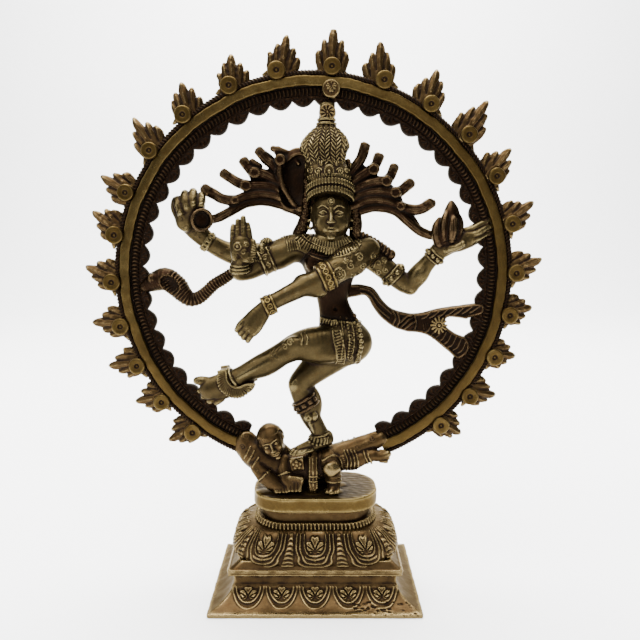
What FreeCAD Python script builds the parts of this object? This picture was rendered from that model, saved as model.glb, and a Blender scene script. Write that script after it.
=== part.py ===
# Cast brass dancer in a ring of flames on a two-tier pedestal.
# Millimetres, +Z up, front towards -Y, origin at the middle of the base's underside.
# Every wax sub-casting and every chased-on ornament is its own labelled solid.
import FreeCAD, Part
import math
import os
from FreeCAD import Vector, Rotation, Placement

doc = FreeCAD.newDocument("BrassDancer")
sheet = doc.addObject("Spreadsheet::Sheet", "Sizes")

# ---------------------------------------------------------------- sizes
SIZES = [
    ("foot_width", 111.5), ("foot_depth", 76.0), ("foot_edge", 2.0),
    ("cyma_mid_width", 101.0), ("cyma_mid_depth", 65.5), ("cyma_mid_height", 4.6),
    ("cyma_high_width", 92.5), ("cyma_high_depth", 57.0), ("cyma_high_height", 8.4),
    ("foot_neck_width", 88.5), ("foot_neck_depth", 53.0),
    ("foot_neck_low", 11.1), ("foot_neck_top", 17.4),
    ("top_slab_width", 91.9), ("top_slab_depth", 55.6), ("top_slab_top", 20.5),
    ("cavity_low_width", 96.0), ("cavity_low_depth", 60.0),
    ("cavity_top_width", 80.0), ("cavity_top_depth", 44.0),
    ("dome_mid_width", 90.0), ("dome_mid_depth", 54.0), ("dome_mid_z", 27.0),
    ("dome_high_width", 82.0), ("dome_high_depth", 48.0), ("dome_high_z", 34.0),
    ("dome_top_width", 70.0), ("dome_top_depth", 43.5), ("dome_top_z", 39.0),
    ("dome_corner_low", 12.0), ("dome_corner_mid", 18.0), ("dome_corner_high", 21.0),
    ("hollow_mid_width", 78.0), ("hollow_mid_depth", 43.0),
    ("hollow_top_width", 60.0), ("hollow_top_depth", 30.0), ("hollow_top_z", 34.5),
    ("bead_row_width", 68.0), ("bead_row_depth", 42.0), ("bead_row_top", 41.7),
    ("neck_width", 52.0), ("neck_depth", 29.0), ("neck_top", 48.7), ("neck_corner", 13.0),
    ("plinth_width", 67.7), ("plinth_depth", 40.0), ("plinth_top", 56.5), ("plinth_corner", 17.5),
    ("stud_radius", 4.0), ("stud_hole_radius", 4.3), ("stud_low_z", 22.5), ("stud_top_z", 53.5),
    ("washer_radius", 10.0), ("washer_thick", 2.0), ("nut_across", 13.0), ("nut_high", 6.5),
    ("ring_centre_x", -0.8), ("ring_centre_z", 172.7),
    ("ring_rope_radius", 105.0), ("ring_band_radius", 102.6), ("ring_band_inner", 97.5),
    ("ring_web_inner", 90.6), ("ring_lobe_centre", 91.6), ("ring_lobe_radius", 5.7),
    ("ring_web_thick", 4.0), ("ring_band_thick", 7.0), ("ring_rope_thick", 5.0),
    ("ring_bead_outer", 96.6), ("ring_bead_inner", 92.4), ("ring_bead_high", 1.5),
    ("ring_lobe_count", 44), ("ring_lobe_span", 315.0),
    ("flame_thick", 4.6), ("boss_radius", 4.7), ("boss_high", 2.6),
    ("rosette_radius", 4.8), ("rosette_small_radius", 4.4), ("rosette_high", 2.4),
    ("fan_thick", 6.0), ("sash_thick", 4.6),
    ("drum_mouth_radius", 5.4), ("drum_waist_radius", 3.4), ("drum_length", 13.0),
]

# stations of the drawn-out pieces: x, y, z of the centre and the radius there
LIMBS = {
    "arm_front_right": [(-2.0, -2, 190.2, 6.2), (-14.2, -3, 188.0, 6.1), (-23.6, -5, 183.0, 5.5), (-31.4, -7, 177.4, 5.0), (-36.6, -9, 175.2, 4.8), (-38.3, -12, 178.4, 4.6), (-37.4, -14, 182.4, 4.3), (-36.5, -15, 185.4, 4.0)],
    "hand_front_right": [(-36.5, -15, 185.4, 4.0), (-36.8, -16, 188.6, 4.9), (-37.2, -16.5, 193.5, 5.2), (-36.6, -16.5, 199.0, 4.6), (-36.0, -16.5, 203.0, 2.6)],
    "arm_back_right": [(-6.0, 4, 189.0, 4.9), (-17.0, 5, 187.0, 4.8), (-30.0, 6, 183.0, 4.6), (-41.5, 6, 181.8, 4.6), (-50.1, 5, 186.9, 4.5), (-56.7, 3, 192.2, 4.4)],
    "hand_back_right": [(-56.7, 3, 192.2, 4.4), (-62.8, 2, 197.5, 5.1), (-67.0, 1, 204.3, 5.6), (-66.4, 0, 210.6, 5.4), (-63.0, 0, 215.6, 3.4)],
    "arm_front_left": [(28.5, -2, 188.6, 6.3), (20.5, -8, 184.0, 6.5), (12.5, -13, 178.9, 6.2), (5.1, -16, 174.3, 5.8), (-3.5, -18, 170.4, 5.1), (-12.6, -19.5, 166.0, 4.4), (-21.0, -20.8, 161.8, 3.9)],
    "hand_front_left": [(-21.0, -20.8, 161.8, 3.9), (-25.6, -21, 158.4, 4.2), (-29.6, -21, 153.4, 5.1), (-32.9, -21, 148.6, 5.0), (-35.6, -21, 144.6, 3.0)],
    "arm_back_left": [(28.0, 3, 185.2, 6.0), (33.7, 3, 180.6, 5.9), (41.3, 3, 174.1, 5.6), (47.2, 2.5, 168.8, 5.2), (52.4, 2, 170.9, 5.0), (57.6, 0.8, 177.4, 4.7), (63.1, -0.5, 183.9, 4.0)],
    "hand_back_left": [(63.1, -0.5, 183.9, 4.0), (67.2, -1, 187.0, 4.7), (73.8, -1.5, 189.4, 4.7), (79.4, -1.4, 191.6, 3.8), (84.6, -0.6, 194.6, 3.5), (92.0, 0, 197.5, 3.9)],
    "flame_bud": [(69.6, -2, 190.8, 5.0), (70.0, -2.6, 196.5, 6.6), (70.8, -3, 203.0, 5.6), (71.2, -3, 208.6, 3.4), (71.4, -3, 212.4, 1.1)],
    "shoulder_tassel": [(25.6, -0.5, 194.2, 2.5), (30.6, 0.5, 191.6, 2.9), (35.6, 1, 188.5, 3.1), (40.2, 1, 185.2, 3.1)],
    "leg_raised": [(17.0, -5, 138.0, 10.2), (7.9, -9, 138.8, 9.7), (-1.6, -12.5, 139.2, 8.6), (-9.3, -14.5, 138.0, 6.9), (-14.4, -16, 135.9, 5.9), (-20.7, -16.5, 132.4, 5.7), (-28.5, -17, 128.3, 5.4), (-35.8, -17, 124.1, 4.9), (-40.5, -17, 121.4, 4.8)],
    "foot_raised": [(-35.4, -17, 116.4, 2.6), (-40.5, -17, 119.4, 5.6), (-46.8, -17, 117.8, 6.2), (-52.5, -17, 115.6, 6.3), (-57.0, -17, 113.4, 6.0), (-60.6, -17, 111.6, 3.6)],
    "leg_standing": [(13.0, -4, 134.0, 9.9), (3.7, -4.5, 127.2, 8.6), (-3.8, -6, 121.1, 6.9), (-8.6, -7.6, 115.6, 5.8), (-7.6, -7.8, 110.6, 5.1), (-5.5, -7, 104.8, 5.5), (-2.8, -6, 97.8, 5.2), (1.0, -5, 89.7, 5.0), (3.1, -4.6, 85.6, 5.2)],
    "foot_standing": [(8.6, -4, 81.2, 2.6), (4.6, -5, 82.0, 5.0), (-0.5, -7, 81.4, 4.6), (-5.6, -8.4, 80.2, 3.8), (-10.8, -9.4, 78.6, 2.6)],
    "snake": [(-90.0, 0, 167.2, 3.6), (-83.6, -1, 169.6, 5.0), (-77.1, -2, 170.7, 5.6), (-71.6, -2, 165.6, 5.5), (-66.4, -2, 160.6, 4.5), (-61.2, -2, 162.6, 4.0), (-55.9, -1.4, 168.0, 3.7), (-50.7, 0, 172.2, 3.5), (-42.5, 3, 177.2, 3.2)],
    "dwarf_trunk": [(-37.8, 0, 77.0, 4.6), (-31.6, -2, 72.6, 6.6), (-25.0, -3, 69.8, 7.9), (-16.2, -3, 67.9, 8.8), (-6.8, -3, 67.3, 9.2), (3.7, -2, 69.2, 9.0), (12.6, -1, 72.3, 8.3), (19.3, 0, 75.4, 7.0), (27.0, 0, 79.2, 5.4), (36.0, 0, 82.6, 4.6)],
    "dwarf_head": [(-28.0, -5, 90.0, 3.2), (-25.9, -6, 86.8, 6.4), (-23.0, -6.5, 82.3, 7.2), (-20.8, -7, 77.9, 5.9), (-19.0, -7, 73.6, 3.6)],
    "dwarf_leg_left": [(6.0, -3, 74.6, 5.2), (7.6, -8.4, 72.4, 5.8), (9.0, -10.4, 67.4, 5.4), (9.8, -10.2, 62.0, 4.4), (10.2, -10, 58.6, 3.8)],
    "dwarf_leg_right": [(14.6, -1, 72.4, 6.6), (20.6, -3, 70.4, 5.6), (26.3, -4, 73.2, 4.0), (31.7, -4.6, 74.9, 3.4), (37.1, -5, 73.4, 2.4)],
    "dwarf_arm_right": [(-30.3, -5, 71.0, 4.9), (-29.3, -9, 66.4, 4.6), (-26.1, -10.4, 62.4, 4.8), (-21.4, -10.8, 61.0, 3.8)],
    "dwarf_arm_left": [(-14.8, -7, 69.0, 4.6), (-12.6, -10, 65.4, 4.6), (-10.9, -10.8, 61.4, 4.4)],
    "dwarf_belt_tail": [(-1.6, -8, 75.0, 2.6), (-1.3, -11, 69.5, 2.8), (-1.2, -11.6, 62.6, 2.8), (-1.2, -11.6, 57.4, 2.6)],
    "lock_right": [(-5.4, -1, 208.5, 3.2), (-5.9, -1.5, 202.5, 3.3), (-5.0, -2, 197.6, 2.7)],
    "lock_left": [(21.8, -1, 208.5, 3.2), (22.3, -1.5, 202.5, 3.3), (21.4, -2, 197.6, 2.7)],
}

# stations of the pieces with level oval sections: x, y, z, half width, half depth
OVALS = {
    "torso": [(13.4, -2.6, 148.6, 11.0, 8.0), (11.2, -2.8, 154.5, 9.2, 7.2), (9.3, -3, 161.0, 8.2, 6.6), (9.0, -3.2, 168.0, 10.6, 7.6), (9.0, -3.4, 175.0, 14.0, 8.6), (8.9, -3.2, 181.5, 17.6, 8.8), (8.7, -2.6, 187.0, 18.6, 7.6)],
    "shorts": [(15.0, -2.0, 129.5, 9.4, 7.4), (15.6, -2.0, 135.0, 12.4, 9.2), (15.0, -2.2, 142.0, 12.2, 9.4), (13.4, -2.6, 148.6, 11.0, 8.0)],
    "collar": [(8.4, -3.4, 187.0, 15.4, 8.8), (8.4, -3.6, 190.0, 11.4, 8.2), (8.3, -3.4, 192.4, 6.6, 6.4)],
    "head": [(8.3, -3.4, 192.4, 5.8, 6.0), (8.2, -4.2, 195.4, 6.2, 7.4), (8.2, -4.4, 199.0, 8.4, 9.6), (8.2, -4.0, 205.0, 10.2, 10.6), (8.2, -3.6, 211.0, 10.6, 11.0), (8.2, -3.2, 216.6, 10.6, 11.0)],
    "forehead_band": [(8.2, -3.2, 216.6, 12.6, 12.2), (8.0, -3.0, 220.6, 13.8, 12.8), (7.7, -2.6, 224.6, 13.2, 12.2)],
    "crown": [(7.7, -2.6, 224.6, 12.4, 11.4), (6.4, -2.0, 229.4, 11.8, 10.4), (5.2, -1.6, 234.0, 11.0, 9.4), (4.8, -1.4, 240.4, 12.2, 9.6), (5.0, -1.2, 246.0, 9.8, 8.0), (5.6, -1.0, 250.4, 5.6, 5.2), (6.0, -0.8, 253.4, 4.2, 4.0), (6.4, -0.6, 260.4, 3.9, 3.6)],
}

# outlines of the flat cast pieces, in the plane of the ring: x, z
OUTLINES = {
    "hair_fan_left": [(-2.4, 203.3), (-8.5, 205.7), (-18.0, 208.7), (-27.1, 210.8), (-35.2, 209.7), (-43.4, 205.7), (-49.5, 202.2), (-56.6, 200.4), (-57.1, 204.3), (-49.7, 206.4), (-45.4, 209.5), (-49.1, 211.6), (-54.3, 214.2), (-59.2, 216.1), (-56.2, 221.6), (-52.1, 218.4), (-46.9, 215.8), (-40.6, 216.3), (-37.9, 217.3), (-40.5, 219.9), (-46.7, 223.0), (-49.8, 225.6), (-47.7, 228.6), (-43.5, 226.6), (-38.9, 223.5), (-34.1, 223.5), (-36.2, 227.6), (-39.2, 232.2), (-35.5, 234.8), (-32.4, 231.2), (-27.8, 228.6), (-23.6, 229.7), (-27.7, 233.7), (-31.8, 237.3), (-27.6, 240.4), (-23.5, 237.3), (-20.4, 234.8), (-22.9, 239.9), (-18.8, 241.4), (-15.1, 238.3), (-12.0, 234.8), (-4.9, 233.7), (0.8, 226.1), (0.8, 204.5)],
    "hair_fan_right": [(16.0, 204.6), (24.8, 206.4), (32.2, 207.5), (40.7, 205.9), (46.0, 202.8), (50.9, 198.1), (56.8, 194.4), (62.7, 192.8), (66.1, 195.5), (57.7, 198.6), (53.9, 203.3), (51.7, 206.4), (57.5, 207.5), (62.8, 209.5), (60.0, 213.2), (55.3, 211.1), (49.6, 210.6), (46.9, 211.6), (45.8, 214.7), (48.9, 216.8), (52.0, 220.9), (47.7, 223.5), (44.6, 219.9), (42.5, 219.4), (40.4, 221.5), (41.4, 224.5), (42.9, 229.2), (38.7, 231.2), (37.2, 226.6), (35.1, 224.5), (33.0, 226.1), (33.5, 229.7), (35.0, 234.8), (30.8, 236.3), (29.8, 232.2), (28.2, 229.7), (25.6, 231.7), (26.6, 235.8), (28.1, 240.9), (24.0, 241.9), (22.9, 237.3), (20.9, 233.7), (16.3, 230.7), (13.3, 220.9)],
    "sash": [(10.3, 168.0), (21.3, 169.5), (27.8, 168.6), (32.1, 166.8), (36.9, 163.0), (40.7, 158.7), (45.1, 155.4), (50.0, 153.8), (60.2, 154.4), (69.8, 156.5), (77.8, 157.9), (88.4, 158.9), (89.7, 153.0), (83.4, 151.1), (81.3, 150.0), (78.1, 150.6), (71.6, 151.1), (70.0, 148.4), (71.2, 145.6), (75.6, 142.4), (81.9, 139.6), (83.0, 133.0), (78.5, 127.1), (72.1, 133.0), (66.5, 138.0), (62.1, 140.7), (56.7, 141.0), (52.3, 142.9), (44.7, 146.2), (37.6, 150.6), (32.7, 156.5), (27.3, 162.5), (21.9, 161.7), (12.0, 160.3)],
    "sash_eye": [(71.9, 148.4), (73.8, 149.2), (79.2, 148.9), (81.2, 149.3), (81.2, 146.7), (79.4, 143.2), (77.8, 142.1), (74.5, 144.6)],
}

# flames round the ring: boss angle, boss radius, tip angle, tip radius (degrees, mm)
FLAMES = [(1.2, 107.4, 4.6, 121.6), (15.0, 107.8, 18.9, 122.2), (28.9, 108.3, 33.1, 122.5), (42.5, 108.3, 45.3, 127.4), (55.8, 107.4, 59.2, 123.7), (70.2, 107.4, 74.2, 124.7), (84.9, 107.6, 85.3, 127.2), (100.1, 107.4, 96.1, 123.7), (113.7, 107.4, 110.3, 121.2), (128.7, 107.4, 124.2, 120.7), (142.3, 107.4, 138.6, 124.4), (155.7, 107.4, 154.6, 123.0), (168.0, 107.4, 163.5, 121.5), (181.4, 107.4, 177.3, 121.6), (194.3, 107.4, 191.5, 121.9), (206.7, 107.4, 203.4, 121.7), (219.4, 107.4, 214.9, 119.6), (232.0, 107.6, 228.4, 120.8), (310.7, 107.4, 313.2, 119.1), (322.7, 107.4, 327.0, 119.1), (336.2, 107.4, 338.6, 117.9), (349.1, 107.4, 352.0, 118.8)]

# ---------------------------------------------------------------- the sheet
row = [0]


def cell(alias, value):
    row[0] += 1
    sheet.set("A%d" % row[0], alias)
    sheet.set("B%d" % row[0], "%g" % value)
    sheet.setAlias("B%d" % row[0], alias)


ORDER = "abcdefghijklmn"
for alias, value in SIZES:
    cell(alias, value)
for name in LIMBS:
    for i, st in enumerate(LIMBS[name]):
        cell("%s_rad_%s" % (name, ORDER[i]), st[3])
for name in OVALS:
    for i, st in enumerate(OVALS[name]):
        cell("%s_wide_%s" % (name, ORDER[i]), st[3])
        cell("%s_deep_%s" % (name, ORDER[i]), st[4])
doc.recompute()
VALUE = dict(SIZES)


# ---------------------------------------------------------------- helpers
def bind(obj, prop, text):
    obj.setExpression(prop, text)
    return obj


def circle(name, centre, normal, xdir, text):
    c = doc.addObject("Part::Circle", name)
    zed = Vector(*normal)
    zed.normalize()
    ex = Vector(*xdir)
    ex = ex - zed * ex.dot(zed)
    ex.normalize()
    ey = zed.cross(ex)
    c.Placement = Placement(Vector(*centre), Rotation(ex, ey, zed, "ZXY"))
    bind(c, "Radius", text)
    return c


def loft(label, sections):
    lo = doc.addObject("Part::Loft", label + "_skin")
    lo.Sections = sections
    lo.Solid = True
    lo.Ruled = False
    lo.Label = label
    return lo


def drawn(label, close_start=False, close_end=True):
    """A limb-like piece: a smooth skin over circles square to its centre line."""
    st = LIMBS[label]
    pts = [Vector(*s[:3]) for s in st]
    out = []
    xdir = Vector(0, 1, 0)
    n = len(pts)
    for i, p in enumerate(pts):
        a, b = pts[max(0, i - 1)], pts[min(n - 1, i + 1)]
        t = b - a
        t.normalize()
        if abs(t.dot(xdir)) > 0.97:
            xdir = Vector(1, 0, 0)
        text = "Sizes.%s_rad_%s" % (label, ORDER[i])
        r = st[i][3]
        if i == 0 and close_start:
            for k, (d, f) in enumerate(((0.86, 0.42), (0.5, 0.84))):
                out.append(circle("%s_start_%d" % (label, k), p - t * (r * d), t, xdir, "%s * %g" % (text, f)))
        out.append(circle("%s_section_%d" % (label, i), p, t, xdir, text))
        if i == n - 1 and close_end:
            for k, (d, f) in enumerate(((0.5, 0.84), (0.86, 0.42))):
                out.append(circle("%s_end_%d" % (label, k), p + t * (r * d), t, xdir, "%s * %g" % (text, f)))
    return loft(label, out)


def oval(label):
    """A piece with level oval sections, the longer way across or fore and aft."""
    out = []
    deeper = OVALS[label][-1][4] > OVALS[label][-1][3]
    major, minor = ("deep", "wide") if deeper else ("wide", "deep")
    for i, (x, y, z, wide, deep) in enumerate(OVALS[label]):
        e = doc.addObject("Part::Ellipse", "%s_section_%d" % (label, i))
        e.MajorRadius = 40.0
        bind(e, "MinorRadius", "Sizes.%s_%s_%s" % (label, minor, ORDER[i]))
        bind(e, "MajorRadius", "Sizes.%s_%s_%s" % (label, major, ORDER[i]))
        e.Placement = Placement(Vector(x, y, z), Rotation(Vector(0, 0, 1), 90 if deeper else 0))
        out.append(e)
    return loft(label, out)


def cut(label, base, *tools):
    """base less each tool; the tools stay in the document as pieces of their own."""
    last = base
    for i, tool in enumerate(tools):
        c = doc.addObject("Part::Cut", "%s_cut_%d" % (label, i))
        c.Base = last
        c.Tool = tool
        last = c
    base.Label = label + "_blank"
    last.Label = label
    return last


def fuse(label, *parts):
    f = doc.addObject("Part::MultiFuse", label + "_fuse")
    f.Shapes = list(parts)
    f.Label = label
    return f


def outline(label, points, thick_text, thick, y_mid):
    """A flat casting: a closed outline in an upright plane, drawn out along Y."""
    poly = doc.addObject("Part::Polygon", label + "_outline")
    poly.Nodes = [Vector(x, y_mid, z) for x, z in points]
    poly.Close = True
    ex = doc.addObject("Part::Extrusion", label + "_plate")
    ex.Base = poly
    ex.DirMode = "Custom"
    ex.Dir = Vector(0, 1, 0)
    ex.Solid = True
    ex.Symmetric = True
    bind(ex, "LengthFwd", thick_text)
    ex.Label = label
    return ex


def disc(label, centre, direction, radius_text, high_text, high):
    c = doc.addObject("Part::Cylinder", label)
    d = Vector(*direction)
    d.normalize()
    c.Placement = Placement(Vector(*centre), Rotation(Vector(0, 0, 1), d))
    bind(c, "Radius", radius_text)
    bind(c, "Height", high_text)
    return c


def rounded(name, wide, deep, corner, z_text):
    """A rounded-rectangle section at a height, all three sizes from the sheet."""
    sk = doc.addObject("Sketcher::SketchObject", name)
    w, d = VALUE[wide] / 2, VALUE[deep] / 2
    r = VALUE[corner] if isinstance(corner, str) else corner
    V = Vector
    half = math.pi / 2
    L = Part.LineSegment

    def arc(cx, cy, a0):
        return Part.ArcOfCircle(Part.Circle(V(cx, cy, 0), V(0, 0, 1), r), a0, a0 + half)

    sk.addGeometry([
        L(V(-w + r, -d, 0), V(w - r, -d, 0)), arc(w - r, -d + r, 3 * half),
        L(V(w, -d + r, 0), V(w, d - r, 0)), arc(w - r, d - r, 0),
        L(V(w - r, d, 0), V(-w + r, d, 0)), arc(-w + r, d - r, half),
        L(V(-w, d - r, 0), V(-w, -d + r, 0)), arc(-w + r, -d + r, 2 * half),
    ], False)
    C = Sketcher.Constraint
    sk.addConstraint([
        C("Tangent", 0, 2, 1, 1), C("Tangent", 1, 2, 2, 1), C("Tangent", 2, 2, 3, 1), C("Tangent", 3, 2, 4, 1),
        C("Tangent", 4, 2, 5, 1), C("Tangent", 5, 2, 6, 1), C("Tangent", 6, 2, 7, 1), C("Tangent", 7, 2, 0, 1),
        C("Horizontal", 0), C("Vertical", 2), C("Equal", 1, 3), C("Equal", 3, 5),
        C("Symmetric", 1, 3, 5, 3, -1, 1),
    ])
    iw = sk.addConstraint(C("DistanceX", -1, 1, 2, 1, w))
    idp = sk.addConstraint(C("DistanceY", -1, 1, 4, 1, d))
    ir = sk.addConstraint(C("Radius", 1, r))
    sk.setExpression("Constraints[%d]" % iw, "Sizes.%s / 2" % wide)
    sk.setExpression("Constraints[%d]" % idp, "Sizes.%s / 2" % deep)
    if isinstance(corner, str):
        sk.setExpression("Constraints[%d]" % ir, "Sizes.%s" % corner)
    sk.setExpression(".Placement.Base.z", z_text)
    return sk


def plane_of(body, role):
    for f in body.Origin.OriginFeatures:
        if f.Role == role:
            return f
    raise RuntimeError(role)


def sector(body, name, inner, outer, a0, a1, offset_text):
    """A ring sector sketch on the upright plane of the ring."""
    sk = body.newObject("Sketcher::SketchObject", name)
    sk.AttachmentSupport = [(plane_of(body, "XZ_Plane"), "")]
    sk.MapMode = "FlatFace"
    sk.setExpression(".AttachmentOffset.Base.z", offset_text)
    ri, ro = VALUE[inner], VALUE[outer]
    t0, t1 = math.radians(a0), math.radians(a1)
    V = Vector

    def at(r, t):
        return V(r * math.cos(t), r * math.sin(t), 0)

    sk.addGeometry([
        Part.ArcOfCircle(Part.Circle(V(0, 0, 0), V(0, 0, 1), ro), t0, t1),
        Part.LineSegment(at(ro, t1), at(ri, t1)),
        Part.ArcOfCircle(Part.Circle(V(0, 0, 0), V(0, 0, 1), ri), t0, t1),
        Part.LineSegment(at(ri, t0), at(ro, t0)),
    ], False)
    C = Sketcher.Constraint
    sk.addConstraint([
        C("Coincident", 0, 2, 1, 1), C("Coincident", 1, 2, 2, 2), C("Coincident", 2, 1, 3, 1), C("Coincident", 3, 2, 0, 1),
        C("Coincident", 0, 3, -1, 1), C("Coincident", 2, 3, -1, 1),
        C("PointOnObject", -1, 1, 1), C("PointOnObject", -1, 1, 3),
        C("Angle", -1, 1, 3, 1, t0), C("Angle", -1, 1, 1, 2, t1 - 2 * math.pi),
    ])
    i_out = sk.addConstraint(C("Radius", 0, ro))
    i_in = sk.addConstraint(C("Radius", 2, ri))
    sk.setExpression("Constraints[%d]" % i_out, "Sizes.%s" % outer)
    sk.setExpression("Constraints[%d]" % i_in, "Sizes.%s" % inner)
    return sk


def pad(body, name, sk, length_text):
    p = body.newObject("PartDesign::Pad", name)
    p.Profile = sk
    bind(p, "Length", length_text)
    sk.Visibility = False
    body.Tip = p
    return p


import Sketcher  # noqa: E402  (sketch constraints)

# ---------------------------------------------------------------- pedestal
S = "Sizes."


def rect(name, wide, deep, z_text):
    return rounded(name, wide, deep, 1.2, z_text)


# foot: edge slab, hollow-curved cyma, recessed neck and top slab, one hollow casting
foot_edge = doc.addObject("Part::Extrusion", "foot_edge_slab")
foot_edge.Base = rect("foot_edge_outline", "foot_width", "foot_depth", "0")
foot_edge.DirMode = "Custom"
foot_edge.Dir = Vector(0, 0, 1)
foot_edge.Solid = True
bind(foot_edge, "LengthFwd", S + "foot_edge")

cyma = loft("cyma_block", [
    rect("cyma_low", "foot_width", "foot_depth", S + "foot_edge"),
    rect("cyma_mid", "cyma_mid_width", "cyma_mid_depth", S + "cyma_mid_height"),
    rect("cyma_high", "cyma_high_width", "cyma_high_depth", S + "cyma_high_height"),
    rect("cyma_top", "foot_neck_width", "foot_neck_depth", S + "foot_neck_low"),
])


def prism(name, wide, deep, corner, z_text, high_text):
    ex = doc.addObject("Part::Extrusion", name)
    ex.Base = rounded(name + "_outline", wide, deep, corner, z_text)
    ex.DirMode = "Custom"
    ex.Dir = Vector(0, 0, 1)
    ex.Solid = True
    bind(ex, "LengthFwd", high_text)
    return ex


foot_neck = prism("foot_neck_block", "foot_neck_width", "foot_neck_depth", 1.2, S + "foot_neck_low", S + "foot_neck_top - Sizes.foot_neck_low")
top_slab = prism("top_slab_block", "top_slab_width", "top_slab_depth", 1.2, S + "foot_neck_top", S + "top_slab_top - Sizes.foot_neck_top")
foot_solid = fuse("foot_blank", foot_edge, cyma, foot_neck, top_slab)
foot_cavity = loft("foot_cavity", [
    rounded("foot_cavity_low", "cavity_low_width", "cavity_low_depth", 3.0, "-0.01"),
    rounded("foot_cavity_top", "cavity_top_width", "cavity_top_depth", 3.0, S + "foot_neck_low"),
])
foot_cavity.Ruled = True
foot_bore = prism("foot_bore", "cavity_top_width", "cavity_top_depth", 3.0, S + "foot_neck_low - 0.01", S + "top_slab_top - Sizes.foot_neck_low + 1")
pedestal_foot = cut("pedestal_foot", foot_solid, foot_cavity, foot_bore)

# lotus dome: swelling cushion over the top slab, hollow beneath
dome_blank = loft("dome_blank", [
    rounded("dome_low", "top_slab_width", "top_slab_depth", "dome_corner_low", S + "top_slab_top"),
    rounded("dome_mid", "dome_mid_width", "dome_mid_depth", "dome_corner_mid", S + "dome_mid_z"),
    rounded("dome_high", "dome_high_width", "dome_high_depth", "dome_corner_high", S + "dome_high_z"),
    rounded("dome_top", "dome_top_width", "dome_top_depth", "dome_corner_high", S + "dome_top_z"),
])
dome_hollow = loft("dome_hollow", [
    rounded("hollow_low", "cavity_top_width", "cavity_top_depth", 8.0, S + "top_slab_top - 0.01"),
    rounded("hollow_mid", "hollow_mid_width", "hollow_mid_depth", 12.0, S + "dome_mid_z"),
    rounded("hollow_top", "hollow_top_width", "hollow_top_depth", 12.0, S + "hollow_top_z"),
])
dome_hollow.Ruled = True
stud_hole = disc("stud_hole", (0, 0, 30), (0, 0, 1), S + "stud_hole_radius", S + "neck_top - 30", 18)
lotus_dome = cut("lotus_dome", dome_blank, dome_hollow, stud_hole)

# neck and the bead row that rings its foot
neck_blank = prism("neck_block", "neck_width", "neck_depth", "neck_corner", S + "dome_top_z", S + "neck_top - Sizes.dome_top_z")
stud_hole_neck = disc("stud_hole_neck", (0, 0, 30), (0, 0, 1), S + "stud_hole_radius", S + "neck_top - 30", 18)
plinth_neck = cut("plinth_neck", neck_blank, stud_hole_neck)
bead_blank = prism("bead_row_block", "bead_row_width", "bead_row_depth", "dome_corner_mid", S + "dome_top_z", S + "bead_row_top - Sizes.dome_top_z")
bead_eye = prism("bead_row_eye", "neck_width", "neck_depth", "neck_corner", S + "dome_top_z - 1", S + "bead_row_top - Sizes.dome_top_z + 2")
bead_row = cut("bead_row", bead_blank, bead_eye)

# oval plinth with the blind hole for the stud
plinth_blank = prism("plinth_block", "plinth_width", "plinth_depth", "plinth_corner", S + "neck_top", S + "plinth_top - Sizes.neck_top")
fixing_stud = disc("fixing_stud", (0, 0, 22.5), (0, 0, 1), S + "stud_radius", S + "stud_top_z - Sizes.stud_low_z", 31)
bind(fixing_stud, ".Placement.Base.z", S + "stud_low_z")
oval_plinth = cut("oval_plinth", plinth_blank, fixing_stud)

# washer and nut under the dome's roof
washer_blank = disc("washer_block", (0, 0, 32.5), (0, 0, 1), S + "washer_radius", S + "washer_thick", 2)
bind(washer_blank, ".Placement.Base.z", S + "hollow_top_z - Sizes.washer_thick")
washer_eye = disc("washer_eye", (0, 0, 30), (0, 0, 1), S + "stud_hole_radius", S + "washer_thick + 6", 8)
fixing_washer = cut("fixing_washer", washer_blank, washer_eye)
nut_blank = doc.addObject("Part::Prism", "nut_block")
nut_blank.Polygon = 6
bind(nut_blank, "Circumradius", S + "nut_across / 2 / cos(30)")
bind(nut_blank, "Height", S + "nut_high")
bind(nut_blank, ".Placement.Base.z", S + "hollow_top_z - Sizes.washer_thick - Sizes.nut_high")
fixing_nut = cut("fixing_nut", nut_blank, fixing_stud)

# ---------------------------------------------------------------- ring
A0, A1 = -68.0, 247.5


def ring_body(label):
    b = doc.addObject("PartDesign::Body", label)
    bind(b, ".Placement.Base.x", S + "ring_centre_x")
    bind(b, ".Placement.Base.z", S + "ring_centre_z")
    return b


halo = ring_body("halo_ring")
pad(halo, "halo_web", sector(halo, "halo_web_sketch", "ring_web_inner", "ring_band_radius", A0, A1, "-Sizes.ring_web_thick / 2"), S + "ring_web_thick")
pad(halo, "halo_band", sector(halo, "halo_band_sketch", "ring_band_inner", "ring_band_radius", A0, A1, "-Sizes.ring_band_thick / 2"), S + "ring_band_thick")
lobe_sk = halo.newObject("Sketcher::SketchObject", "halo_lobe_sketch")
lobe_sk.AttachmentSupport = [(plane_of(halo, "XZ_Plane"), "")]
lobe_sk.MapMode = "FlatFace"
lobe_sk.setExpression(".AttachmentOffset.Base.z", "-Sizes.ring_web_thick / 2")
ta = math.radians(A0 + 2.2)
lc = VALUE["ring_lobe_centre"]
lobe_sk.addGeometry(Part.Circle(Vector(lc * math.cos(ta), lc * math.sin(ta), 0), Vector(0, 0, 1), VALUE["ring_lobe_radius"]), False)
lobe_sk.addConstraint(Sketcher.Constraint("DistanceX", -1, 1, 0, 3, lc * math.cos(ta)))
lobe_sk.addConstraint(Sketcher.Constraint("DistanceY", 0, 3, -1, 1, -lc * math.sin(ta)))
lobe_sk.addConstraint(Sketcher.Constraint("Radius", 0, VALUE["ring_lobe_radius"]))
lobe_sk.setExpression("Constraints[2]", S + "ring_lobe_radius")
lobe = pad(halo, "halo_lobe", lobe_sk, S + "ring_web_thick")
lobes = halo.newObject("PartDesign::PolarPattern", "halo_lobes")
lobes.Originals = [lobe]
lobes.Axis = (plane_of(halo, "Y_Axis"), [""])
lobes.Reversed = True
bind(lobes, "Angle", S + "ring_lobe_span - 4")
bind(lobes, "Occurrences", S + "ring_lobe_count")
halo.Tip = lobes
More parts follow.
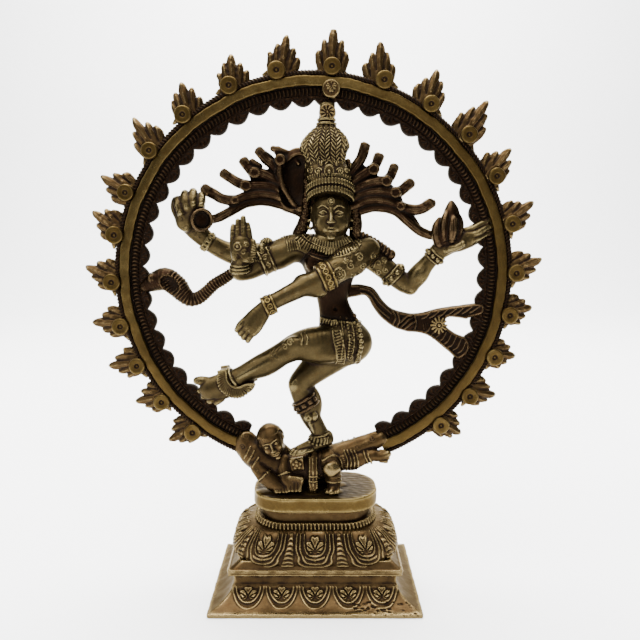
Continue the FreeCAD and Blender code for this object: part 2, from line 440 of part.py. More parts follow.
halo.Label = "halo_ring"

rope = ring_body("halo_rope_edge")
pad(rope, "rope_pad", sector(rope, "rope_sketch", "ring_band_radius", "ring_rope_radius", A0, A1, "-Sizes.ring_rope_thick / 2"), S + "ring_rope_thick")
beads = ring_body("halo_beads")
pad(beads, "bead_pad", sector(beads, "bead_sketch", "ring_bead_inner", "ring_bead_outer", A0, A1, S + "ring_web_thick / 2"), S + "ring_bead_high")

cx, cz = VALUE["ring_centre_x"], VALUE["ring_centre_z"]


def polar(r, a):
    return (cx + r * math.cos(math.radians(a)), cz + r * math.sin(math.radians(a)))


# a flame: five tongues, the middle one tallest, leaning from its boss to its tip
TONGUES = [(-6.2, -0.6), (-7.6, 0.30), (-7.4, 0.46), (-5.5, 0.34), (-5.0, 0.60), (-4.1, 0.76), (-2.3, 0.52), (-1.3, 0.80), (0.0, 1.0),
           (1.3, 0.80), (2.3, 0.52), (4.1, 0.76), (5.0, 0.60), (5.5, 0.34), (7.4, 0.46), (7.6, 0.30), (6.2, -0.6)]
ring_core = disc("ring_core", (cx, 20, cz), (0, -1, 0), S + "ring_rope_radius", "40", 40)
plates = []
for k, (ab, rb, at_, rt) in enumerate(FLAMES):
    root = VALUE["ring_rope_radius"]
    pts = []
    for u, v in TONGUES:
        tall = (rt - root)
        vv = v * tall if v > 0 else v
        share = max(0.0, v)
        ang = ab + (at_ - ab) * (0.35 + 0.65 * share)
        r = root + vv
        pts.append(polar(r, ang - math.degrees(u * (1 - 0.1 * share) / r)))
    plates.append(outline("flame_%02d" % k, pts, S + "flame_thick", 4.6, -0.2))
flame_set = doc.addObject("Part::Compound", "flame_set")
flame_set.Links = plates
halo_flames = cut("halo_flames", flame_set, ring_core)

bosses = []
for k, (ab, rb, at_, rt) in enumerate(FLAMES):
    x, z = polar(rb, ab)
    bosses.append(disc("boss_%02d" % k, (x, -2.5, z), (0, -1, 0), S + "boss_radius", S + "boss_high", 2.6))
flame_bosses = doc.addObject("Part::Compound", "boss_set")
flame_bosses.Links = bosses
flame_bosses.Label = "flame_bosses"

rosette_a = disc("rosette_a", (8.3, -3.5, 268.4), (0, -1, 0), S + "rosette_radius", S + "rosette_high", 2.4)
rosette_b = disc("rosette_b", (6.4, -2.6, 257.0), (0, -1, 0), S + "rosette_small_radius", S + "rosette_high", 2.4)
crest_rosettes = doc.addObject("Part::Compound", "rosette_set")
crest_rosettes.Links = [rosette_a, rosette_b]
crest_rosettes.Label = "crest_rosettes"

# ---------------------------------------------------------------- figure
torso = oval("torso")
shorts = oval("shorts")
collar = oval("collar")
head = oval("head")
forehead_band = oval("forehead_band")
crown = cut("crown", oval("crown"), halo, rosette_b)
# the dance: legs first, then what they meet
leg_raised = cut("leg_raised", drawn("leg_raised", True, False), shorts)
leg_standing = cut("leg_standing", drawn("leg_standing", True, False), shorts, leg_raised)


def tube(label, centre, direction, radius, high, *limbs):
    """A band round a limb: a short cylinder less the limb it is worn on."""
    c = disc(label + "_band", centre, direction, "%g" % radius, "%g" % high, high)
    return cut(label, c, *limbs)


def along(label, i, j, f):
    a, b = LIMBS[label][i], LIMBS[label][j]
    p = [a[k] + (b[k] - a[k]) * f for k in range(3)]
    d = [b[k] - a[k] for k in range(3)]
    return p, d


trunk = drawn("dwarf_trunk", False, False)
dwarf_body = cut("dwarf_body", trunk, halo, rope)
foot_standing = cut("foot_standing", drawn("foot_standing", True, True), leg_standing, dwarf_body)
foot_raised = cut("foot_raised", drawn("foot_raised", True, True), leg_raised)
belt_solid = doc.addObject("Part::Ellipse", "belt_section_0")
bind(belt_solid, "MajorRadius", S + "torso_wide_a + 1.3")
bind(belt_solid, "MinorRadius", S + "torso_deep_a + 1.3")
belt_solid.Placement = Placement(Vector(13.4, -2.6, 146.6), Rotation())
belt_plate = doc.addObject("Part::Extrusion", "belt_block")
belt_plate.Base = belt_solid
belt_plate.DirMode = "Custom"
belt_plate.Dir = Vector(0, 0, 1)
belt_plate.Solid = True
belt_plate.LengthFwd = 4.2
waist_belt = cut("waist_belt", belt_plate, torso, shorts, leg_raised)

arm_front_right = cut("arm_front_right", drawn("arm_front_right", True, False), torso, collar)
hand_front_right = drawn("hand_front_right", False, True)
arm_front_left = cut("arm_front_left", drawn("arm_front_left", True, False), torso, collar)
hand_front_left = drawn("hand_front_left", False, True)
arm_back_right = cut("arm_back_right", drawn("arm_back_right", True, False), torso, collar, arm_front_right)
arm_back_left = cut("arm_back_left", drawn("arm_back_left", False, False), torso, arm_front_left)
hand_back_left = cut("hand_back_left", drawn("hand_back_left", False, False), halo)
flame_bud = cut("flame_bud", drawn("flame_bud", True, True), hand_back_left)

# the little hourglass drum, held in the back right hand
drum_body = doc.addObject("PartDesign::Body", "drum_body")
drum_sk = drum_body.newObject("Sketcher::SketchObject", "drum_profile")
drum_sk.AttachmentSupport = [(plane_of(drum_body, "XZ_Plane"), "")]
drum_sk.MapMode = "FlatFace"
dl, dm, dw = VALUE["drum_length"] / 2, VALUE["drum_mouth_radius"], VALUE["drum_waist_radius"]
V3 = Vector
drum_sk.addGeometry([
    Part.LineSegment(V3(0, -dl, 0), V3(dm, -dl, 0)), Part.LineSegment(V3(dm, -dl, 0), V3(dw, 0, 0)),
    Part.LineSegment(V3(dw, 0, 0), V3(dm, dl, 0)), Part.LineSegment(V3(dm, dl, 0), V3(0, dl, 0)),
    Part.LineSegment(V3(0, dl, 0), V3(0, -dl, 0)),
], False)
SC = Sketcher.Constraint
drum_sk.addConstraint([
    SC("Coincident", 0, 2, 1, 1), SC("Coincident", 1, 2, 2, 1), SC("Coincident", 2, 2, 3, 1), SC("Coincident", 3, 2, 4, 1),
    SC("Coincident", 4, 2, 0, 1), SC("Horizontal", 0), SC("Horizontal", 3), SC("PointOnObject", 0, 1, -2),
    SC("PointOnObject", 1, 2, -1), SC("Symmetric", 3, 2, 0, 1, -1, 1), SC("Equal", 1, 2),
])
k1 = drum_sk.addConstraint(SC("DistanceX", -1, 1, 1, 2, dw))
k2 = drum_sk.addConstraint(SC("DistanceX", 0, 1, 0, 2, dm))
k3 = drum_sk.addConstraint(SC("DistanceY", 0, 1, 3, 2, 2 * dl))
drum_sk.setExpression("Constraints[%d]" % k1, S + "drum_waist_radius")
drum_sk.setExpression("Constraints[%d]" % k2, S + "drum_mouth_radius")
drum_sk.setExpression("Constraints[%d]" % k3, S + "drum_length")
drum_rev = drum_body.newObject("PartDesign::Revolution", "drum_turned")
drum_rev.Profile = drum_sk
drum_rev.ReferenceAxis = (drum_sk, ["V_Axis"])
drum_rev.Angle = 360.0
drum_body.Tip = drum_rev
drum_body.Placement = Placement(Vector(-59.6, -4.6, 205.6), Rotation(Vector(0, 0, 1), Vector(0.62, -0.62, -0.48)))
hand_blank = drawn("hand_back_right", False, True)
hand_back_right = cut("hand_back_right", hand_blank, drum_body)
drum_body.Label = "drum"

lock_a = cut("lock_a", drawn("lock_right", True, True), head, forehead_band)
lock_b = cut("lock_b", drawn("lock_left", True, True), head, forehead_band)
side_locks = doc.addObject("Part::Compound", "lock_set")
side_locks.Links = [lock_a, lock_b]

fan_left = outline("hair_fan_left", OUTLINES["hair_fan_left"], S + "fan_thick", 6.0, 1.5)
hair_fan_left = cut("hair_fan_left", fan_left, head, forehead_band, crown, lock_a, hand_back_right, drum_body)
fan_right = outline("hair_fan_right", OUTLINES["hair_fan_right"], S + "fan_thick", 6.0, 1.5)
hair_fan_right = cut("hair_fan_right", fan_right, head, forehead_band, crown, lock_b, hand_back_left, flame_bud)
shoulder_tassel = cut("shoulder_tassel", drawn("shoulder_tassel", True, True), arm_back_left, arm_front_left)

snake = cut("snake", drawn("snake", False, True), halo, arm_back_right)
sash_plate = outline("sash", OUTLINES["sash"], S + "sash_thick", 4.6, 0.6)
sash_eye = outline("sash_eye", OUTLINES["sash_eye"], S + "sash_thick * 3", 14.0, 0.6)
sash = cut("sash", sash_plate, halo, torso, sash_eye)
sash_flower = disc("sash_flower", (66.4, -1.7, 147.0), (0, -1, 0), "4.2", "1.6", 1.6)

# bands worn on the limbs
p, d = along("arm_front_left", 2, 3, 0.62)
armlet_front_left = tube("armlet_front_left", p, d, 7.0, 5.4, arm_front_left, torso)
p, d = along("arm_front_left", 5, 6, 0.42)
bracelet_front_left = tube("bracelet_front_left", p, d, 5.3, 4.6, arm_front_left)
p, d = along("arm_back_left", 1, 2, 0.72)
armlet_back_left = tube("armlet_back_left", p, d, 7.0, 4.4, arm_back_left)
p, d = along("arm_back_left", 5, 6, 0.5)
bracelet_back_left = tube("bracelet_back_left", p, d, 5.5, 4.0, arm_back_left)
p, d = along("arm_front_right", 2, 3, 0.15)
armlet_front_right = tube("armlet_front_right", p, d, 6.9, 4.4, arm_front_right, arm_back_right)
p, d = along("arm_front_right", 6, 7, 0.0)
bracelet_front_right = tube("bracelet_front_right", p, d, 5.4, 3.0, arm_front_right)
p, d = along("leg_standing", 4, 5, 0.55)
calf_band = tube("calf_band", p, d, 7.0, 6.4, leg_standing)
p, d = along("leg_standing", 7, 8, 0.1)
anklet_standing = tube("anklet_standing", p, d, 6.6, 3.6, leg_standing, foot_standing)
p, d = along("leg_raised", 7, 8, 0.35)
anklet_raised = tube("anklet_raised", p, d, 7.2, 4.0, leg_raised, foot_raised)

# ---------------------------------------------------------------- dwarf
dwarf_head = cut("dwarf_head", drawn("dwarf_head", False, True), dwarf_body)
dwarf_leg_left = cut("dwarf_leg_left", drawn("dwarf_leg_left", True, True), dwarf_body, oval_plinth)
dwarf_leg_right = cut("dwarf_leg_right", drawn("dwarf_leg_right", True, True), dwarf_body, halo)
dwarf_arm_right = cut("dwarf_arm_right", drawn("dwarf_arm_right", True, True), dwarf_body, dwarf_head, oval_plinth)
dwarf_arm_left = cut("dwarf_arm_left", drawn("dwarf_arm_left", True, True), dwarf_body, dwarf_head, dwarf_arm_right, oval_plinth)
dwarf_belt_tail = cut("dwarf_belt_tail", drawn("dwarf_belt_tail", True, True), dwarf_body, oval_plinth, foot_standing)
medal = disc("medallion_block", (-7.6, -8.5, 69.6), (0, -1, 0), "3.8", "5.2", 5.2)
dwarf_medallion = cut("dwarf_medallion", medal, dwarf_body, dwarf_arm_left)
# the lump of metal that joins the dwarf's back to the plinth
mount_oval_low = doc.addObject("Part::Ellipse", "seat_section_0")
mount_oval_low.Placement = Placement(Vector(-7.0, -1.0, VALUE["plinth_top"]), Rotation())
mount_oval_low.MajorRadius = 22.0
mount_oval_low.MinorRadius = 9.0
mount_oval_top = doc.addObject("Part::Ellipse", "seat_section_1")
mount_oval_top.Placement = Placement(Vector(-7.0, -1.0, 68.0), Rotation())
mount_oval_top.MajorRadius = 18.0
mount_oval_top.MinorRadius = 7.0
seat = loft("dwarf_seat", [mount_oval_low, mount_oval_top])
dwarf_seat = cut("dwarf_seat", seat, dwarf_body, dwarf_arm_right, dwarf_arm_left, dwarf_leg_left, dwarf_belt_tail, dwarf_medallion)

# ---------------------------------------------------------------- hand in
NODES = {
    "pedestal_foot": pedestal_foot, "lotus_dome": lotus_dome, "bead_row": bead_row, "plinth_neck": plinth_neck,
    "oval_plinth": oval_plinth, "fixing_stud": fixing_stud, "fixing_washer": fixing_washer, "fixing_nut": fixing_nut,
    "halo_ring": halo, "halo_rope_edge": rope, "halo_beads": beads, "halo_flames": halo_flames, "flame_bosses": flame_bosses,
    "crest_rosettes": crest_rosettes, "torso": torso, "shorts": shorts, "waist_belt": waist_belt, "collar": collar, "head": head,
    "forehead_band": forehead_band, "crown": crown, "hair_fan_left": hair_fan_left, "hair_fan_right": hair_fan_right,
    "side_locks": side_locks, "arm_front_right": arm_front_right, "hand_front_right": hand_front_right,
    "arm_front_left": arm_front_left, "hand_front_left": hand_front_left, "arm_back_right": arm_back_right,
    "hand_back_right": hand_back_right, "drum": drum_body, "arm_back_left": arm_back_left, "hand_back_left": hand_back_left,
    "flame_bud": flame_bud, "armlet_front_right": armlet_front_right, "armlet_front_left": armlet_front_left,
    "armlet_back_left": armlet_back_left, "bracelet_front_right": bracelet_front_right, "bracelet_front_left": bracelet_front_left,
    "bracelet_back_left": bracelet_back_left, "shoulder_tassel": shoulder_tassel, "snake": snake, "sash": sash,
    "sash_flower": sash_flower, "leg_raised": leg_raised, "foot_raised": foot_raised, "anklet_raised": anklet_raised,
    "leg_standing": leg_standing, "foot_standing": foot_standing, "anklet_standing": anklet_standing, "calf_band": calf_band,
    "dwarf_body": dwarf_body, "dwarf_head": dwarf_head, "dwarf_leg_left": dwarf_leg_left, "dwarf_leg_right": dwarf_leg_right,
    "dwarf_arm_right": dwarf_arm_right, "dwarf_arm_left": dwarf_arm_left, "dwarf_medallion": dwarf_medallion,
    "dwarf_belt_tail": dwarf_belt_tail, "dwarf_seat": dwarf_seat,
}

doc.recompute()
bad = [o.Name for o in doc.Objects if "Invalid" in o.State or "Error" in o.State]
if bad:
    print([doc.getObject(b).getStatusString() for b in bad])
    raise RuntimeError("objects with errors: %s" % bad)
os.makedirs("parts", exist_ok=True)
many = {"halo_flames", "flame_bosses", "crest_rosettes", "side_locks"}
for node, obj in NODES.items():
    obj.Label = node
    shape = obj.Shape
    if shape.isNull() or not shape.isValid():
        raise RuntimeError("bad shape: %s" % node)
    if node not in many and len(shape.Solids) != 1:
        print("note: %s has %d solids" % (node, len(shape.Solids)))
    shape.exportStep("parts/%s.step" % node)
print("nodes: %d" % len(NODES))
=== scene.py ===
# Looks of the cast brass dancer: every casting is sculpted as a distance field,
# turned into a mesh and given a patinated brass made only of shader nodes.
# The brass darkens in hollows and brightens on edges: partly patina and wear, partly painted shade and painted
# highlight.
import bpy
import math
import time
import numpy as np
from mathutils import Vector, Matrix


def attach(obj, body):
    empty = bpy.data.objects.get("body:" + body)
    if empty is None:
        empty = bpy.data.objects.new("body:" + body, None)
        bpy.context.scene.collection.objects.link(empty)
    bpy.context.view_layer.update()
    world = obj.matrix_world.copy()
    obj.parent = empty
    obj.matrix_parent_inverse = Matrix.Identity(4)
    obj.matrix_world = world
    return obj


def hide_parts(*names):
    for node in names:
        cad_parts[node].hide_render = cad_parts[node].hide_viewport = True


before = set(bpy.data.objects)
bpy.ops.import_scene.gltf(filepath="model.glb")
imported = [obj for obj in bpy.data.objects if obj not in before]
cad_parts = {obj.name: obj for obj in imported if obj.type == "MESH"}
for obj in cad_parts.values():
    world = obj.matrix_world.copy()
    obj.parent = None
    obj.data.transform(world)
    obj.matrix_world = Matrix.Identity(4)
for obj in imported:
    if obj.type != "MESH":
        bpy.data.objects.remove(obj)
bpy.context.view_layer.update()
T0 = time.time()
try:
    import openvdb as vdb
except ImportError:
    try:
        import pyopenvdb as vdb
    except ImportError:
        vdb = None

F32 = np.float32
HAVE = set(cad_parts)
rng = np.random.RandomState(7)


# ------------------------------------------------------------------ distance fields (mm)
def smin(a, b, k):
    if k <= 0:
        return np.minimum(a, b)
    m = np.maximum(k - np.abs(a - b), 0) * F32(1.0 / k)
    return np.minimum(a, b) - m * m * F32(k * 0.25)


class Clay:
    """A block of space holding a distance field, negative inside."""

    def __init__(s, lo, hi, h):
        s.h = float(h)
        s.lo = np.array(lo, float)
        s.n = np.ceil((np.array(hi, float) - s.lo) / h).astype(int) + 1
        s.ax = [(s.lo[i] + h * np.arange(s.n[i])).astype(F32) for i in range(3)]
        s.f = np.full(tuple(s.n), 9.0, F32)

    def sl(s, lo, hi):
        out = []
        for i in range(3):
            a = max(int(math.floor((lo[i] - s.lo[i]) / s.h)), 0)
            b = min(int(math.ceil((hi[i] - s.lo[i]) / s.h)) + 1, int(s.n[i]))
            if a >= b:
                return None
            out.append(slice(a, b))
        return tuple(out)

    def at(s, sl):
        return (s.ax[0][sl[0]][:, None, None], s.ax[1][sl[1]][None, :, None], s.ax[2][sl[2]][None, None, :])

    def do(s, prim, k=0.0, op="+"):
        fn, lo, hi = prim
        m = k + 3 * s.h
        sl = s.sl([v - m for v in lo], [v + m for v in hi])
        if sl is None:
            return s
        d = fn(*s.at(sl))
        a = s.f[sl]
        if op == "+":
            s.f[sl] = smin(a, d, k)
        elif op == "-":
            s.f[sl] = -smin(-a, d, k)
        else:
            s.f[sl] = -smin(-a, -d, k)
        return s

    def warp(s, fn, lo=None, hi=None):
        """Adds fn(X, Y, Z) to the field in a box: positive carves, negative raises."""
        sl = s.sl(lo, hi) if lo is not None else (slice(None),) * 3
        if sl is None:
            return s
        s.f[sl] = s.f[sl] + fn(*s.at(sl))
        return s

    def chain(s, pts, rad, k=0.0, op="+", flat=None, closed=False):
        """Tapered capsules joined end to end, laid down as one shape."""
        pts = np.asarray(pts, float)
        rad = np.asarray(rad, float) if np.ndim(rad) else np.full(len(pts), float(rad))
        m = k + 3 * s.h + rad.max()
        sl = s.sl(pts.min(0) - m, pts.max(0) + m)
        if sl is None:
            return s
        tmp = np.full(tuple(q.stop - q.start for q in sl), 9.0, F32)
        n = len(pts)
        for i in range(n if closed else n - 1):
            j = (i + 1) % n
            fn, lo, hi = cap(pts[i], pts[j], rad[i], rad[j], flat)
            mm = k + 3 * s.h
            s2 = s.sl([v - mm for v in lo], [v + mm for v in hi])
            if s2 is None:
                continue
            s2 = tuple(slice(max(a.start, b.start), min(a.stop, b.stop)) for a, b in zip(s2, sl))
            if any(q.stop <= q.start for q in s2):
                continue
            loc = tuple(slice(a.start - b.start, a.stop - b.start) for a, b in zip(s2, sl))
            tmp[loc] = np.minimum(tmp[loc], fn(*s.at(s2)))
        a = s.f[sl]
        if op == "+":
            s.f[sl] = smin(a, tmp, k)
        else:
            s.f[sl] = -smin(-a, tmp, k)
        return s

    def face(s, x, z, side=-1):
        """y of the surface met when looking along Y at (x, z), from the front or the back."""
        i = int(round((x - s.lo[0]) / s.h))
        kz = int(round((z - s.lo[2]) / s.h))
        if not (0 <= i < s.n[0] and 0 <= kz < s.n[2]):
            return None
        col = s.f[i, :, kz]
        ins = np.nonzero(col < 0)[0]
        if len(ins) == 0:
            return None
        j = ins[0] if side < 0 else ins[-1]
        o = j - 1 if side < 0 else j + 1
        if not 0 <= o < s.n[1]:
            return float(s.ax[1][j])
        a, b = float(col[j]), float(col[o])
        t = a / (a - b) if a != b else 0.0
        return float(s.ax[1][j] + t * (s.ax[1][o] - s.ax[1][j]))

    def draw(s, xz, r, side=-1, op="+", k=0.0, lift=0.0, step=None, closed=False):
        """A ridge or groove of radius r drawn on the visible surface along a path in x, z."""
        xz = np.asarray(xz, float)
        if closed:
            xz = np.vstack([xz, xz[:1]])
        d = np.r_[0, np.cumsum(np.hypot(*np.diff(xz, axis=0).T))]
        n = max(int(d[-1] / (step or max(0.5, r))), 1) + 1
        u = np.linspace(0, d[-1], n)
        x, z = np.interp(u, d, xz[:, 0]), np.interp(u, d, xz[:, 1])
        y = [s.face(a, b, side) for a, b in zip(x, z)]
        run = []
        runs = [run]
        for a, b, c in zip(x, y, z):
            if b is None or (run and abs(b - run[-1][1]) > 2.2):
                run = []
                runs.append(run)
                if b is None:
                    continue
            run.append((a, b + side * lift, c))
        for run in runs:
            if len(run) == 1:
                run.append((run[0][0] + 0.01, run[0][1], run[0][2]))
            if run:
                s.chain(run, r, k, op)
        return s

    def dots(s, xz, r, side=-1, op="+", k=0.0, lift=0.0, gap=None, flat=1.0):
        """A row of small beads, or pits, along a path in x, z."""
        xz = np.asarray(xz, float)
        if gap:
            d = np.r_[0, np.cumsum(np.hypot(*np.diff(xz, axis=0).T))]
            u = np.arange(0, d[-1] + 1e-6, gap)
            xz = np.c_[np.interp(u, d, xz[:, 0]), np.interp(u, d, xz[:, 1])]
        for a, b in xz:
            y = s.face(a, b, side)
            if y is not None:
                s.do(ell((a, y + side * lift, b), (r, r * flat, r)), k, op)
        return s


def cap(A, B, ra, rb, flat=None):
    A, B = np.asarray(A, float), np.asarray(B, float)
    D = B - A
    L2 = max(float(D @ D), 1e-9)
    r = max(ra, rb)
    lo, hi = np.minimum(A, B) - r, np.maximum(A, B) + r
    if flat is None:
        def fn(X, Y, Z):
            dx, dy, dz = X - F32(A[0]), Y - F32(A[1]), Z - F32(A[2])
            t = np.clip((dx * F32(D[0]) + dy * F32(D[1]) + dz * F32(D[2])) * F32(1 / L2), 0, 1)
            return np.sqrt((dx - t * F32(D[0])) ** 2 + (dy - t * F32(D[1])) ** 2 + (dz - t * F32(D[2])) ** 2) - (F32(ra) + F32(rb - ra) * t)
    else:
        nrm, sc = np.asarray(flat[0], float), float(flat[1])
        nrm = nrm / np.linalg.norm(nrm)

        def fn(X, Y, Z):
            dx, dy, dz = X - F32(A[0]), Y - F32(A[1]), Z - F32(A[2])
            t = np.clip((dx * F32(D[0]) + dy * F32(D[1]) + dz * F32(D[2])) * F32(1 / L2), 0, 1)
            ex, ey, ez = dx - t * F32(D[0]), dy - t * F32(D[1]), dz - t * F32(D[2])
            c = ex * F32(nrm[0]) + ey * F32(nrm[1]) + ez * F32(nrm[2])
            q = np.sqrt(ex * ex + ey * ey + ez * ez + c * c * F32(sc * sc - 1))
            return (q - (F32(ra) + F32(rb - ra) * t)) * F32(1 / max(1.0, 0.5 * (sc + 1)))
    return fn, lo, hi


def rot(axis="z", deg=0.0):
    return np.array(Matrix.Rotation(math.radians(deg), 3, axis.upper()))


def frame_to(z, up=(0, 0, 1)):
    """A rotation whose third column points along z."""
    z = np.asarray(z, float)
    z = z / np.linalg.norm(z)
    u = np.asarray(up, float)
    if abs(u @ z) > 0.95:
        u = np.array([1.0, 0, 0])
    x = np.cross(u, z)
    x /= np.linalg.norm(x)
    return np.c_[x, np.cross(z, x), z]


def local(C, M):
    C = [F32(v) for v in C]
    if M is None:
        return lambda X, Y, Z: (X - C[0], Y - C[1], Z - C[2])
    M = np.asarray(M, F32)

    def f(X, Y, Z):
        a, b, c = X - C[0], Y - C[1], Z - C[2]
        return (a * M[0, 0] + b * M[1, 0] + c * M[2, 0], a * M[0, 1] + b * M[1, 1] + c * M[2, 1], a * M[0, 2] + b * M[1, 2] + c * M[2, 2])
    return f


def ell(C, R, M=None):
    L = local(C, M)
    R = np.asarray(R, float)
    m = R.max() if M is not None else None

    def fn(X, Y, Z):
        a, b, c = L(X, Y, Z)
        k0 = np.sqrt((a * F32(1 / R[0])) ** 2 + (b * F32(1 / R[1])) ** 2 + (c * F32(1 / R[2])) ** 2)
        k1 = np.sqrt((a * F32(1 / R[0] ** 2)) ** 2 + (b * F32(1 / R[1] ** 2)) ** 2 + (c * F32(1 / R[2] ** 2)) ** 2)
        return k0 * (k0 - 1) / np.maximum(k1, F32(1e-4))
    C = np.asarray(C, float)
    e = R if m is None else m
    return fn, C - e, C + e


def box(C, H, M=None, r=0.0):
    L = local(C, M)
    H = np.asarray(H, float)

    def fn(X, Y, Z):
        a, b, c = L(X, Y, Z)
        a, b, c = np.abs(a) - F32(H[0] - r), np.abs(b) - F32(H[1] - r), np.abs(c) - F32(H[2] - r)
        return np.sqrt(np.maximum(a, 0) ** 2 + np.maximum(b, 0) ** 2 + np.maximum(c, 0) ** 2) + np.minimum(np.maximum(a, np.maximum(b, c)), 0) - F32(r)
    C = np.asarray(C, float)
    e = H if M is None else np.linalg.norm(H)
    return fn, C - e, C + e


def tor(C, R, r, M=None):
    L = local(C, M)

    def fn(X, Y, Z):
        a, b, c = L(X, Y, Z)
        return np.sqrt((np.sqrt(a * a + b * b) - F32(R)) ** 2 + c * c) - F32(r)
    C = np.asarray(C, float)
    return fn, C - (R + r), C + (R + r)


def cyl(C, r, half, M=None, rnd=0.0):
    L = local(C, M)

    def fn(X, Y, Z):
        a, b, c = L(X, Y, Z)
        p, q = np.sqrt(a * a + b * b) - F32(r - rnd), np.abs(c) - F32(half - rnd)
        return np.sqrt(np.maximum(p, 0) ** 2 + np.maximum(q, 0) ** 2) + np.minimum(np.maximum(p, q), 0) - F32(rnd)
    C = np.asarray(C, float)
    e = math.hypot(r, half)
    return fn, C - e, C + e


def curve(pts, n, closed=False):
    """Catmull-Rom through rows of numbers (positions, and radii if given)."""
    P = np.asarray(pts, float)
    if closed:
        P = np.vstack([P[-1], P, P[0], P[1]])
    else:
        P = np.vstack([2 * P[0] - P[1], P, 2 * P[-1] - P[-2]])
    m = len(P) - 3
    out = []
    for u in np.linspace(0, m, n, endpoint=not closed):
        i = min(int(u), m - 1)
        t = u - i
        a, b, c, d = P[i:i + 4]
        out.append(0.5 * (2 * b + (c - a) * t + (2 * a - 5 * b + 4 * c - d) * t * t + (3 * b - a - 3 * c + d) * t ** 3))
    return np.array(out)


def limb(clay, st, n=None, k=0.0, op="+", flat=None):
    c = curve(st, n or 5 * len(st))
    clay.chain(c[:, :3], np.maximum(c[:, 3], 0.15), k, op, flat)
    return clay


def poly2d(pts, X, Z):
    """Signed distance to a closed outline in x, z (2-D arrays)."""
    P = np.asarray(pts, float)
    d = np.full(np.broadcast(X, Z).shape, 1e9)
    sgn = np.ones_like(d)
    n = len(P)
    for i in range(n):
        j = (i - 1) % n
        ex, ez = P[j, 0] - P[i, 0], P[j, 1] - P[i, 1]
        wx, wz = X - P[i, 0], Z - P[i, 1]
        t = np.clip((wx * ex + wz * ez) / max(ex * ex + ez * ez, 1e-9), 0, 1)
        bx, bz = wx - ex * t, wz - ez * t
        d = np.minimum(d, bx * bx + bz * bz)
        c1, c2, c3 = Z >= P[i, 1], Z < P[j, 1], ex * wz > ez * wx
        flip = (c1 & c2 & c3) | (~c1 & ~c2 & ~c3)
        sgn = np.where(flip, -sgn, sgn)
    return (sgn * np.sqrt(d)).astype(F32)


def bump(v, at, w):
    """A smooth ridge of half width w centred where v equals at."""
    t = np.clip(1 - np.abs(v - F32(at)) * F32(1 / w), 0, 1)
    return t * t * (3 - 2 * t)


def step(v, a, b):
    t = np.clip((v - F32(a)) * F32(1 / (b - a)), 0, 1)
    return t * t * (3 - 2 * t)


def rough(amp, size, seed=0):
    """A slow hand-made unevenness, from a few waves."""
    r = np.random.RandomState(100 + seed)
    ks = [(r.uniform(-1, 1, 3), r.uniform(0, 6.28)) for _ in range(5)]
    ks = [(v / np.linalg.norm(v) * (2 * math.pi / (size * r.uniform(0.7, 1.5))), p) for v, p in ks]

    def fn(X, Y, Z):
        t = 0
        for v, p in ks:
            t = t + np.sin(X * F32(v[0]) + Y * F32(v[1]) + Z * F32(v[2]) + F32(p))
        return (t * F32(amp / 2.2)).astype(F32)
    return fn


def blur(a, r):
    """Box mean of half width r voxels along each axis, twice."""
    a = a.astype(F32)
    for _ in range(2):
        for ax in range(3):
            if a.shape[ax] < 2 * r + 2:
                continue
            pad = [(0, 0)] * 3
            pad[ax] = (r + 1, r)
            c = np.cumsum(np.pad(a, pad, mode="constant"), axis=ax, dtype=np.float64 if a.size < 3e6 else F32)
            hi = [slice(None)] * 3
            lo = [slice(None)] * 3
            hi[ax] = slice(2 * r + 1, None)
            lo[ax] = slice(0, -(2 * r + 1))
            a = ((c[tuple(hi)] - c[tuple(lo)]) / (2 * r + 1)).astype(F32)
    return a


def sample(a, idx):
    """Trilinear values of a at float indices."""
    idx = np.clip(idx, 0, np.array(a.shape) - 1.001)
    i = idx.astype(int)
    t = (idx - i).astype(F32)
    x, y, z = i.T
    u, v, w = t.T
    r = 0
    for dx in (0, 1):
        for dy in (0, 1):
            for dz in (0, 1):
                r = r + a[x + dx, y + dy, z + dz] * (u if dx else 1 - u) * (v if dy else 1 - v) * (w if dz else 1 - w)
    return r


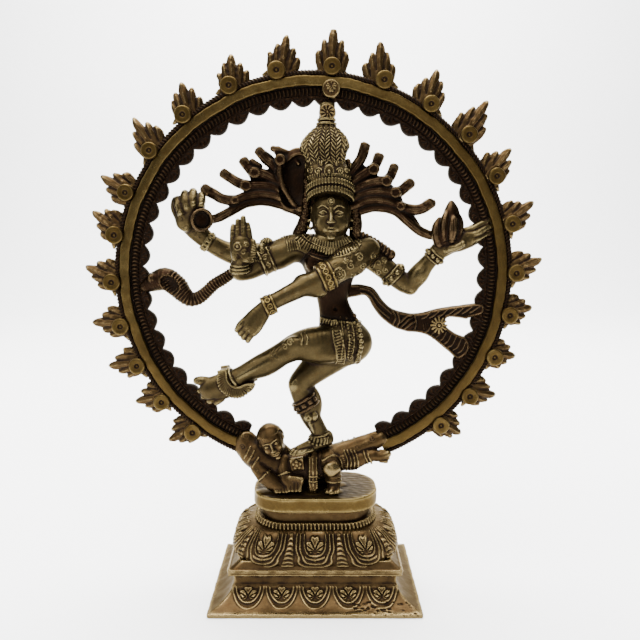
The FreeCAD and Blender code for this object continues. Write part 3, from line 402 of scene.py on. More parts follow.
def surface(f, h):
    """Vertices (in voxels) and faces of the zero surface of a field."""
    f = np.pad(f, 2, constant_values=F32(3 * h))
    if vdb is not None:
        g = vdb.FloatGrid(background=3 * h)
        g.copyFromArray(np.ascontiguousarray(np.clip(f, -3 * h, 3 * h), dtype=F32))
        pts, tris, quads = g.convertToPolygons(0.0, 0.0)
        return np.asarray(pts, float) - 2, np.asarray(quads, int), np.asarray(tris, int)
    ins = f < 0
    n = f.shape
    c = ins[:-1, :-1, :-1].astype(np.int8)
    tot = np.zeros_like(c)
    acc = np.zeros(c.shape + (3,), F32)
    cnt = np.zeros(c.shape, F32)
    for ax in range(3):
        for da in (0, 1):
            for db in (0, 1):
                o = [0, 0, 0]
                b = [q for q in range(3) if q != ax]
                o[b[0]], o[b[1]] = da, db
                p = list(o)
                p[ax] = 1
                A = f[o[0]:n[0] - 1 + o[0], o[1]:n[1] - 1 + o[1], o[2]:n[2] - 1 + o[2]]
                B = f[p[0]:n[0] - 1 + p[0], p[1]:n[1] - 1 + p[1], p[2]:n[2] - 1 + p[2]]
                x = (A < 0) != (B < 0)
                t = np.where(x, A / np.where(x, A - B, 1), 0)
                cnt += x
                for q in range(3):
                    acc[..., q] += np.where(x, t if q == ax else F32(o[q]), 0)
    ok = cnt > 0
    ids = np.full(c.shape, -1, int)
    ids[ok] = np.arange(ok.sum())
    pos = np.argwhere(ok) + acc[ok] / cnt[ok][:, None]
    quads = []
    for ax in range(3):
        a = [slice(1, -1)] * 3
        b = [slice(1, -1)] * 3
        a[ax], b[ax] = slice(1, -2), slice(2, -1)
        A, B = ins[tuple(a)], ins[tuple(b)]
        for flip in (False, True):
            w = np.argwhere((A & ~B) if not flip else (~A & B)) + 1
            o1, o2 = [np.eye(3, dtype=int)[q] for q in range(3) if q != ax]
            q4 = [w - o1 - o2, w - o2, w, w - o1]
            if (ax == 1) != flip:
                q4 = q4[::-1]
            quads.append(np.stack([ids[tuple(v.T)] for v in q4], 1))
    q = np.concatenate(quads)
    return pos - 2, q[(q >= 0).all(1)], np.zeros((0, 3), int)


BUILT = []


def make_object(name, verts_mm, faces, mat, nodes, cav=None, smooth=True):
    me = bpy.data.meshes.new(name)
    v = np.asarray(verts_mm, float) * 0.001
    if isinstance(faces, tuple):
        quads, tris = faces
        nv = len(v)
        me.vertices.add(nv)
        me.vertices.foreach_set("co", v.ravel())
        loops = np.concatenate([quads.ravel(), tris.ravel()])
        me.loops.add(len(loops))
        me.loops.foreach_set("vertex_index", loops)
        starts = np.concatenate([np.arange(len(quads)) * 4, len(quads) * 4 + np.arange(len(tris)) * 3])
        me.polygons.add(len(starts))
        me.polygons.foreach_set("loop_start", starts)
        me.update(calc_edges=True)
        me.validate()
    else:
        me.from_pydata([tuple(p) for p in v], [], [tuple(int(i) for i in q) for q in faces])
        me.update()
    if smooth:
        me.polygons.foreach_set("use_smooth", np.ones(len(me.polygons), bool))
    ob = bpy.data.objects.new(name, me)
    bpy.context.scene.collection.objects.link(ob)
    me.materials.append(mat)
    if cav is None:
        cav = np.full(len(me.vertices), 0.5)
    at = me.attributes.new("cav", "FLOAT", "POINT")
    at.data.foreach_set("value", np.asarray(cav, F32))
    nodes = [n for n in nodes if n in HAVE]
    if nodes:
        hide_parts(*nodes)
    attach(ob, "root")
    BUILT.append(ob)
    return ob


def cast(name, clay, mat, nodes, cut=None, cav_r=0.75, tint=None):
    """Meshes a clay, or the part of it inside the field cut, as one piece."""
    f = clay.f if cut is None else np.maximum(clay.f, cut)
    lo = clay.lo
    ins = f < 0
    if not ins.any():
        print("empty", name)
        return None
    sl = []
    for ax in range(3):
        other = tuple(q for q in range(3) if q != ax)
        w = np.nonzero(ins.any(axis=other))[0]
        sl.append(slice(max(w[0] - 3, 0), min(w[-1] + 4, f.shape[ax])))
    off = np.array([q.start for q in sl])
    f = f[tuple(sl)]
    base = clay.f[tuple(sl)]
    pts, quads, tris = surface(f, clay.h)
    # cav: how enclosed each point is, at a near and a far scale. The brass paints shade where cav is high (partly
    # patina) and highlight where it is low (partly wear). tint shifts cav per piece.
    occ = np.clip(0.5 - base / F32(1.6 * clay.h), 0, 1)
    r1 = max(1, int(round(cav_r / clay.h)))
    near = sample(blur(occ, r1), pts)
    far = sample(blur(occ, max(2, int(round(2.4 * cav_r / clay.h)))), pts)
    cav = 0.5 + (near - 0.5) * 1.5 + (far - 0.47) * 0.8
    P = lo + (off + pts) * clay.h
    if tint is not None:
        cav = cav + tint(P)
    ob = make_object(name, P, (quads, tris), mat, nodes, cav)
    print("%-22s %7d faces %5.1f s" % (name, len(quads) + len(tris), time.time() - T0))
    return ob


# ------------------------------------------------------------------ brass
def brass(name, dark, mid, bright, wear_highlight=1.0, low=0.0, rough=(0.62, 0.40, 0.27), metal=(0.55, 0.96), red=0.35, streak=0.0):
    """Patinated brass. cav is 0.5 on flat metal, more in hollows and less on edges: hollows go dark, partly patina and
    partly painted shade, and edges go bright, partly wear and partly painted highlight.
    """
    m = bpy.data.materials.new(name)
    m.use_nodes = True
    nt = m.node_tree
    N, L = nt.nodes, nt.links
    bs = N["Principled BSDF"]
    tc = N.new("ShaderNodeTexCoord")

    def math_(op, a, b=None, clamp=False):
        n = N.new("ShaderNodeMath")
        n.operation = op
        n.use_clamp = clamp
        for i, v in enumerate((a, b)):
            if v is None:
                continue
            if hasattr(v, "is_linked"):
                L.new(v, n.inputs[i])
            else:
                n.inputs[i].default_value = v
        return n.outputs[0]

    def noise(scale, detail=3.0, rough_=0.55, dist=0.0):
        n = N.new("ShaderNodeTexNoise")
        n.inputs["Scale"].default_value = scale
        n.inputs["Detail"].default_value = detail
        n.inputs["Roughness"].default_value = rough_
        n.inputs["Distortion"].default_value = dist
        L.new(tc.outputs["Object"], n.inputs["Vector"])
        return n.outputs["Fac"]

    def ranged(v, a, b, c=0.0, d=1.0, smooth=True):
        n = N.new("ShaderNodeMapRange")
        n.interpolation_type = "SMOOTHSTEP" if smooth else "LINEAR"
        n.inputs["From Min"].default_value = a
        n.inputs["From Max"].default_value = b
        n.inputs["To Min"].default_value = c
        n.inputs["To Max"].default_value = d
        L.new(v, n.inputs["Value"])
        return n.outputs["Result"]

    def mix(fac, a, b, kind="MIX"):
        n = N.new("ShaderNodeMix")
        n.data_type = "RGBA"
        n.blend_type = kind
        for sock, v in ((n.inputs[0], fac), (n.inputs[6], a), (n.inputs[7], b)):
            if hasattr(v, "is_linked"):
                L.new(v, sock)
            elif isinstance(v, (int, float)):
                sock.default_value = v
            else:
                sock.default_value = (*v, 1.0)
        return n.outputs[2]

    at = N.new("ShaderNodeAttribute")
    at.attribute_name = "cav"
    cav = at.outputs["Fac"]
    # deep: a painted occlusion shade between parts, darkening the colour. No piece here is given this attribute, so it
    # reads 0.
    ao_n = N.new("ShaderNodeAttribute")
    ao_n.attribute_name = "deep"
    deep = ao_n.outputs["Fac"]
    big, small, fine = noise(55.0, 4.0, 0.6, 0.6), noise(330.0, 4.0, 0.62), noise(1500.0, 2.0, 0.5)
    j = math_("ADD", cav, math_("MULTIPLY", math_("SUBTRACT", small, 0.5), 0.16))
    j = math_("ADD", j, math_("MULTIPLY", math_("SUBTRACT", big, 0.5), 0.10))
    j = math_("ADD", j, math_("MULTIPLY", deep, 0.16))
    j = math_("ADD", j, low)
    # hollow: high cav turns the colour dark, partly patina and partly painted shade. Low cav turns edges bright, partly
    # wear and partly painted highlight.
    hollow = ranged(j, 0.52, 0.70)
    wear_and_highlight = math_("MULTIPLY", ranged(j, 0.45, 0.24), wear_highlight, True)
    body = mix(ranged(big, 0.35, 0.7), mid, [c * s for c, s in zip(mid, (0.80, 0.78, 0.80))])
    warm = mix(math_("MULTIPLY", ranged(small, 0.52, 0.72), red), body, [mid[0] * 0.92, mid[1] * 0.66, mid[2] * 0.46])
    col = mix(wear_and_highlight, warm, bright)
    col = mix(hollow, col, dark)
    # painted occlusion shade from deep (0 here)
    col = mix(math_("MULTIPLY", deep, 0.75, True), col, [c * 0.55 for c in dark])
    grit = ranged(fine, 0.3, 0.75, 0.82, 1.12, False)
    g = N.new("ShaderNodeVectorMath")
    g.operation = "SCALE"
    L.new(col, g.inputs[0])
    L.new(grit, g.inputs["Scale"])
    L.new(g.outputs[0], bs.inputs["Base Color"])
    r = math_("ADD", ranged(j, 0.36, 0.50, rough[2], rough[1]), ranged(j, 0.52, 0.72, 0.0, rough[0] - rough[1]))
    r = math_("ADD", r, math_("MULTIPLY", math_("SUBTRACT", small, 0.5), 0.22), True)
    L.new(r, bs.inputs["Roughness"])
    mt = ranged(j, 0.50, 0.74, metal[1], metal[0])
    L.new(mt, bs.inputs["Metallic"])
    bs.inputs["IOR"].default_value = 1.45
    bs.inputs["Specular IOR Level"].default_value = 0.18
    bs.inputs["Specular Tint"].default_value = (0.72, 0.67, 0.58, 1.0)
    b1 = N.new("ShaderNodeBump")
    b1.inputs["Strength"].default_value = 0.55
    b1.inputs["Distance"].default_value = 0.00016
    L.new(small, b1.inputs["Height"])
    b2 = N.new("ShaderNodeBump")
    b2.inputs["Strength"].default_value = 0.35
    b2.inputs["Distance"].default_value = 0.00005
    L.new(fine, b2.inputs["Height"])
    L.new(b1.outputs["Normal"], b2.inputs["Normal"])
    last = b2
    if streak:
        w = N.new("ShaderNodeTexNoise")
        mp = N.new("ShaderNodeMapping")
        mp.inputs["Scale"].default_value = (1.0, 1.0, 9.0)
        mp.inputs["Rotation"].default_value = (0.0, 0.5, 0.0)
        L.new(tc.outputs["Object"], mp.inputs["Vector"])
        L.new(mp.outputs["Vector"], w.inputs["Vector"])
        w.inputs["Scale"].default_value = 420.0
        w.inputs["Detail"].default_value = 3.0
        b3 = N.new("ShaderNodeBump")
        b3.inputs["Strength"].default_value = streak
        b3.inputs["Distance"].default_value = 0.00008
        L.new(w.outputs["Fac"], b3.inputs["Height"])
        L.new(b2.outputs["Normal"], b3.inputs["Normal"])
        last = b3
    L.new(last.outputs["Normal"], bs.inputs["Normal"])
    return m


# DARK is the hollow colour (patina and painted shade). BRIGHT is the edge colour (wear and painted highlight).
DARK, MID, BRIGHT = (0.009, 0.0045, 0.0022), (0.040, 0.0245, 0.0100), (0.15, 0.108, 0.046)
M_CAST = brass("patinated_brass", DARK, MID, BRIGHT, wear_highlight=0.8)
M_FIG = brass("figure_brass", DARK, (0.040, 0.029, 0.0120), (0.145, 0.112, 0.050), wear_highlight=0.65, low=0.0)
M_DARK = brass("dark_brass", (0.004, 0.002, 0.001), (0.0095, 0.0048, 0.0025), (0.080, 0.052, 0.025), wear_highlight=0.5, low=0.02)
M_POL = brass("polished_brass", DARK, (0.046, 0.029, 0.0085), (0.115, 0.082, 0.030), low=-0.02, rough=(0.60, 0.38, 0.30), red=0.25, streak=0.4)
M_STEEL = bpy.data.materials.new("steel")
M_STEEL.use_nodes = True
_b = M_STEEL.node_tree.nodes["Principled BSDF"]
_b.inputs["Metallic"].default_value = 1.0
_b.inputs["Base Color"].default_value = (0.50, 0.50, 0.49, 1)
_n = M_STEEL.node_tree.nodes.new("ShaderNodeTexNoise")
_n.inputs["Scale"].default_value = 700.0
_r = M_STEEL.node_tree.nodes.new("ShaderNodeMapRange")
_r.inputs["To Min"].default_value = 0.3
_r.inputs["To Max"].default_value = 0.5
M_STEEL.node_tree.links.new(_n.outputs["Fac"], _r.inputs["Value"])
M_STEEL.node_tree.links.new(_r.outputs["Result"], _b.inputs["Roughness"])


# ------------------------------------------------------------------ pedestal
def rrect(X, Y, w, d, r):
    qx, qy = np.abs(X) - w + r, np.abs(Y) - d + r
    return np.sqrt(np.maximum(qx, 0) ** 2 + np.maximum(qy, 0) ** 2) + np.minimum(np.maximum(qx, qy), 0) - r


def palmette(u, v, sc=1.0):
    """A fan of stout leaves opening upwards from a low middle point, in millimetres, v downwards."""
    a = np.abs(u) / F32(sc)
    h = F32(2.4) - v / F32(sc)
    r = np.sqrt(a * a + h * h)
    ph_ = np.arctan2(a, h) - F32(0.085) * (r - F32(2.4))
    k = np.clip(np.round(ph_ / F32(0.56)), 0, 3)
    d = np.abs(ph_ - k * F32(0.56))
    leaf = step((F32(0.28) - d) * r, 0.04, 0.32) * step(F32(4.9) - F32(0.68) * k - r - F32(0.9) * (d * r) ** 2, 0.0, 0.45)
    vein = F32(0.35) * bump(d * r, 0, 0.22) * step(r, 1.6, 2.4)
    stem = bump(a, 0, 0.6) * step(-h, 0.2, 0.7) * step(h + F32(1.7), 0.0, 0.4)
    return np.clip(np.maximum(leaf - vein, stem), 0, 1)


# foot: slab edge, hollow-curved cyma with drooping petals, recessed neck, top slab
H = 0.34
c = Clay((-57.5, -39.7, -0.9), (57.5, 39.7, 25.4), H)
X, Y, Z = c.at((slice(None),) * 3)
zz = c.ax[2].astype(float)
t = np.clip((zz - 2.0) / 9.1, 0, 1)
inset = 11.5 * (1 - (1 - t) ** 1.9) ** 0.82
inset = np.where(zz < 2.0, 0.25 * np.clip((0.5 - zz) / 0.5, 0, 1), inset + 0.35 * (zz > 2.0))
inset = np.where(zz > 11.2, 12.2, inset)
inset = np.where(zz > 12.0, 12.6, inset)
hw, hd = 55.75 - inset, 38.0 - inset
hw = np.where(zz > 17.3, 45.9, hw)
hd = np.where(zz > 17.3, 27.8, hd)
w3, d3 = hw.astype(F32)[None, None, :], hd.astype(F32)[None, None, :]
slope = np.clip(np.abs(np.gradient(inset, zz)), 0, 3.0)
soft = (1 / np.sqrt(1 + slope ** 2)).astype(F32)[None, None, :]
body = rrect(X, Y, w3, d3, F32(1.0)) * np.where((Z > 2.0) & (Z < 11.0), np.maximum(soft, 0.55), F32(1))
rel = np.zeros((c.n[0], 1, c.n[2]), F32)
x2, z2 = X[:, :, 0][:, :, None], Z
for k, xc in enumerate((-35.2, -17.6, 0.0, 17.6, 35.2)):
    u = X - F32(xc)
    vv = (F32(11.0) - Z)
    Lq = (np.abs(u / F32(8.3)) ** 2.3 + np.clip((vv + 1.0) / F32(8.7), 0, 2) ** 2.6) ** F32(1 / 2.3)
    on = ((Z > 2.3) & (Z < 11.2)).astype(F32)
    one = 0.55 * bump(Lq, 0.985, 0.10) + 0.8 * bump(Lq, 0.77, 0.10)
    one = one + 1.1 * palmette(u * F32(0.64), vv - F32(2.3), 1.04) * step(Lq, 0.70, 0.64)
    rel = np.maximum(rel, one * on * (np.abs(u) < 9.2))
yface = step(np.abs(Y), 20.0, 24.0)
face_mask = (np.abs(Y) > d3 - 3.2) & (np.abs(X) < w3 + 0.6)
body = body - rel * face_mask * F32(0.95)
body = body + rough(0.10, 9, 1)(X, Y, Z) * 0.8
body = np.maximum(body, np.abs(Z - F32(10.25)) - F32(10.25))
skirt = np.maximum(rrect(X, Y, F32(45.1) - (Z - F32(20.4)) * F32(1.3), F32(27.1) - (Z - F32(20.4)) * F32(0.75), F32(3.0)) * F32(0.62), np.abs(Z - F32(21.6)) - F32(2.6))
body = smin(body, skirt.astype(F32), F32(0.3))
# tool marks and dents along the lower right edge
dents = []
for _ in range(46):
    x0 = rng.uniform(20, 55)
    z0 = rng.uniform(1.5, 5.0)
    y0 = -38 + np.interp(z0, zz, inset)
    dents.append(ell((x0, y0 - 0.1, z0), (rng.uniform(0.5, 1.5), 0.36, rng.uniform(0.3, 0.8)), rot("y", rng.uniform(-30, 30))))
wi = np.interp(zz, [0, 11.1, 30], [48.0, 40.0, 40.0]).astype(F32)[None, None, :]
di = np.interp(zz, [0, 11.1, 30], [30.0, 22.0, 22.0]).astype(F32)[None, None, :]
c.f = np.maximum(body, -rrect(X, Y, wi, di, F32(3.0))).astype(F32)
for q in dents:
    c.do(q, 0.25, "-")
cast("pedestal_foot", c, M_CAST, ["pedestal_foot"], tint=lambda P: np.where(P[:, 2] < 12.5, -0.055, 0.0))

# lotus dome
c = Clay((-47.6, -29.4, 20.0), (47.6, 29.4, 40.4), H)
X, Y, Z = c.at((slice(None),) * 3)
zz = c.ax[2].astype(float)


def dome_w(z):
    t = np.clip((z - 26.5) / 13.4, 0, 1)
    b = np.clip((26.5 - z) / 6.0, 0, 1)
    return 32.2 + 12.6 * np.sqrt(1 - t ** 2.0) - 3.4 * b ** 1.7


def dome_d(z):
    t = np.clip((z - 26.5) / 13.4, 0, 1)
    b = np.clip((26.5 - z) / 6.0, 0, 1)
    return 19.6 + 7.4 * np.sqrt(1 - t ** 2.0) - 1.6 * b ** 1.7


w3 = dome_w(zz).astype(F32)[None, None, :]
d3 = dome_d(zz).astype(F32)[None, None, :]
r3 = np.interp(zz, [20, 28, 40], [20.0, 19.0, 19.0]).astype(F32)[None, None, :]
soft = np.interp(zz, [20, 30, 36, 38.5, 40], [1, 0.85, 0.62, 0.42, 0.3]).astype(F32)[None, None, :]
body = rrect(X, Y, w3, d3, r3) * soft
# perimeter coordinate from the front centre line, and the height down from the bead row
cw, cd, rr = F32(27.0), F32(9.0), F32(18.0)
ax_, ay_ = np.abs(X), np.abs(Y)
ph = np.arctan2(np.maximum(ax_ - cw, 0), np.maximum(ay_ - cd, 1e-4))
sq = np.minimum(ax_, cw) + rr * ph + (cd - np.minimum(ay_, cd))
sq = np.where(Y < 0, sq, F32(128.55) - sq)
P = F32(25.71)
v = (F32(39.6) - Z)
sq = sq / (F32(0.95) + F32(0.0105) * v)
u = np.abs(sq - P * np.round(sq / P))
uu = u
shell = body > -2.6
flare = F32(1.0) - F32(0.10) * bump(v, 11.5, 4.5) + F32(0.16) * step(v, 12.5, 17.0)
Lq = ((uu / (F32(10.1) * flare)) ** 2.2 + (np.clip(v - 1.0, 0, 40) / F32(17.6)) ** 3.4) ** F32(1 / 2.2)
one = 0.85 * bump(Lq, 0.97, 0.085) + 0.9 * bump(Lq, 0.78, 0.08)
# ogee foot of each petal with two curls, palmette high up inside
cup = ((uu / F32(6.0)) ** 2.4 + (np.clip(v - 1.0, 0, 40) / F32(10.6)) ** 2.6) ** F32(1 / 2.4)
low = step(v, 9.9, 10.8)
curls = bump(v - F32(13.2) + F32(0.062) * uu * uu, 0, 0.95) * step(F32(6.4) - uu, 0, 0.8)
curls = np.maximum(curls, 0.9 * bump(v - F32(15.6) + F32(0.085) * uu * uu, 0, 0.75) * step(F32(5.2) - uu, 0, 0.8))
curls = np.maximum(curls, bump(uu, 0, 1.1) * bump(v, 13.4, 3.0))
one = np.where(Lq < 0.68, np.maximum(curls * low, 0.95 * bump(cup, 0.97, 0.085)), one)
one = np.where(cup < 0.86, 1.1 * palmette(uu, v - F32(5.1), 1.66) * step(cup, 0.86, 0.80), one)
# stacked chevrons between petals
q = (P * F32(0.5) - uu)
wcol = F32(1.1) + F32(0.115) * v
incol = step(wcol - np.abs(q), 0.0, 0.35) * (v > 0.8) * (v < 17.4)
chev = 0.5 + 0.5 * np.cos((v * F32(2.6) + (q / wcol) ** 2 * F32(-2.1)))
col_ = incol * (0.25 + 0.85 * chev)
one = np.where(incol > 0.01, col_, one)
one = one * step(v, 0.0, 0.8) * step(F32(18.6) - v, 0.0, 0.8)
body = body - shell * one * F32(0.85)
body = body + rough(0.10, 7, 2)(X, Y, Z) * 0.8
body = np.maximum(body, np.abs(Z - F32(30.1)) - F32(9.6))
body = np.maximum(body, -np.maximum(rrect(X, Y, np.minimum(w3 - 4.0, F32(36.0)), np.minimum(d3 - 5.0, F32(22.0)), F32(12.0)), Z - F32(34.5)))
c.f = body.astype(F32)
c.do(cyl((0, 0, 37), 4.3, 6.0), 0, "-")
cast("lotus_dome", c, M_CAST, ["lotus_dome"], tint=lambda P: -0.035)

# bead row of short upright rods round the neck
c = Clay((-35.4, -22.8, 37.4), (35.4, 22.8, 43.6), 0.27)
X, Y, Z = c.at((slice(None),) * 3)
cw, cd, rr = F32(15.0), F32(2.5), F32(17.5)
ph = np.arctan2(np.maximum(np.abs(X) - cw, 0), np.maximum(np.abs(Y) - cd, 1e-4))
sq = np.minimum(np.abs(X), cw) + rr * ph + (cd - np.minimum(np.abs(Y), cd))
tot = 15.0 + 17.5 * math.pi / 2 + 2.5
sq = np.where(Y < 0, sq, F32(2 * tot) - sq)
npr = 44
ribs = np.cos(sq * F32(2 * math.pi * npr / (2 * tot)))
tz = (Z - F32(40.5)) / F32(2.4)
outer = rrect(X, Y, F32(33.2), F32(20.8), F32(18.3)) + F32(1.0) * tz * tz - F32(0.62) * ribs * (1 - 0.5 * tz * tz)
f = np.maximum(outer, np.abs(Z - F32(40.5)) - F32(2.4))
c.f = np.maximum(f, -rrect(X, Y, F32(25.6), F32(14.2), F32(12.8))).astype(F32)
cast("bead_row", c, M_CAST, ["bead_row"])

# oval neck and plinth
c = Clay((-31.4, -19.4, 38.2), (31.4, 19.4, 49.4), 0.35)
X, Y, Z = c.at((slice(None),) * 3)
pin = F32(0.9) * (1 - ((Z - F32(45.0)) / F32(4.2)) ** 2)
f = rrect(X, Y, F32(29.8), F32(17.6), F32(15.6)) + np.clip(pin, 0, 1) * 0.6 + rough(0.12, 8, 3)(X, Y, Z)
f = np.maximum(f, np.abs(Z - F32(43.9)) - F32(4.9))
c.f = np.maximum(f, -(np.sqrt(X * X + Y * Y) - F32(4.3))).astype(F32)
cast("plinth_neck", c, M_CAST, ["plinth_neck"])

c = Clay((-35.2, -21.4, 47.9), (35.2, 21.4, 58.6), 0.3)
X, Y, Z = c.at((slice(None),) * 3)
lip = np.clip(np.abs(Z - F32(52.6)) - F32(3.1), 0, 1) ** 2 * 0.55
f = rrect(X, Y, F32(33.85), F32(20.0), F32(17.2)) + lip + rough(0.08, 10, 4)(X, Y, Z)
top = Z - F32(56.5) + rough(0.05, 4, 5)(X, Y, Z)
f = np.maximum(np.maximum(f, top), F32(48.7) - Z)
c.f = f.astype(F32)
# fillets of metal where the little figure's limbs run into the plinth
for p in ((-27, -9.5), (-21, -10), (-11, -10.5), (-1.2, -11), (10, -9.5), (-20, -2), (-8, -3), (2, -2), (12, 0)):
    c.do(ell((p[0], p[1], 56.3), (4.6, 3.4, 0.9)), 1.5)
c.do(cyl((0, 0, 49), 4.0, 4.6), 0, "-")
cast("oval_plinth", c, M_POL, ["oval_plinth"], tint=lambda P: 0.13 * np.clip((P[:, 2] - 55.6) / 0.9, 0, 1) * np.clip((19.6 - np.hypot(P[:, 1], np.maximum(np.abs(P[:, 0]) - 14, 0))) / 0.8, 0, 1))


# ------------------------------------------------------------------ ring, swept round its centre
CX, CZ = -0.8, 172.7
A0, A1 = math.radians(-68.0), math.radians(247.5)


def wob(th, amp=0.35, seed=3):
    r = np.random.RandomState(seed)
    o = 0
    for k in (2, 3, 5, 9, 14):
        o = o + amp * r.uniform(-1, 1) / math.sqrt(k) * np.sin(k * th + r.uniform(0, 6.28))
    return o


def sweep(name, th, R, Yv, mat, nodes, cav):
    """th (n), R and Yv (n, m): a closed section carried round the ring, with end caps."""
    n, m = R.shape
    R = R + wob(th)[:, None]
    x = CX + R * np.cos(th)[:, None]
    z = CZ + R * np.sin(th)[:, None]
    v = np.stack([x, Yv, z], -1).reshape(-1, 3)
    i = np.arange(n - 1)[:, None] * m
    j = np.arange(m)[None, :]
    k = (j + 1) % m
    quads = np.stack([i + j, i + k, i + m + k, i + m + j], -1).reshape(-1, 4)
    faces = quads
    c0, c1 = v[:m].mean(0), v[-m:].mean(0)
    v = np.vstack([v, c0, c1])
    a, b = len(v) - 2, len(v) - 1
    tj = np.arange(m)
    tris = np.concatenate([np.stack([np.full(m, a), (tj + 1) % m, tj], -1), np.stack([np.full(m, b), (n - 1) * m + tj, (n - 1) * m + (tj + 1) % m], -1)])
    cav = np.r_[np.broadcast_to(cav, (n, m)).ravel(), 0.6, 0.6]
    return make_object(name, v, (faces, tris), mat, nodes, cav)


th = np.linspace(A0, A1, 1100)
# the polished flat band
prof = []
for (cxr, cy, a0) in ((101.9, -2.75, -90), (101.9, 2.75, 0), (98.2, 2.75, 90), (98.2, -2.75, 180)):
    for a in (0, 30, 60, 90):
        t = math.radians(a0 + a)
        prof.append((cxr + 0.75 * math.cos(t), cy + 0.75 * math.sin(t)))
prof = np.array(prof)
R = np.broadcast_to(prof[:, 0], (len(th), len(prof))).copy()
Yv = np.broadcast_to(prof[:, 1], (len(th), len(prof))).copy()
front = prof[:, 1] < -2.7
R += (0.12 * np.sin(th * 23 + 1) + 0.08 * np.sin(th * 51) + 0.05 * np.sin(th * 117 + 2))[:, None] * (np.abs(prof[:, 0] - 100) / 2)[None, :]
Yv += (0.05 * np.sin(th * 31) + 0.03 * np.sin(th * 77 + 1))[:, None] * front[None, :]
# Painted light on the band: sides and back a little darker and the rounded front corners lighter (painted shade,
# painted highlight). The lower half and right side are darker still, as painted shade.
cavp = 0.47 + 0.10 * (~front)[None, :] + 0.03 * np.sin(th * 9)[:, None]
cavp = np.where(((prof[:, 0] > 101.5) | (prof[:, 0] < 98.4))[None, :] & front[None, :], 0.40, cavp)
cavp = cavp + (0.09 * np.clip(-np.sin(th) * 1.3, 0, 1) + 0.05 * np.clip(np.cos(th) * 1.3, 0, 1))[:, None]
band = sweep("halo_band", th, R, Yv, M_POL, ["halo_ring"], cavp)

# the web: scalloped inner edge, engraved fan in every lobe, bed for the bead row
NL = 44
nth = 2000
th = np.linspace(A0, A1, nth)
lob = (th - A0 - math.radians(2.2)) / math.radians(311.0 / (NL - 1))
kk = np.clip(np.round(lob), 0, NL - 1)
dl = (lob - kk) * math.radians(311.0 / (NL - 1)) * 91.6
jit = 0.35 * np.sin(kk * 2.7) + 0.25 * np.sin(kk * 5.1 + 1)
rin = 87.5 + jit * 0.6 + 3.4 * (np.abs(dl) / 5.78) ** 2.1
ns = 26
sgrid = np.linspace(0, 1, ns)
Rf = rin[:, None] + (98.0 - rin)[:, None] * sgrid[None, :]
rho = np.hypot(Rf - 92.6, dl[:, None] * 0.85)
ang = np.arctan2(dl[:, None], 92.6 - Rf)
leafy = 0.5 + 0.5 * np.cos(ang * 8.0 + 0.9 * np.sin(rho * 2.1 + kk[:, None]))
relief = 0.35 * np.clip(1 - np.abs(Rf - rin[:, None] - 0.9) / 0.7, 0, 1) + (Rf - rin[:, None] > 1.2) * 0.62 * leafy * np.clip((rho - 0.6) / 1.4, 0, 1)
relief = relief * (Rf < 92.2)
relief = relief + 0.5 * np.clip(1 - np.abs(Rf - 92.3) / 0.5, 0, 1)
edge = np.clip(1 - sgrid / 0.08, 0, 1) ** 2 * 1.0
lowb = 0.35 * ((Rf > 92.6) & (Rf < 97.3))
yf = -(1.75 + relief - lowb) + edge[None, :] * 0.9
yb = np.broadcast_to(1.9 - edge[None, ::-1] * 0.7 + 0.12 * np.sin(Rf[:, ::-1] * 1.7 + 3 * np.sin(th * 37)[:, None]), yf.shape)
R = np.concatenate([Rf, Rf[:, ::-1]], 1)
Yv = np.concatenate([yf, yb], 1)
# cav for the web: raised relief lighter, recesses darker, and the bed under the bead row darkest, as painted shade,
# partly patina. The back is a flat 0.60.
cavf = 0.70 - 0.46 * relief
cavf = np.where(Rf > 92.8, 0.78, cavf)
cavw = np.concatenate([cavf, np.full_like(cavf, 0.60)], 1)
web = sweep("halo_scallops", th, R, Yv, M_DARK, [], cavw)

# curved bead ribs
nrib = 262
th = np.linspace(A0, A1, nrib * 8)
m = 14
phi = np.linspace(0, math.pi, m)
rr_ = 94.75 + 2.15 * np.cos(phi)
cur = 0.9 * (1 - ((rr_ - 94.75) / 2.15) ** 2)
w = np.cos((th[:, None] - A0) / (A1 - A0) * 2 * math.pi * nrib + cur[None, :] * 2.2)
hgt = (0.55 + 1.05 * (0.5 + 0.5 * w) ** 0.8) * np.sin(phi)[None, :] ** 0.7
Rb = np.broadcast_to(rr_, w.shape)
Yb = -1.35 - hgt
base_r = np.broadcast_to(np.array([92.6, 96.9])[None, :], (len(th), 2))
R = np.concatenate([Rb, base_r[:, :1], base_r[:, 1:]], 1)
Yv = np.concatenate([Yb, np.full((len(th), 2), -1.0)], 1)
# cav for the ribs: lighter on their crests (painted highlight, partly wear), darker between them and on the hidden base
# (painted shade).
cavb = np.concatenate([0.74 - 0.44 * (0.5 + 0.5 * w) * np.sin(phi)[None, :], np.full((len(th), 2), 0.8)], 1)
sweep("halo_beads", th, R[:, ::-1], Yv[:, ::-1], M_DARK, ["halo_beads"], cavb[:, ::-1])

# rope edge
th = np.linspace(A0, A1, 3300)
m = 14
phi = np.linspace(0, 2 * math.pi, m, endpoint=False)
tw = np.cos(4 * phi[None, :] - th[:, None] * 370)
rad = 1.75 + 0.34 * tw
R = 103.9 + rad * np.cos(phi)[None, :]
Yv = rad * np.sin(phi)[None, :] * 1.5 - 0.3
# cav: lighter on the crests of the twist and darker in its grooves, as painted highlight and painted shade.
sweep("halo_rope_edge", th, R, Yv, M_DARK, ["halo_rope_edge"], 0.56 - 0.26 * tw)


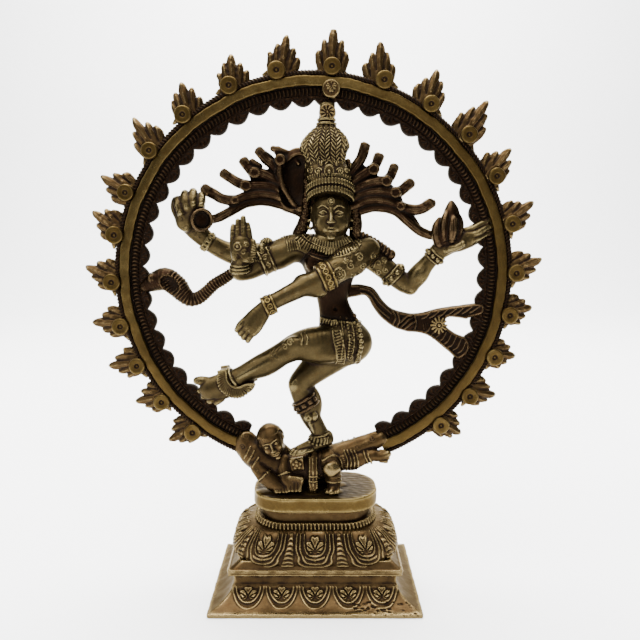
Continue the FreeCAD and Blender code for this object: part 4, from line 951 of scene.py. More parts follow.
# ------------------------------------------------------------------ flames and bosses
FLAMES = [(1.2, 107.0, 4.6, 121.6), (15.0, 107.6, 18.9, 122.2), (28.9, 108.3, 33.1, 122.5), (42.5, 108.3, 45.3, 128.1), (55.8, 106.9, 59.2, 123.7), (70.2, 106.5, 74.2, 124.7), (84.9, 107.2, 85.3, 127.4), (100.1, 106.4, 96.1, 123.7), (113.7, 106.4, 110.3, 121.2), (128.7, 106.6, 124.2, 120.7), (142.3, 106.6, 138.6, 124.4), (155.7, 107.0, 154.6, 123.0), (168.0, 106.6, 163.5, 121.5), (181.4, 106.8, 177.3, 121.6), (194.3, 106.4, 191.5, 121.9), (206.7, 106.4, 203.4, 121.7), (219.4, 106.8, 214.9, 119.1), (232.0, 107.6, 228.4, 120.8), (310.7, 106.4, 313.2, 118.6), (322.7, 106.4, 327.0, 118.6), (336.2, 106.4, 338.6, 117.4), (349.1, 106.4, 352.0, 118.4)]


def polar(r, a):
    return np.array([CX + r * math.cos(math.radians(a)), 0.0, CZ + r * math.sin(math.radians(a))])


fv, fq, ft, fc = [], [], [], []
nv = 0
for k, (ab, rb, at_, rt) in enumerate(FLAMES):
    r_ = np.random.RandomState(40 + k)
    tip = polar(rt, at_)
    root = polar(104.2, ab + 0.25 * (at_ - ab))
    out = tip - root
    tall = np.linalg.norm(out)
    out = out / tall
    side = np.array([out[2], 0, -out[0]]) * 1.12
    ctr = polar(112.5, (ab + at_) / 2)
    g = Clay(ctr - [13, 4.2, 13], ctr + [13, 3.6, 13], 0.3)

    def P(u, v, y=0.0):
        return root + out * (v * tall) + side * u + np.array([0, y, 0])

    j = r_.uniform(-0.45, 0.45, 12)
    fl = ((0, 1, 0), 1.2)
    limb(g, [(*P(-8.2, -0.05, 0.3), 0.8), (*P(-5.4, 0.02, 0.3), 2.0), (*P(0, 0.12, 0.2), 3.6), (*P(5.4, 0.02, 0.3), 2.0), (*P(8.2, -0.05, 0.3), 0.8)], 18, 0.6, flat=fl)
    for sg in (-1, 1):
        q = j[0 if sg < 0 else 5:]
        limb(g, [(*P(sg * 3.4, 0.0, 0.5), 3.0), (*P(sg * 4.8, 0.20, 0.4), 2.8), (*P(sg * (5.6 + q[0]), 0.35, 0.2), 2.3), (*P(sg * (6.1 + q[1]), 0.45 + q[2] * 0.10, 0.0), 1.4)], 9, 0.25, flat=fl)
        limb(g, [(*P(sg * 1.6, 0.05, 0.0), 3.0), (*P(sg * 2.6, 0.36, -0.2), 2.8), (*P(sg * (3.2 + q[3] * 0.5), 0.55, -0.3), 2.3), (*P(sg * (3.6 + q[3]), 0.67 + q[4] * 0.10, -0.2), 1.4)], 9, 0.25, flat=fl)
    limb(g, [(*P(0, 0.0, -0.5), 3.2), (*P(0, 0.40, -1.0), 2.9), (*P(j[10] * 0.6, 0.68, -1.0), 2.6), (*P(j[10] * 0.5, 0.84, -0.8), 2.0), (*P(0, 0.93, -0.5), 1.15)], 12, 0.25, flat=fl)
    # ridges along the tongues, dark grooves between them
    for a, b in ((P(0, 0.40), P(0, 0.92)), (P(-2.9, 0.38), P(-3.8, 0.66)), (P(2.9, 0.38), P(3.8, 0.66)), (P(-5.2, 0.22), P(-6.4, 0.44)), (P(5.2, 0.22), P(6.4, 0.44))):
        g.draw([(a[0], a[2]), (b[0], b[2])], 0.40, op="+", k=0.4, lift=-0.05)
    for a, b in ((P(1.5, 0.30), P(1.9, 0.72)), (P(-1.5, 0.30), P(-1.9, 0.72)), (P(-4.0, 0.16), P(-4.8, 0.52)), (P(4.0, 0.16), P(4.8, 0.52)), (P(6.3, -0.02), P(7.0, 0.28)), (P(-6.3, -0.02), P(-7.0, 0.28))):
        g.draw([(a[0], a[2]), (b[0], b[2])], 0.34, op="-", k=0.15, lift=0.0)
    X, Y, Z = g.at((slice(None),) * 3)
    g.f = np.maximum(g.f, F32(103.6) - np.sqrt((X - F32(CX)) ** 2 + (Z - F32(CZ)) ** 2))
    g.f = g.f + rough(0.10, 3.0, k)(X, Y, Z)
    pts, qd, tr = surface(g.f, g.h)
    # cav from how enclosed each point is: darker in the grooves (painted shade, partly patina), lighter on the ridges
    # (painted highlight, partly wear).
    occ = np.clip(0.5 - g.f / F32(1.6 * g.h), 0, 1)
    cv = 0.565 + (sample(blur(occ, 3), pts) - 0.5) * 1.35
    fv.append(g.lo + pts * g.h)
    fq.append(qd + nv)
    ft.append(tr + nv)
    fc.append(cv)
    nv += len(pts)
make_object("halo_flames", np.vstack(fv), (np.vstack(fq), np.vstack(ft)), M_CAST, ["halo_flames"], np.concatenate(fc))


def lathe(profile, C, seg=48, axis=(0, -1, 0)):
    """Closed turned shape: profile rows of radius, height along axis, cav."""
    M = frame_to(axis)
    prof = np.array(profile, float)
    a = np.linspace(0, 2 * math.pi, seg, endpoint=False)
    n = len(prof)
    loc = np.stack([prof[:, 0][:, None] * np.cos(a), prof[:, 0][:, None] * np.sin(a), np.broadcast_to(prof[:, 1][:, None], (n, seg))], -1)
    v = loc.reshape(-1, 3) @ M.T + np.asarray(C, float)
    i = np.arange(n - 1)[:, None] * seg
    jj = np.arange(seg)[None, :]
    q = np.stack([i + jj, i + (jj + 1) % seg, i + seg + (jj + 1) % seg, i + seg + jj], -1).reshape(-1, 4)
    ends = np.array([[0, 0, prof[0, 1]], [0, 0, prof[-1, 1]]]) @ M.T + np.asarray(C, float)
    v = np.vstack([v, ends])
    e0, e1 = len(v) - 2, len(v) - 1
    t = np.arange(seg)
    tr = np.concatenate([np.stack([np.full(seg, e0), (t + 1) % seg, t], -1), np.stack([np.full(seg, e1), (n - 1) * seg + t, (n - 1) * seg + (t + 1) % seg], -1)])
    cav = np.r_[np.repeat(prof[:, 2], seg), prof[0, 2], prof[-1, 2]]
    return v, q, tr, cav


# Rows of radius, height and cav: cav low on the rim (painted highlight, partly wear) and high in the groove round the
# middle knob (painted shade).
BOSS = [(4.0, -1.6, 0.6), (4.55, -1.5, 0.72), (4.75, -0.6, 0.66), (4.8, 0.6, 0.55), (4.7, 1.15, 0.44), (4.4, 1.45, 0.40), (3.9, 1.55, 0.42), (3.0, 1.42, 0.46), (2.2, 1.40, 0.48), (1.75, 1.36, 0.55), (1.5, 1.15, 0.70), (1.25, 0.75, 0.86), (0.95, 0.65, 0.92), (0.75, 0.72, 0.80), (0.55, 1.0, 0.62), (0.3, 1.12, 0.5), (0.08, 1.15, 0.5)]
vs, qs, ts, cs = [], [], [], []
nv = 0
for k, (ab, rb, at_, rt) in enumerate(FLAMES):
    r_ = np.random.RandomState(80 + k)
    s = r_.uniform(0.90, 0.99)
    prof = [(p[0] * s, p[1], p[2]) for p in BOSS]
    C = polar(rb, ab)
    C[1] = -3.6
    v, q, tr, cv = lathe(prof, C, 44, (r_.uniform(-0.06, 0.06), -1, r_.uniform(-0.06, 0.06)))
    vs.append(v)
    qs.append(q + nv)
    ts.append(tr + nv)
    cs.append(cv)
    nv += len(v)
make_object("flame_bosses", np.vstack(vs), (np.vstack(qs), np.vstack(ts)), M_POL, ["flame_bosses"], np.concatenate(cs))

# two chased rosettes between the crown and the top flame
c = Clay((0.5, -7.6, 250.5), (14.5, 0.0, 275.5), 0.22)
for (x0, z0, r0, y0) in ((8.3, 268.4, 4.7, -3.6), (6.4, 257.0, 4.4, -2.9)):
    c.do(cyl((x0, y0, z0), r0, 2.2, frame_to((0, -1, 0)), 0.7), 0.2)
    X, Y, Z = c.at((slice(None),) * 3)
    r2 = np.sqrt((X - F32(x0)) ** 2 + (Z - F32(z0)) ** 2)
    an = np.arctan2(Z - F32(z0), X - F32(x0))
    if z0 > 262:
        lx_, lz_ = np.abs(X - F32(x0)), Z - F32(z0)
        pat = 0.6 * bump(r2, r0 - 0.5, 0.5) + (r2 < r0 - 0.9) * 0.8 * palmette(lx_, lz_, 0.85)
    else:
        pat = 0.6 * bump(r2, r0 - 0.5, 0.5) + (r2 < r0 - 0.9) * (0.75 * step(np.cos(an * 9 + r2 * 0.9), -0.3, 0.5)) * step(r2, 0.9, 1.6) + 0.7 * bump(r2, 0, 1.0)
    c.f = np.where((Y < y0 + 0.5) & (r2 < r0 + 1), c.f - pat * F32(0.75) + F32(0.25) * (r2 < r0), c.f).astype(F32)
cast("crest_rosettes", c, M_CAST, ["crest_rosettes"], cav_r=0.6)

# ------------------------------------------------------------------ stud, washer and nut inside the pedestal
TOPZ = 34.5
c = Clay((-5, -5, 21.5), (5, 5, 54.5), 0.3)
X, Y, Z = c.at((slice(None),) * 3)
rr = np.sqrt(X * X + Y * Y)
an = np.arctan2(Y, X)
thread = F32(0.34) * np.abs(((Z / F32(1.25) - an / F32(2 * math.pi)) % 1.0) - 0.5) * (Z < 36)
c.f = np.maximum(rr - F32(3.98) + thread, np.abs(Z - F32(38.0)) - F32(15.45) + np.maximum(rr - 3.3, 0) * F32(0.6)).astype(F32)
cast("fixing_stud", c, M_STEEL, ["fixing_stud"])
for nm, z0, z1, shape in (("fixing_washer", TOPZ - 2.0, TOPZ, "round"), ("fixing_nut", TOPZ - 8.5, TOPZ - 2.05, "hex")):
    c = Clay((-12, -12, z0 - 1), (12, 12, z1 + 1), 0.3)
    X, Y, Z = c.at((slice(None),) * 3)
    rr = np.sqrt(X * X + Y * Y)
    if shape == "round":
        side = rr - F32(9.95)
    else:
        an = np.arctan2(Y, X)
        k6 = np.round(an / F32(math.pi / 3)) * F32(math.pi / 3)
        side = rr * np.cos(an - k6) - F32(6.45)
        side = np.maximum(side, (rr - F32(6.9)) + np.maximum(np.abs(Z - (z0 + z1) / 2) - (z1 - z0) / 2 + 0.6, 0))
    c.f = np.maximum(np.maximum(side, np.abs(Z - F32((z0 + z1) / 2)) - F32((z1 - z0) / 2)), F32(4.25) - rr).astype(F32)
    cast(nm, c, M_STEEL, [nm])


# ------------------------------------------------------------------ tools for the figure
class Body:
    """Several pieces modelled apart, blended into one skin, then parted again along flush seams."""

    def __init__(s, lo, hi, h):
        s.c = Clay(lo, hi, h)
        s.parts = []

    def sub(s, lo, hi):
        h = s.c.h
        a = np.maximum(np.floor((np.array(lo, float) - s.c.lo) / h).astype(int), 0)
        b = np.minimum(np.ceil((np.array(hi, float) - s.c.lo) / h).astype(int) + 1, s.c.n)
        p = Clay.__new__(Clay)
        p.h, p.lo, p.n, p.off = h, s.c.lo + a * h, b - a, a
        p.ax = [s.c.ax[i][a[i]:b[i]] for i in range(3)]
        p.f = np.full(tuple(p.n), 9.0, F32)
        return p

    def add(s, name, p, k=0.0):
        sl = tuple(slice(o, o + n) for o, n in zip(p.off, p.n))
        s.c.f[sl] = smin(s.c.f[sl], p.f, k)
        s.parts.append((name, p, p.f.copy()))
        return p

    def out(s, name, mat, nodes, slot, cav_r=0.75, label=None, tint=None):
        i = [q[0] for q in s.parts].index(name)
        p, own = s.parts[i][1], s.parts[i][2]
        other = np.full(own.shape, 9.0, F32)
        for j, (nm, q, qf) in enumerate(s.parts):
            if j == i:
                continue
            lo = np.maximum(p.off, q.off)
            hi = np.minimum(p.off + p.n, q.off + q.n)
            if (hi <= lo).any():
                continue
            sp = tuple(slice(a - o, b - o) for a, b, o in zip(lo, hi, p.off))
            sq = tuple(slice(a - o, b - o) for a, b, o in zip(lo, hi, q.off))
            other[sp] = np.minimum(other[sp], qf[sq] + F32(0.02 * (j - i) / abs(j - i)))
        v = Clay.__new__(Clay)
        v.h, v.lo, v.n, v.ax = p.h, p.lo, p.n, p.ax
        v.f = s.c.f[tuple(slice(o, o + n) for o, n in zip(p.off, p.n))]
        return cast(label or name, v, mat, nodes, cut=(own - other) * F32(0.5), cav_r=cav_r, tint=tint)


def ovals(c, st, k=0.0, op="+", n=60):
    """A body of level oval sections: rows of x, y, z, half width, half depth."""
    P = curve(sorted(st, key=lambda q: q[2]), n)
    zc = c.ax[2].astype(float)
    cx, cy, a, b = [np.interp(zc, P[:, 2], P[:, q]).astype(F32)[None, None, :] for q in (0, 1, 3, 4)]
    X, Y, Z = c.at((slice(None),) * 3)
    x, y = X - cx, Y - cy
    q = np.sqrt((x / a) ** 2 + (y / b) ** 2)
    k1 = np.sqrt((x / a ** 2) ** 2 + (y / b ** 2) ** 2)
    d = q * (q - 1) / np.maximum(k1, F32(1e-3))
    z0, z1 = P[:, 2].min(), P[:, 2].max()
    d = np.maximum(d, np.abs(Z - F32((z0 + z1) / 2)) - F32((z1 - z0) / 2)).astype(F32)
    c.f = smin(c.f, d, k) if op == "+" else -smin(-c.f, d, k)
    return c


def along(c, pts, lo=None, hi=None):
    """Distance from a path and length along it, for the voxels of a box."""
    sl = c.sl(lo, hi) if lo is not None else (slice(None),) * 3
    X, Y, Z = c.at(sl)
    pts = np.asarray(pts, float)
    best = s = None
    run = 0.0
    for a, b in zip(pts[:-1], pts[1:]):
        D = b - a
        L2 = max(float(D @ D), 1e-9)
        L1 = math.sqrt(L2)
        dx, dy, dz = X - F32(a[0]), Y - F32(a[1]), Z - F32(a[2])
        t = np.clip((dx * F32(D[0]) + dy * F32(D[1]) + dz * F32(D[2])) * F32(1 / L2), 0, 1)
        d = (dx - t * F32(D[0])) ** 2 + (dy - t * F32(D[1])) ** 2 + (dz - t * F32(D[2])) ** 2
        if best is None:
            best, s = d, F32(run) + t * F32(L1)
        else:
            m = d < best
            best = np.where(m, d, best)
            s = np.where(m, F32(run) + t * F32(L1), s)
        run += L1
    return sl, np.sqrt(best), s


def ribs(c, path, length, gap, r, side=-1, op="+", lift=0.0, k=0.15, tilt=0.0, shift=0.0):
    """Short strokes set across a path, like a row of beads seen edge on."""
    p = np.asarray(path, float)
    d = np.r_[0, np.cumsum(np.hypot(*np.diff(p, axis=0).T))]
    for u in np.arange(gap * 0.5, d[-1], gap):
        x, z = np.interp(u, d, p[:, 0]), np.interp(u, d, p[:, 1])
        e = 0.3
        t = np.array([np.interp(u + e, d, p[:, 0]) - np.interp(u - e, d, p[:, 0]), np.interp(u + e, d, p[:, 1]) - np.interp(u - e, d, p[:, 1])])
        t /= max(np.hypot(*t), 1e-6)
        n = np.array([-t[1], t[0]])
        n = n * math.cos(tilt) + t * math.sin(tilt)
        a, b = np.array([x, z]) + n * (shift - length / 2), np.array([x, z]) + n * (shift + length / 2)
        c.draw([a, b], r, side, op, k, lift)


def ring_at(c, C, axis, R, r, k=0.2, op="+"):
    c.do(tor(C, R, r, frame_to(axis)), k, op)


def beads_at(c, C, axis, R, r, n, k=0.1, op="+", a0=0.0, a1=2 * math.pi, stretch=1.0):
    M = frame_to(axis)
    for a in np.linspace(a0, a1, n, endpoint=False):
        q = np.asarray(C, float) + M @ np.array([R * math.cos(a), R * math.sin(a), 0])
        c.do(ell(q, (r, r, r * stretch), M), k, op)


def loop2(x, z, r, n=12, ry=None):
    t = np.linspace(0, 2 * math.pi, n + 1)
    return np.c_[x + r * np.cos(t), z + (ry or r) * np.sin(t)]


def spiral(x, z, r, turns=1.4, a0=0.0, n=14, hand=1):
    t = np.linspace(0, 1, n)
    a = a0 + hand * turns * 2 * math.pi * t
    q = r * (1 - 0.78 * t)
    return np.c_[x + q * np.cos(a), z + q * np.sin(a)]


def spline2(p, n=24):
    q = np.asarray(p, float)
    return curve(np.c_[q, np.zeros(len(q))], n)[:, :2]


def band(c, C, axis, R, half, edge=0.55, k=0.2, thick=1.2):
    """A plain hoop with a raised wire at each edge."""
    M = frame_to(axis)
    c.do(cyl(C, R, half, M, 0.4), k)
    for sg in (-1, 1):
        q = np.asarray(C, float) + M @ np.array([0, 0, sg * half * 0.95])
        c.do(tor(q, R, edge, M), 0.1)


def scribble(c, pts, size, seed, side=-1, r=0.22):
    """Small chased curls."""
    g = np.random.RandomState(seed)
    for x, z in pts:
        c.draw(spiral(x, z, size * g.uniform(0.8, 1.15), g.uniform(0.9, 1.5), g.uniform(0, 6.28), 10, g.choice([-1, 1])), r, side, "-", 0.12, 0.0, step=0.4)


# ------------------------------------------------------------------ body, arms and legs
B = Body((-66, -30, 76), (97, 14.5, 206), 0.3)
LIMB = {
    "arm_front_right": [(-1.0, -2, 188.8, 7.0), (-12.0, -3, 187.9, 7.5), (-20.0, -4.5, 184.4, 6.9), (-28.0, -6.5, 180.2, 5.9), (-34.2, -8.5, 176.9, 5.2), (-38.2, -10.8, 176.6, 4.9), (-38.3, -13.2, 179.6, 4.7), (-37.4, -14.6, 183.2, 4.4)],
    "arm_back_right": [(-6.0, 4, 188.5, 5.2), (-18.0, 5, 187.2, 5.4), (-30.0, 6, 185.0, 5.8), (-41.0, 6, 184.2, 6.0), (-49.0, 5.2, 186.6, 5.3), (-55.6, 3.6, 190.2, 4.7)],
    "arm_front_left": [(27.5, -2, 187.0, 7.0), (20.5, -8, 183.0, 7.6), (12.5, -13, 178.2, 7.0), (5.1, -16, 174.0, 6.2), (-3.5, -18, 170.2, 5.2), (-12.6, -19.5, 165.8, 4.5), (-21.0, -20.8, 161.6, 4.0)],
    "arm_back_left": [(24.0, 2.5, 186.6, 6.4), (30.7, 3, 182.6, 6.6), (38.3, 3, 176.6, 5.9), (44.6, 2.8, 171.6, 5.4), (50.2, 2.5, 168.6, 5.3), (53.4, 2.0, 171.6, 5.0), (57.6, 0.8, 177.2, 4.6), (62.4, -0.4, 183.0, 4.1)],
    "leg_raised": [(17.0, -5, 138.0, 10.2), (7.9, -9, 138.6, 9.6), (-1.6, -12.5, 138.8, 8.7), (-9.3, -14.5, 137.6, 7.3), (-15.4, -16, 134.9, 6.2), (-21.7, -16.5, 131.6, 5.8), (-28.5, -17, 128.1, 5.5), (-35.8, -17, 124.1, 5.0), (-40.5, -17, 121.4, 4.9)],
    "leg_standing": [(13.0, -4, 134.0, 9.9), (4.2, -4.5, 127.4, 8.8), (-3.4, -6, 121.3, 7.2), (-8.3, -7.4, 116.0, 5.9), (-7.6, -7.6, 110.6, 5.2), (-5.2, -7, 104.8, 5.6), (-2.6, -6, 97.8, 5.2), (1.0, -5, 91.2, 4.6), (3.1, -4.6, 86.2, 4.9)],
}

# chest and shoulders
p = B.sub((-16, -17, 143), (34, 11, 199))
ovals(p, [(13.4, -2.6, 145.6, 11.6, 8.4), (12.6, -2.6, 150.0, 10.4, 7.8), (11.2, -2.8, 154.5, 9.2, 7.2), (9.3, -3, 161.0, 8.3, 6.7), (8.6, -3.2, 168.0, 10.4, 7.6), (8.2, -3.4, 175.0, 13.2, 8.8), (8.0, -3.2, 181.5, 15.6, 9.2), (8.2, -2.6, 187.0, 16.6, 8.4), (8.3, -2.8, 191.0, 12.4, 7.6), (8.3, -3.0, 194.0, 7.0, 6.6), (8.3, -3.0, 198.0, 5.8, 6.2)])
for x in (1.6, 14.4):
    p.do(ell((x, -9.4, 180.4), (6.2, 3.2, 5.0)), 2.5)
p.do(ell((8, 6.2, 184), (0.9, 1.2, 9)), 2.0, "-")
for x in (-0.6, 17):
    p.do(ell((x, 5.0, 186), (6.4, 2.6, 5.0)), 3.0)
p.do(ell((10.6, -10.0, 156.5), (0.8, 1.6, 0.9)), 0.8, "-")
p.do(ell((-9.0, 0.0, 188.2), (8.0, 7.0, 6.8)), 4.0)
p.do(ell((25.0, 0.2, 187.4), (8.0, 7.2, 7.0)), 4.0)
B.add("torso", p)

p = B.sub((-3, -19, 124), (34, 12, 156))
ovals(p, [(15.2, -2.0, 127.5, 8.4, 7.0), (15.4, -2.0, 131.0, 11.0, 8.6), (15.6, -2.0, 136.0, 12.2, 9.4), (15.0, -2.2, 142.0, 11.9, 9.4), (13.4, -2.6, 148.6, 10.8, 8.2)])
p.do(ell((19.5, 2.2, 136.0), (7.2, 6.8, 8.2)), 3.0)
p.do(ell((10.5, 2.6, 136.0), (6.6, 6.0, 7.8)), 3.0)
p.do(cap((9.5, -7.6, 138.4), (20, -4, 138.0), 10.6, 10.6)[0:3], 3.0)
X, Y, Z = p.at((slice(None),) * 3)
# the cloth stops on a curve over the raised thigh and just above the standing one
hem = (X - F32(9.9)) * F32(0.95) - (F32(146) - Z) * F32(0.20)
p.f = np.maximum(p.f, -hem).astype(F32)
B.add("shorts", p)

for nm, lo, hi, kk_ in (("leg_raised", (-48, -25, 112), (30, 8, 152), 2.5), ("leg_standing", (-18, -17, 78), (26, 9, 148), 2.5)):
    p = B.sub(lo, hi)
    limb(p, LIMB[nm], 44)
    if nm == "leg_raised":
        p.do(ell((-10.6, -19.6, 139.6), (4.6, 2.6, 3.6), rot("y", 20)), 2.5)
        p.do(ell((-24, -15.2, 127.6), (9.0, 5.0, 4.6), rot("y", -29)), 3.0)
        p.do(ell((-33, -21.2, 126.2), (8.0, 1.0, 1.0), rot("y", -29)), 2.0)
        p.do(ell((4, -14, 133.5), (12, 6.0, 5.0), rot("y", 0)), 3.0)
    else:
        p.do(ell((-10.6, -10.2, 116.4), (3.4, 3.4, 4.0)), 2.0)
        p.do(ell((-1.0, -3.6, 106.5), (4.4, 4.6, 8.4), rot("y", -18)), 3.0)
        p.do(ell((-3.4, -11.2, 98.0), (0.9, 1.2, 9.0), rot("y", -18)), 1.5)
    B.add(nm, p, kk_)

for nm, lo, hi, kk_ in (("arm_back_right", (-62, -3, 174), (8, 14, 199), 2.2), ("arm_back_left", (15, -7, 158), (70, 12.5, 197), 2.2), ("arm_front_right", (-46, -22, 168), (8, 8, 200), 2.2), ("arm_front_left", (-28, -28, 154), (38, 8, 198), 1.2)):
    p = B.sub(lo, hi)
    limb(p, LIMB[nm], 44)
    if nm == "arm_front_left":
        p.do(ell((18, -9.5, 181.5), (8.6, 6.4, 7.0), rot("y", 32)), 3.0)
        p.do(ell((-2, -17, 169.2), (9, 4.6, 5.3), rot("y", 25)), 2.0)
    if nm == "arm_back_left":
        p.do(ell((51.4, 2.2, 166.4), (3.4, 4.0, 3.6)), 1.5)
        p.do(ell((55, 0.5, 173.6), (5.0, 5.0, 7.0), rot("y", 38)), 2.0)
    if nm == "arm_front_right":
        p.do(ell((-19, -5, 184.0), (8.0, 6.6, 6.6), rot("y", -25)), 3.0)
        p.do(ell((-39.4, -9.6, 174.4), (3.2, 3.4, 2.4)), 2.0)
    B.add(nm, p, kk_)

# hands
# open palm, fingers up
p = B.sub((-48, -23, 172), (-24, -8, 206))
limb(p, [(-37.4, -14.6, 183.2, 4.3), (-37.0, -15.6, 187.0, 4.8), (-36.9, -16.2, 190.6, 5.0)], 8, 0, flat=((0, 1, 0.1), 1.25))
p.do(ell((-36.9, -15.6, 187.2), (6.1, 3.2, 7.4)), 1.2)
for (x0, x1, zt, r0, y) in ((-41.0, -41.2, 199.4, 1.75, -15.6), (-38.4, -38.7, 201.9, 1.8, -16.4), (-35.8, -36.0, 203.4, 1.85, -16.6), (-33.2, -33.9, 200.2, 1.8, -15.8)):
    limb(p, [(x0, -15.2, 189.0, r0 + 0.4), (x0 * 0.6 + x1 * 0.4, y - 0.2, 194.2, r0 + 0.25), (x1 * 0.8 + x0 * 0.2, y, 197.6, r0 + 0.05), (x1, y + 0.5, zt, r0 * 0.75)], 9, 0.3)
limb(p, [(-33.0, -15.6, 183.6, 2.8), (-31.4, -16.8, 187.6, 2.2), (-31.2, -16.8, 191.4, 1.7)], 8, 1.0)
p.do(ell((-37.2, -14.6, 192.0), (5.4, 1.9, 6.6)), 0.8)
p.do(ell((-35.0, -18.4, 184.0), (2.6, 1.6, 3.0)), 1.2)
p.do(ell((-40.2, -18.0, 185.0), (1.8, 1.2, 3.2)), 1.2)
B.add("hand_front_right", p, 0.8)

# hanging hand
p = B.sub((-46, -27, 136), (-14, -14, 168))
limb(p, [(-21.0, -20.8, 161.6, 4.0), (-25.4, -21, 157.9, 4.2), (-29.2, -21, 153.6, 5.3), (-32.2, -21, 149.8, 5.6)], 12, 0, flat=((0, 1, 0), 1.35))
for (a, b, c_, r0) in (((-33.2, 153.0), (-37.2, 150.0), (-39.3, 147.5), 2.1), ((-32.4, 150.6), (-35.9, 147.8), (-37.7, 145.4), 1.95), ((-31.4, 148.8), (-34.7, 145.9), (-36.2, 143.4), 1.9), ((-29.6, 148.0), (-32.6, 144.8), (-34.1, 141.8), 1.8)):
    limb(p, [(a[0], -21.0, a[1], r0 + 0.5), (b[0], -21.8, b[1], r0 + 0.15), (c_[0], -21.2, c_[1], r0 * 0.75)], 9, 0.3)
limb(p, [(-27.4, -22.0, 152.6, 2.4), (-28.4, -22.8, 149.0, 2.1), (-30.4, -22.8, 146.0, 1.6)], 8, 1.0)
B.add("hand_front_left", p, 0.8)

# feet
p = B.sub((-66, -26, 104), (-28, -9, 128))
limb(p, [(-40.0, -17, 121.2, 5.2), (-44.0, -17.2, 119.4, 5.6), (-49.0, -17.6, 117.8, 6.1), (-54.0, -18, 116.2, 5.9)], 12, 0, flat=((0, 1, 0), 1.2))
p.do(ell((-35.6, -16.6, 117.4), (4.6, 4.2, 3.9), rot("y", -25)), 1.5)
p.do(cap((-37, -17, 116.6), (-50, -17.5, 112.6), 3.3, 3.0), 1.5)
for (a, b, r0) in (((-54.6, 119.6), (-61.0, 120.2), 2.6), ((-54.6, 116.0), (-59.4, 115.2), 2.15), ((-53.6, 113.4), (-57.6, 112.0), 2.05), ((-51.6, 111.4), (-54.8, 109.6), 2.0), ((-48.6, 110.8), (-51.2, 108.8), 1.9)):
    limb(p, [(a[0], -18.0, a[1], r0), (0.4 * a[0] + 0.6 * b[0], -18.4, 0.4 * a[1] + 0.6 * b[1] + 0.2, r0), (b[0], -18.0, b[1], r0 * 0.8)], 8, 0.45)
B.add("foot_raised", p, 1.0)

p = B.sub((-18, -17, 76), (13, 4, 92))
limb(p, [(6.0, -4.2, 83.9, 3.7), (1.5, -6, 82.8, 4.0), (-3.6, -7.8, 81.4, 3.5), (-8.4, -9.2, 80.0, 2.9)], 12, 0, flat=((0.2, 0, 1), 1.15))
p.do(ell((6.6, -3.8, 85.0), (3.4, 3.9, 4.2)), 1.5)
for i_, (x, y, z, r0) in enumerate(((-13.2, -9.0, 78.9, 1.45), (-12.9, -11.2, 78.8, 1.35), (-11.4, -13.0, 78.9, 1.3), (-9.2, -14.0, 79.3, 1.25), (-6.9, -14.2, 79.8, 1.15))):
    limb(p, [(x + 5.0, y + 2.6, z + 1.0, r0), (x + 1.6, y + 0.6, z + 0.7, r0), (x, y, z - 0.1, r0 * 0.9)], 8, 0.35)
X, Y, Z = p.at((slice(None),) * 3)
sole = F32(77.3) + (X + F32(13)) * F32(0.13)
p.f = np.maximum(p.f, sole - Z).astype(F32)
B.add("foot_standing", p, 1.0)

# hoops, bands and the rolled tassel: they sit proud of the limbs
AX = {"fl": (-0.91, -0.19, -0.40), "bl": (0.71, -0.02, -0.70), "blw": (0.60, -0.2, 0.74), "fr": (-0.9, -0.2, -0.42), "calf": (-0.50, 0.05, 0.86), "shin": (-0.86, 0, -0.50)}


def hoop(name, lo, hi, C, axis, R, half, edge=0.55, inner=None, pet=0, pr=0.9, k=0.15):
    q = B.sub(lo, hi)
    band(q, C, axis, R, half, edge)
    M = frame_to(axis)
    if pet:
        for a in np.linspace(0, 2 * math.pi, pet, endpoint=False):
            c0 = np.asarray(C, float) + M @ np.array([(R + 0.1) * math.cos(a), (R + 0.1) * math.sin(a), 0])
            nrm = M @ np.array([math.cos(a), math.sin(a), 0])
            q.do(tor(c0 + nrm * 0.15, pr, 0.38, frame_to(nrm)), 0.08)
            q.do(ell(c0, (0.5, 0.5, 0.5)), 0.1)
    return q


q = hoop("armlet_front_left", (-3, -26, 162), (14, -4, 186), (5.4, -16.2, 174.1), AX["fl"], 7.0, 3.1, 0.6, pet=14, pr=1.25)
B.add("armlet_front_left", q)
q = hoop("bracelet_front_left", (-31, -28, 151), (-15, -13, 169), (-23.2, -20.9, 159.9), AX["fl"], 4.7, 2.4, 0.6, pet=9, pr=1.15)
B.add("bracelet_front_left", q)
q = hoop("armlet_back_left", (31, -6, 163), (53, 12, 184), (42.0, 2.9, 173.6), AX["bl"], 6.0, 2.2, 0.7, pet=10, pr=1.2)
beads_at(q, (42.0, 2.9, 173.6), AX["bl"], 6.4, 1.5, 9, 0.3)
q.do(ell((46.0, 1.0, 177.6), (2.0, 2.4, 2.2)), 0.8)
B.add("armlet_back_left", q)
q = hoop("bracelet_back_left", (55, -8, 174), (72, 8, 191), (63.3, -0.6, 183.8), AX["blw"], 4.5, 2.2, 0.6, pet=0)
beads_at(q, (63.3, -0.6, 183.8), AX["blw"], 4.9, 1.35, 10, 0.3)
B.add("bracelet_back_left", q)
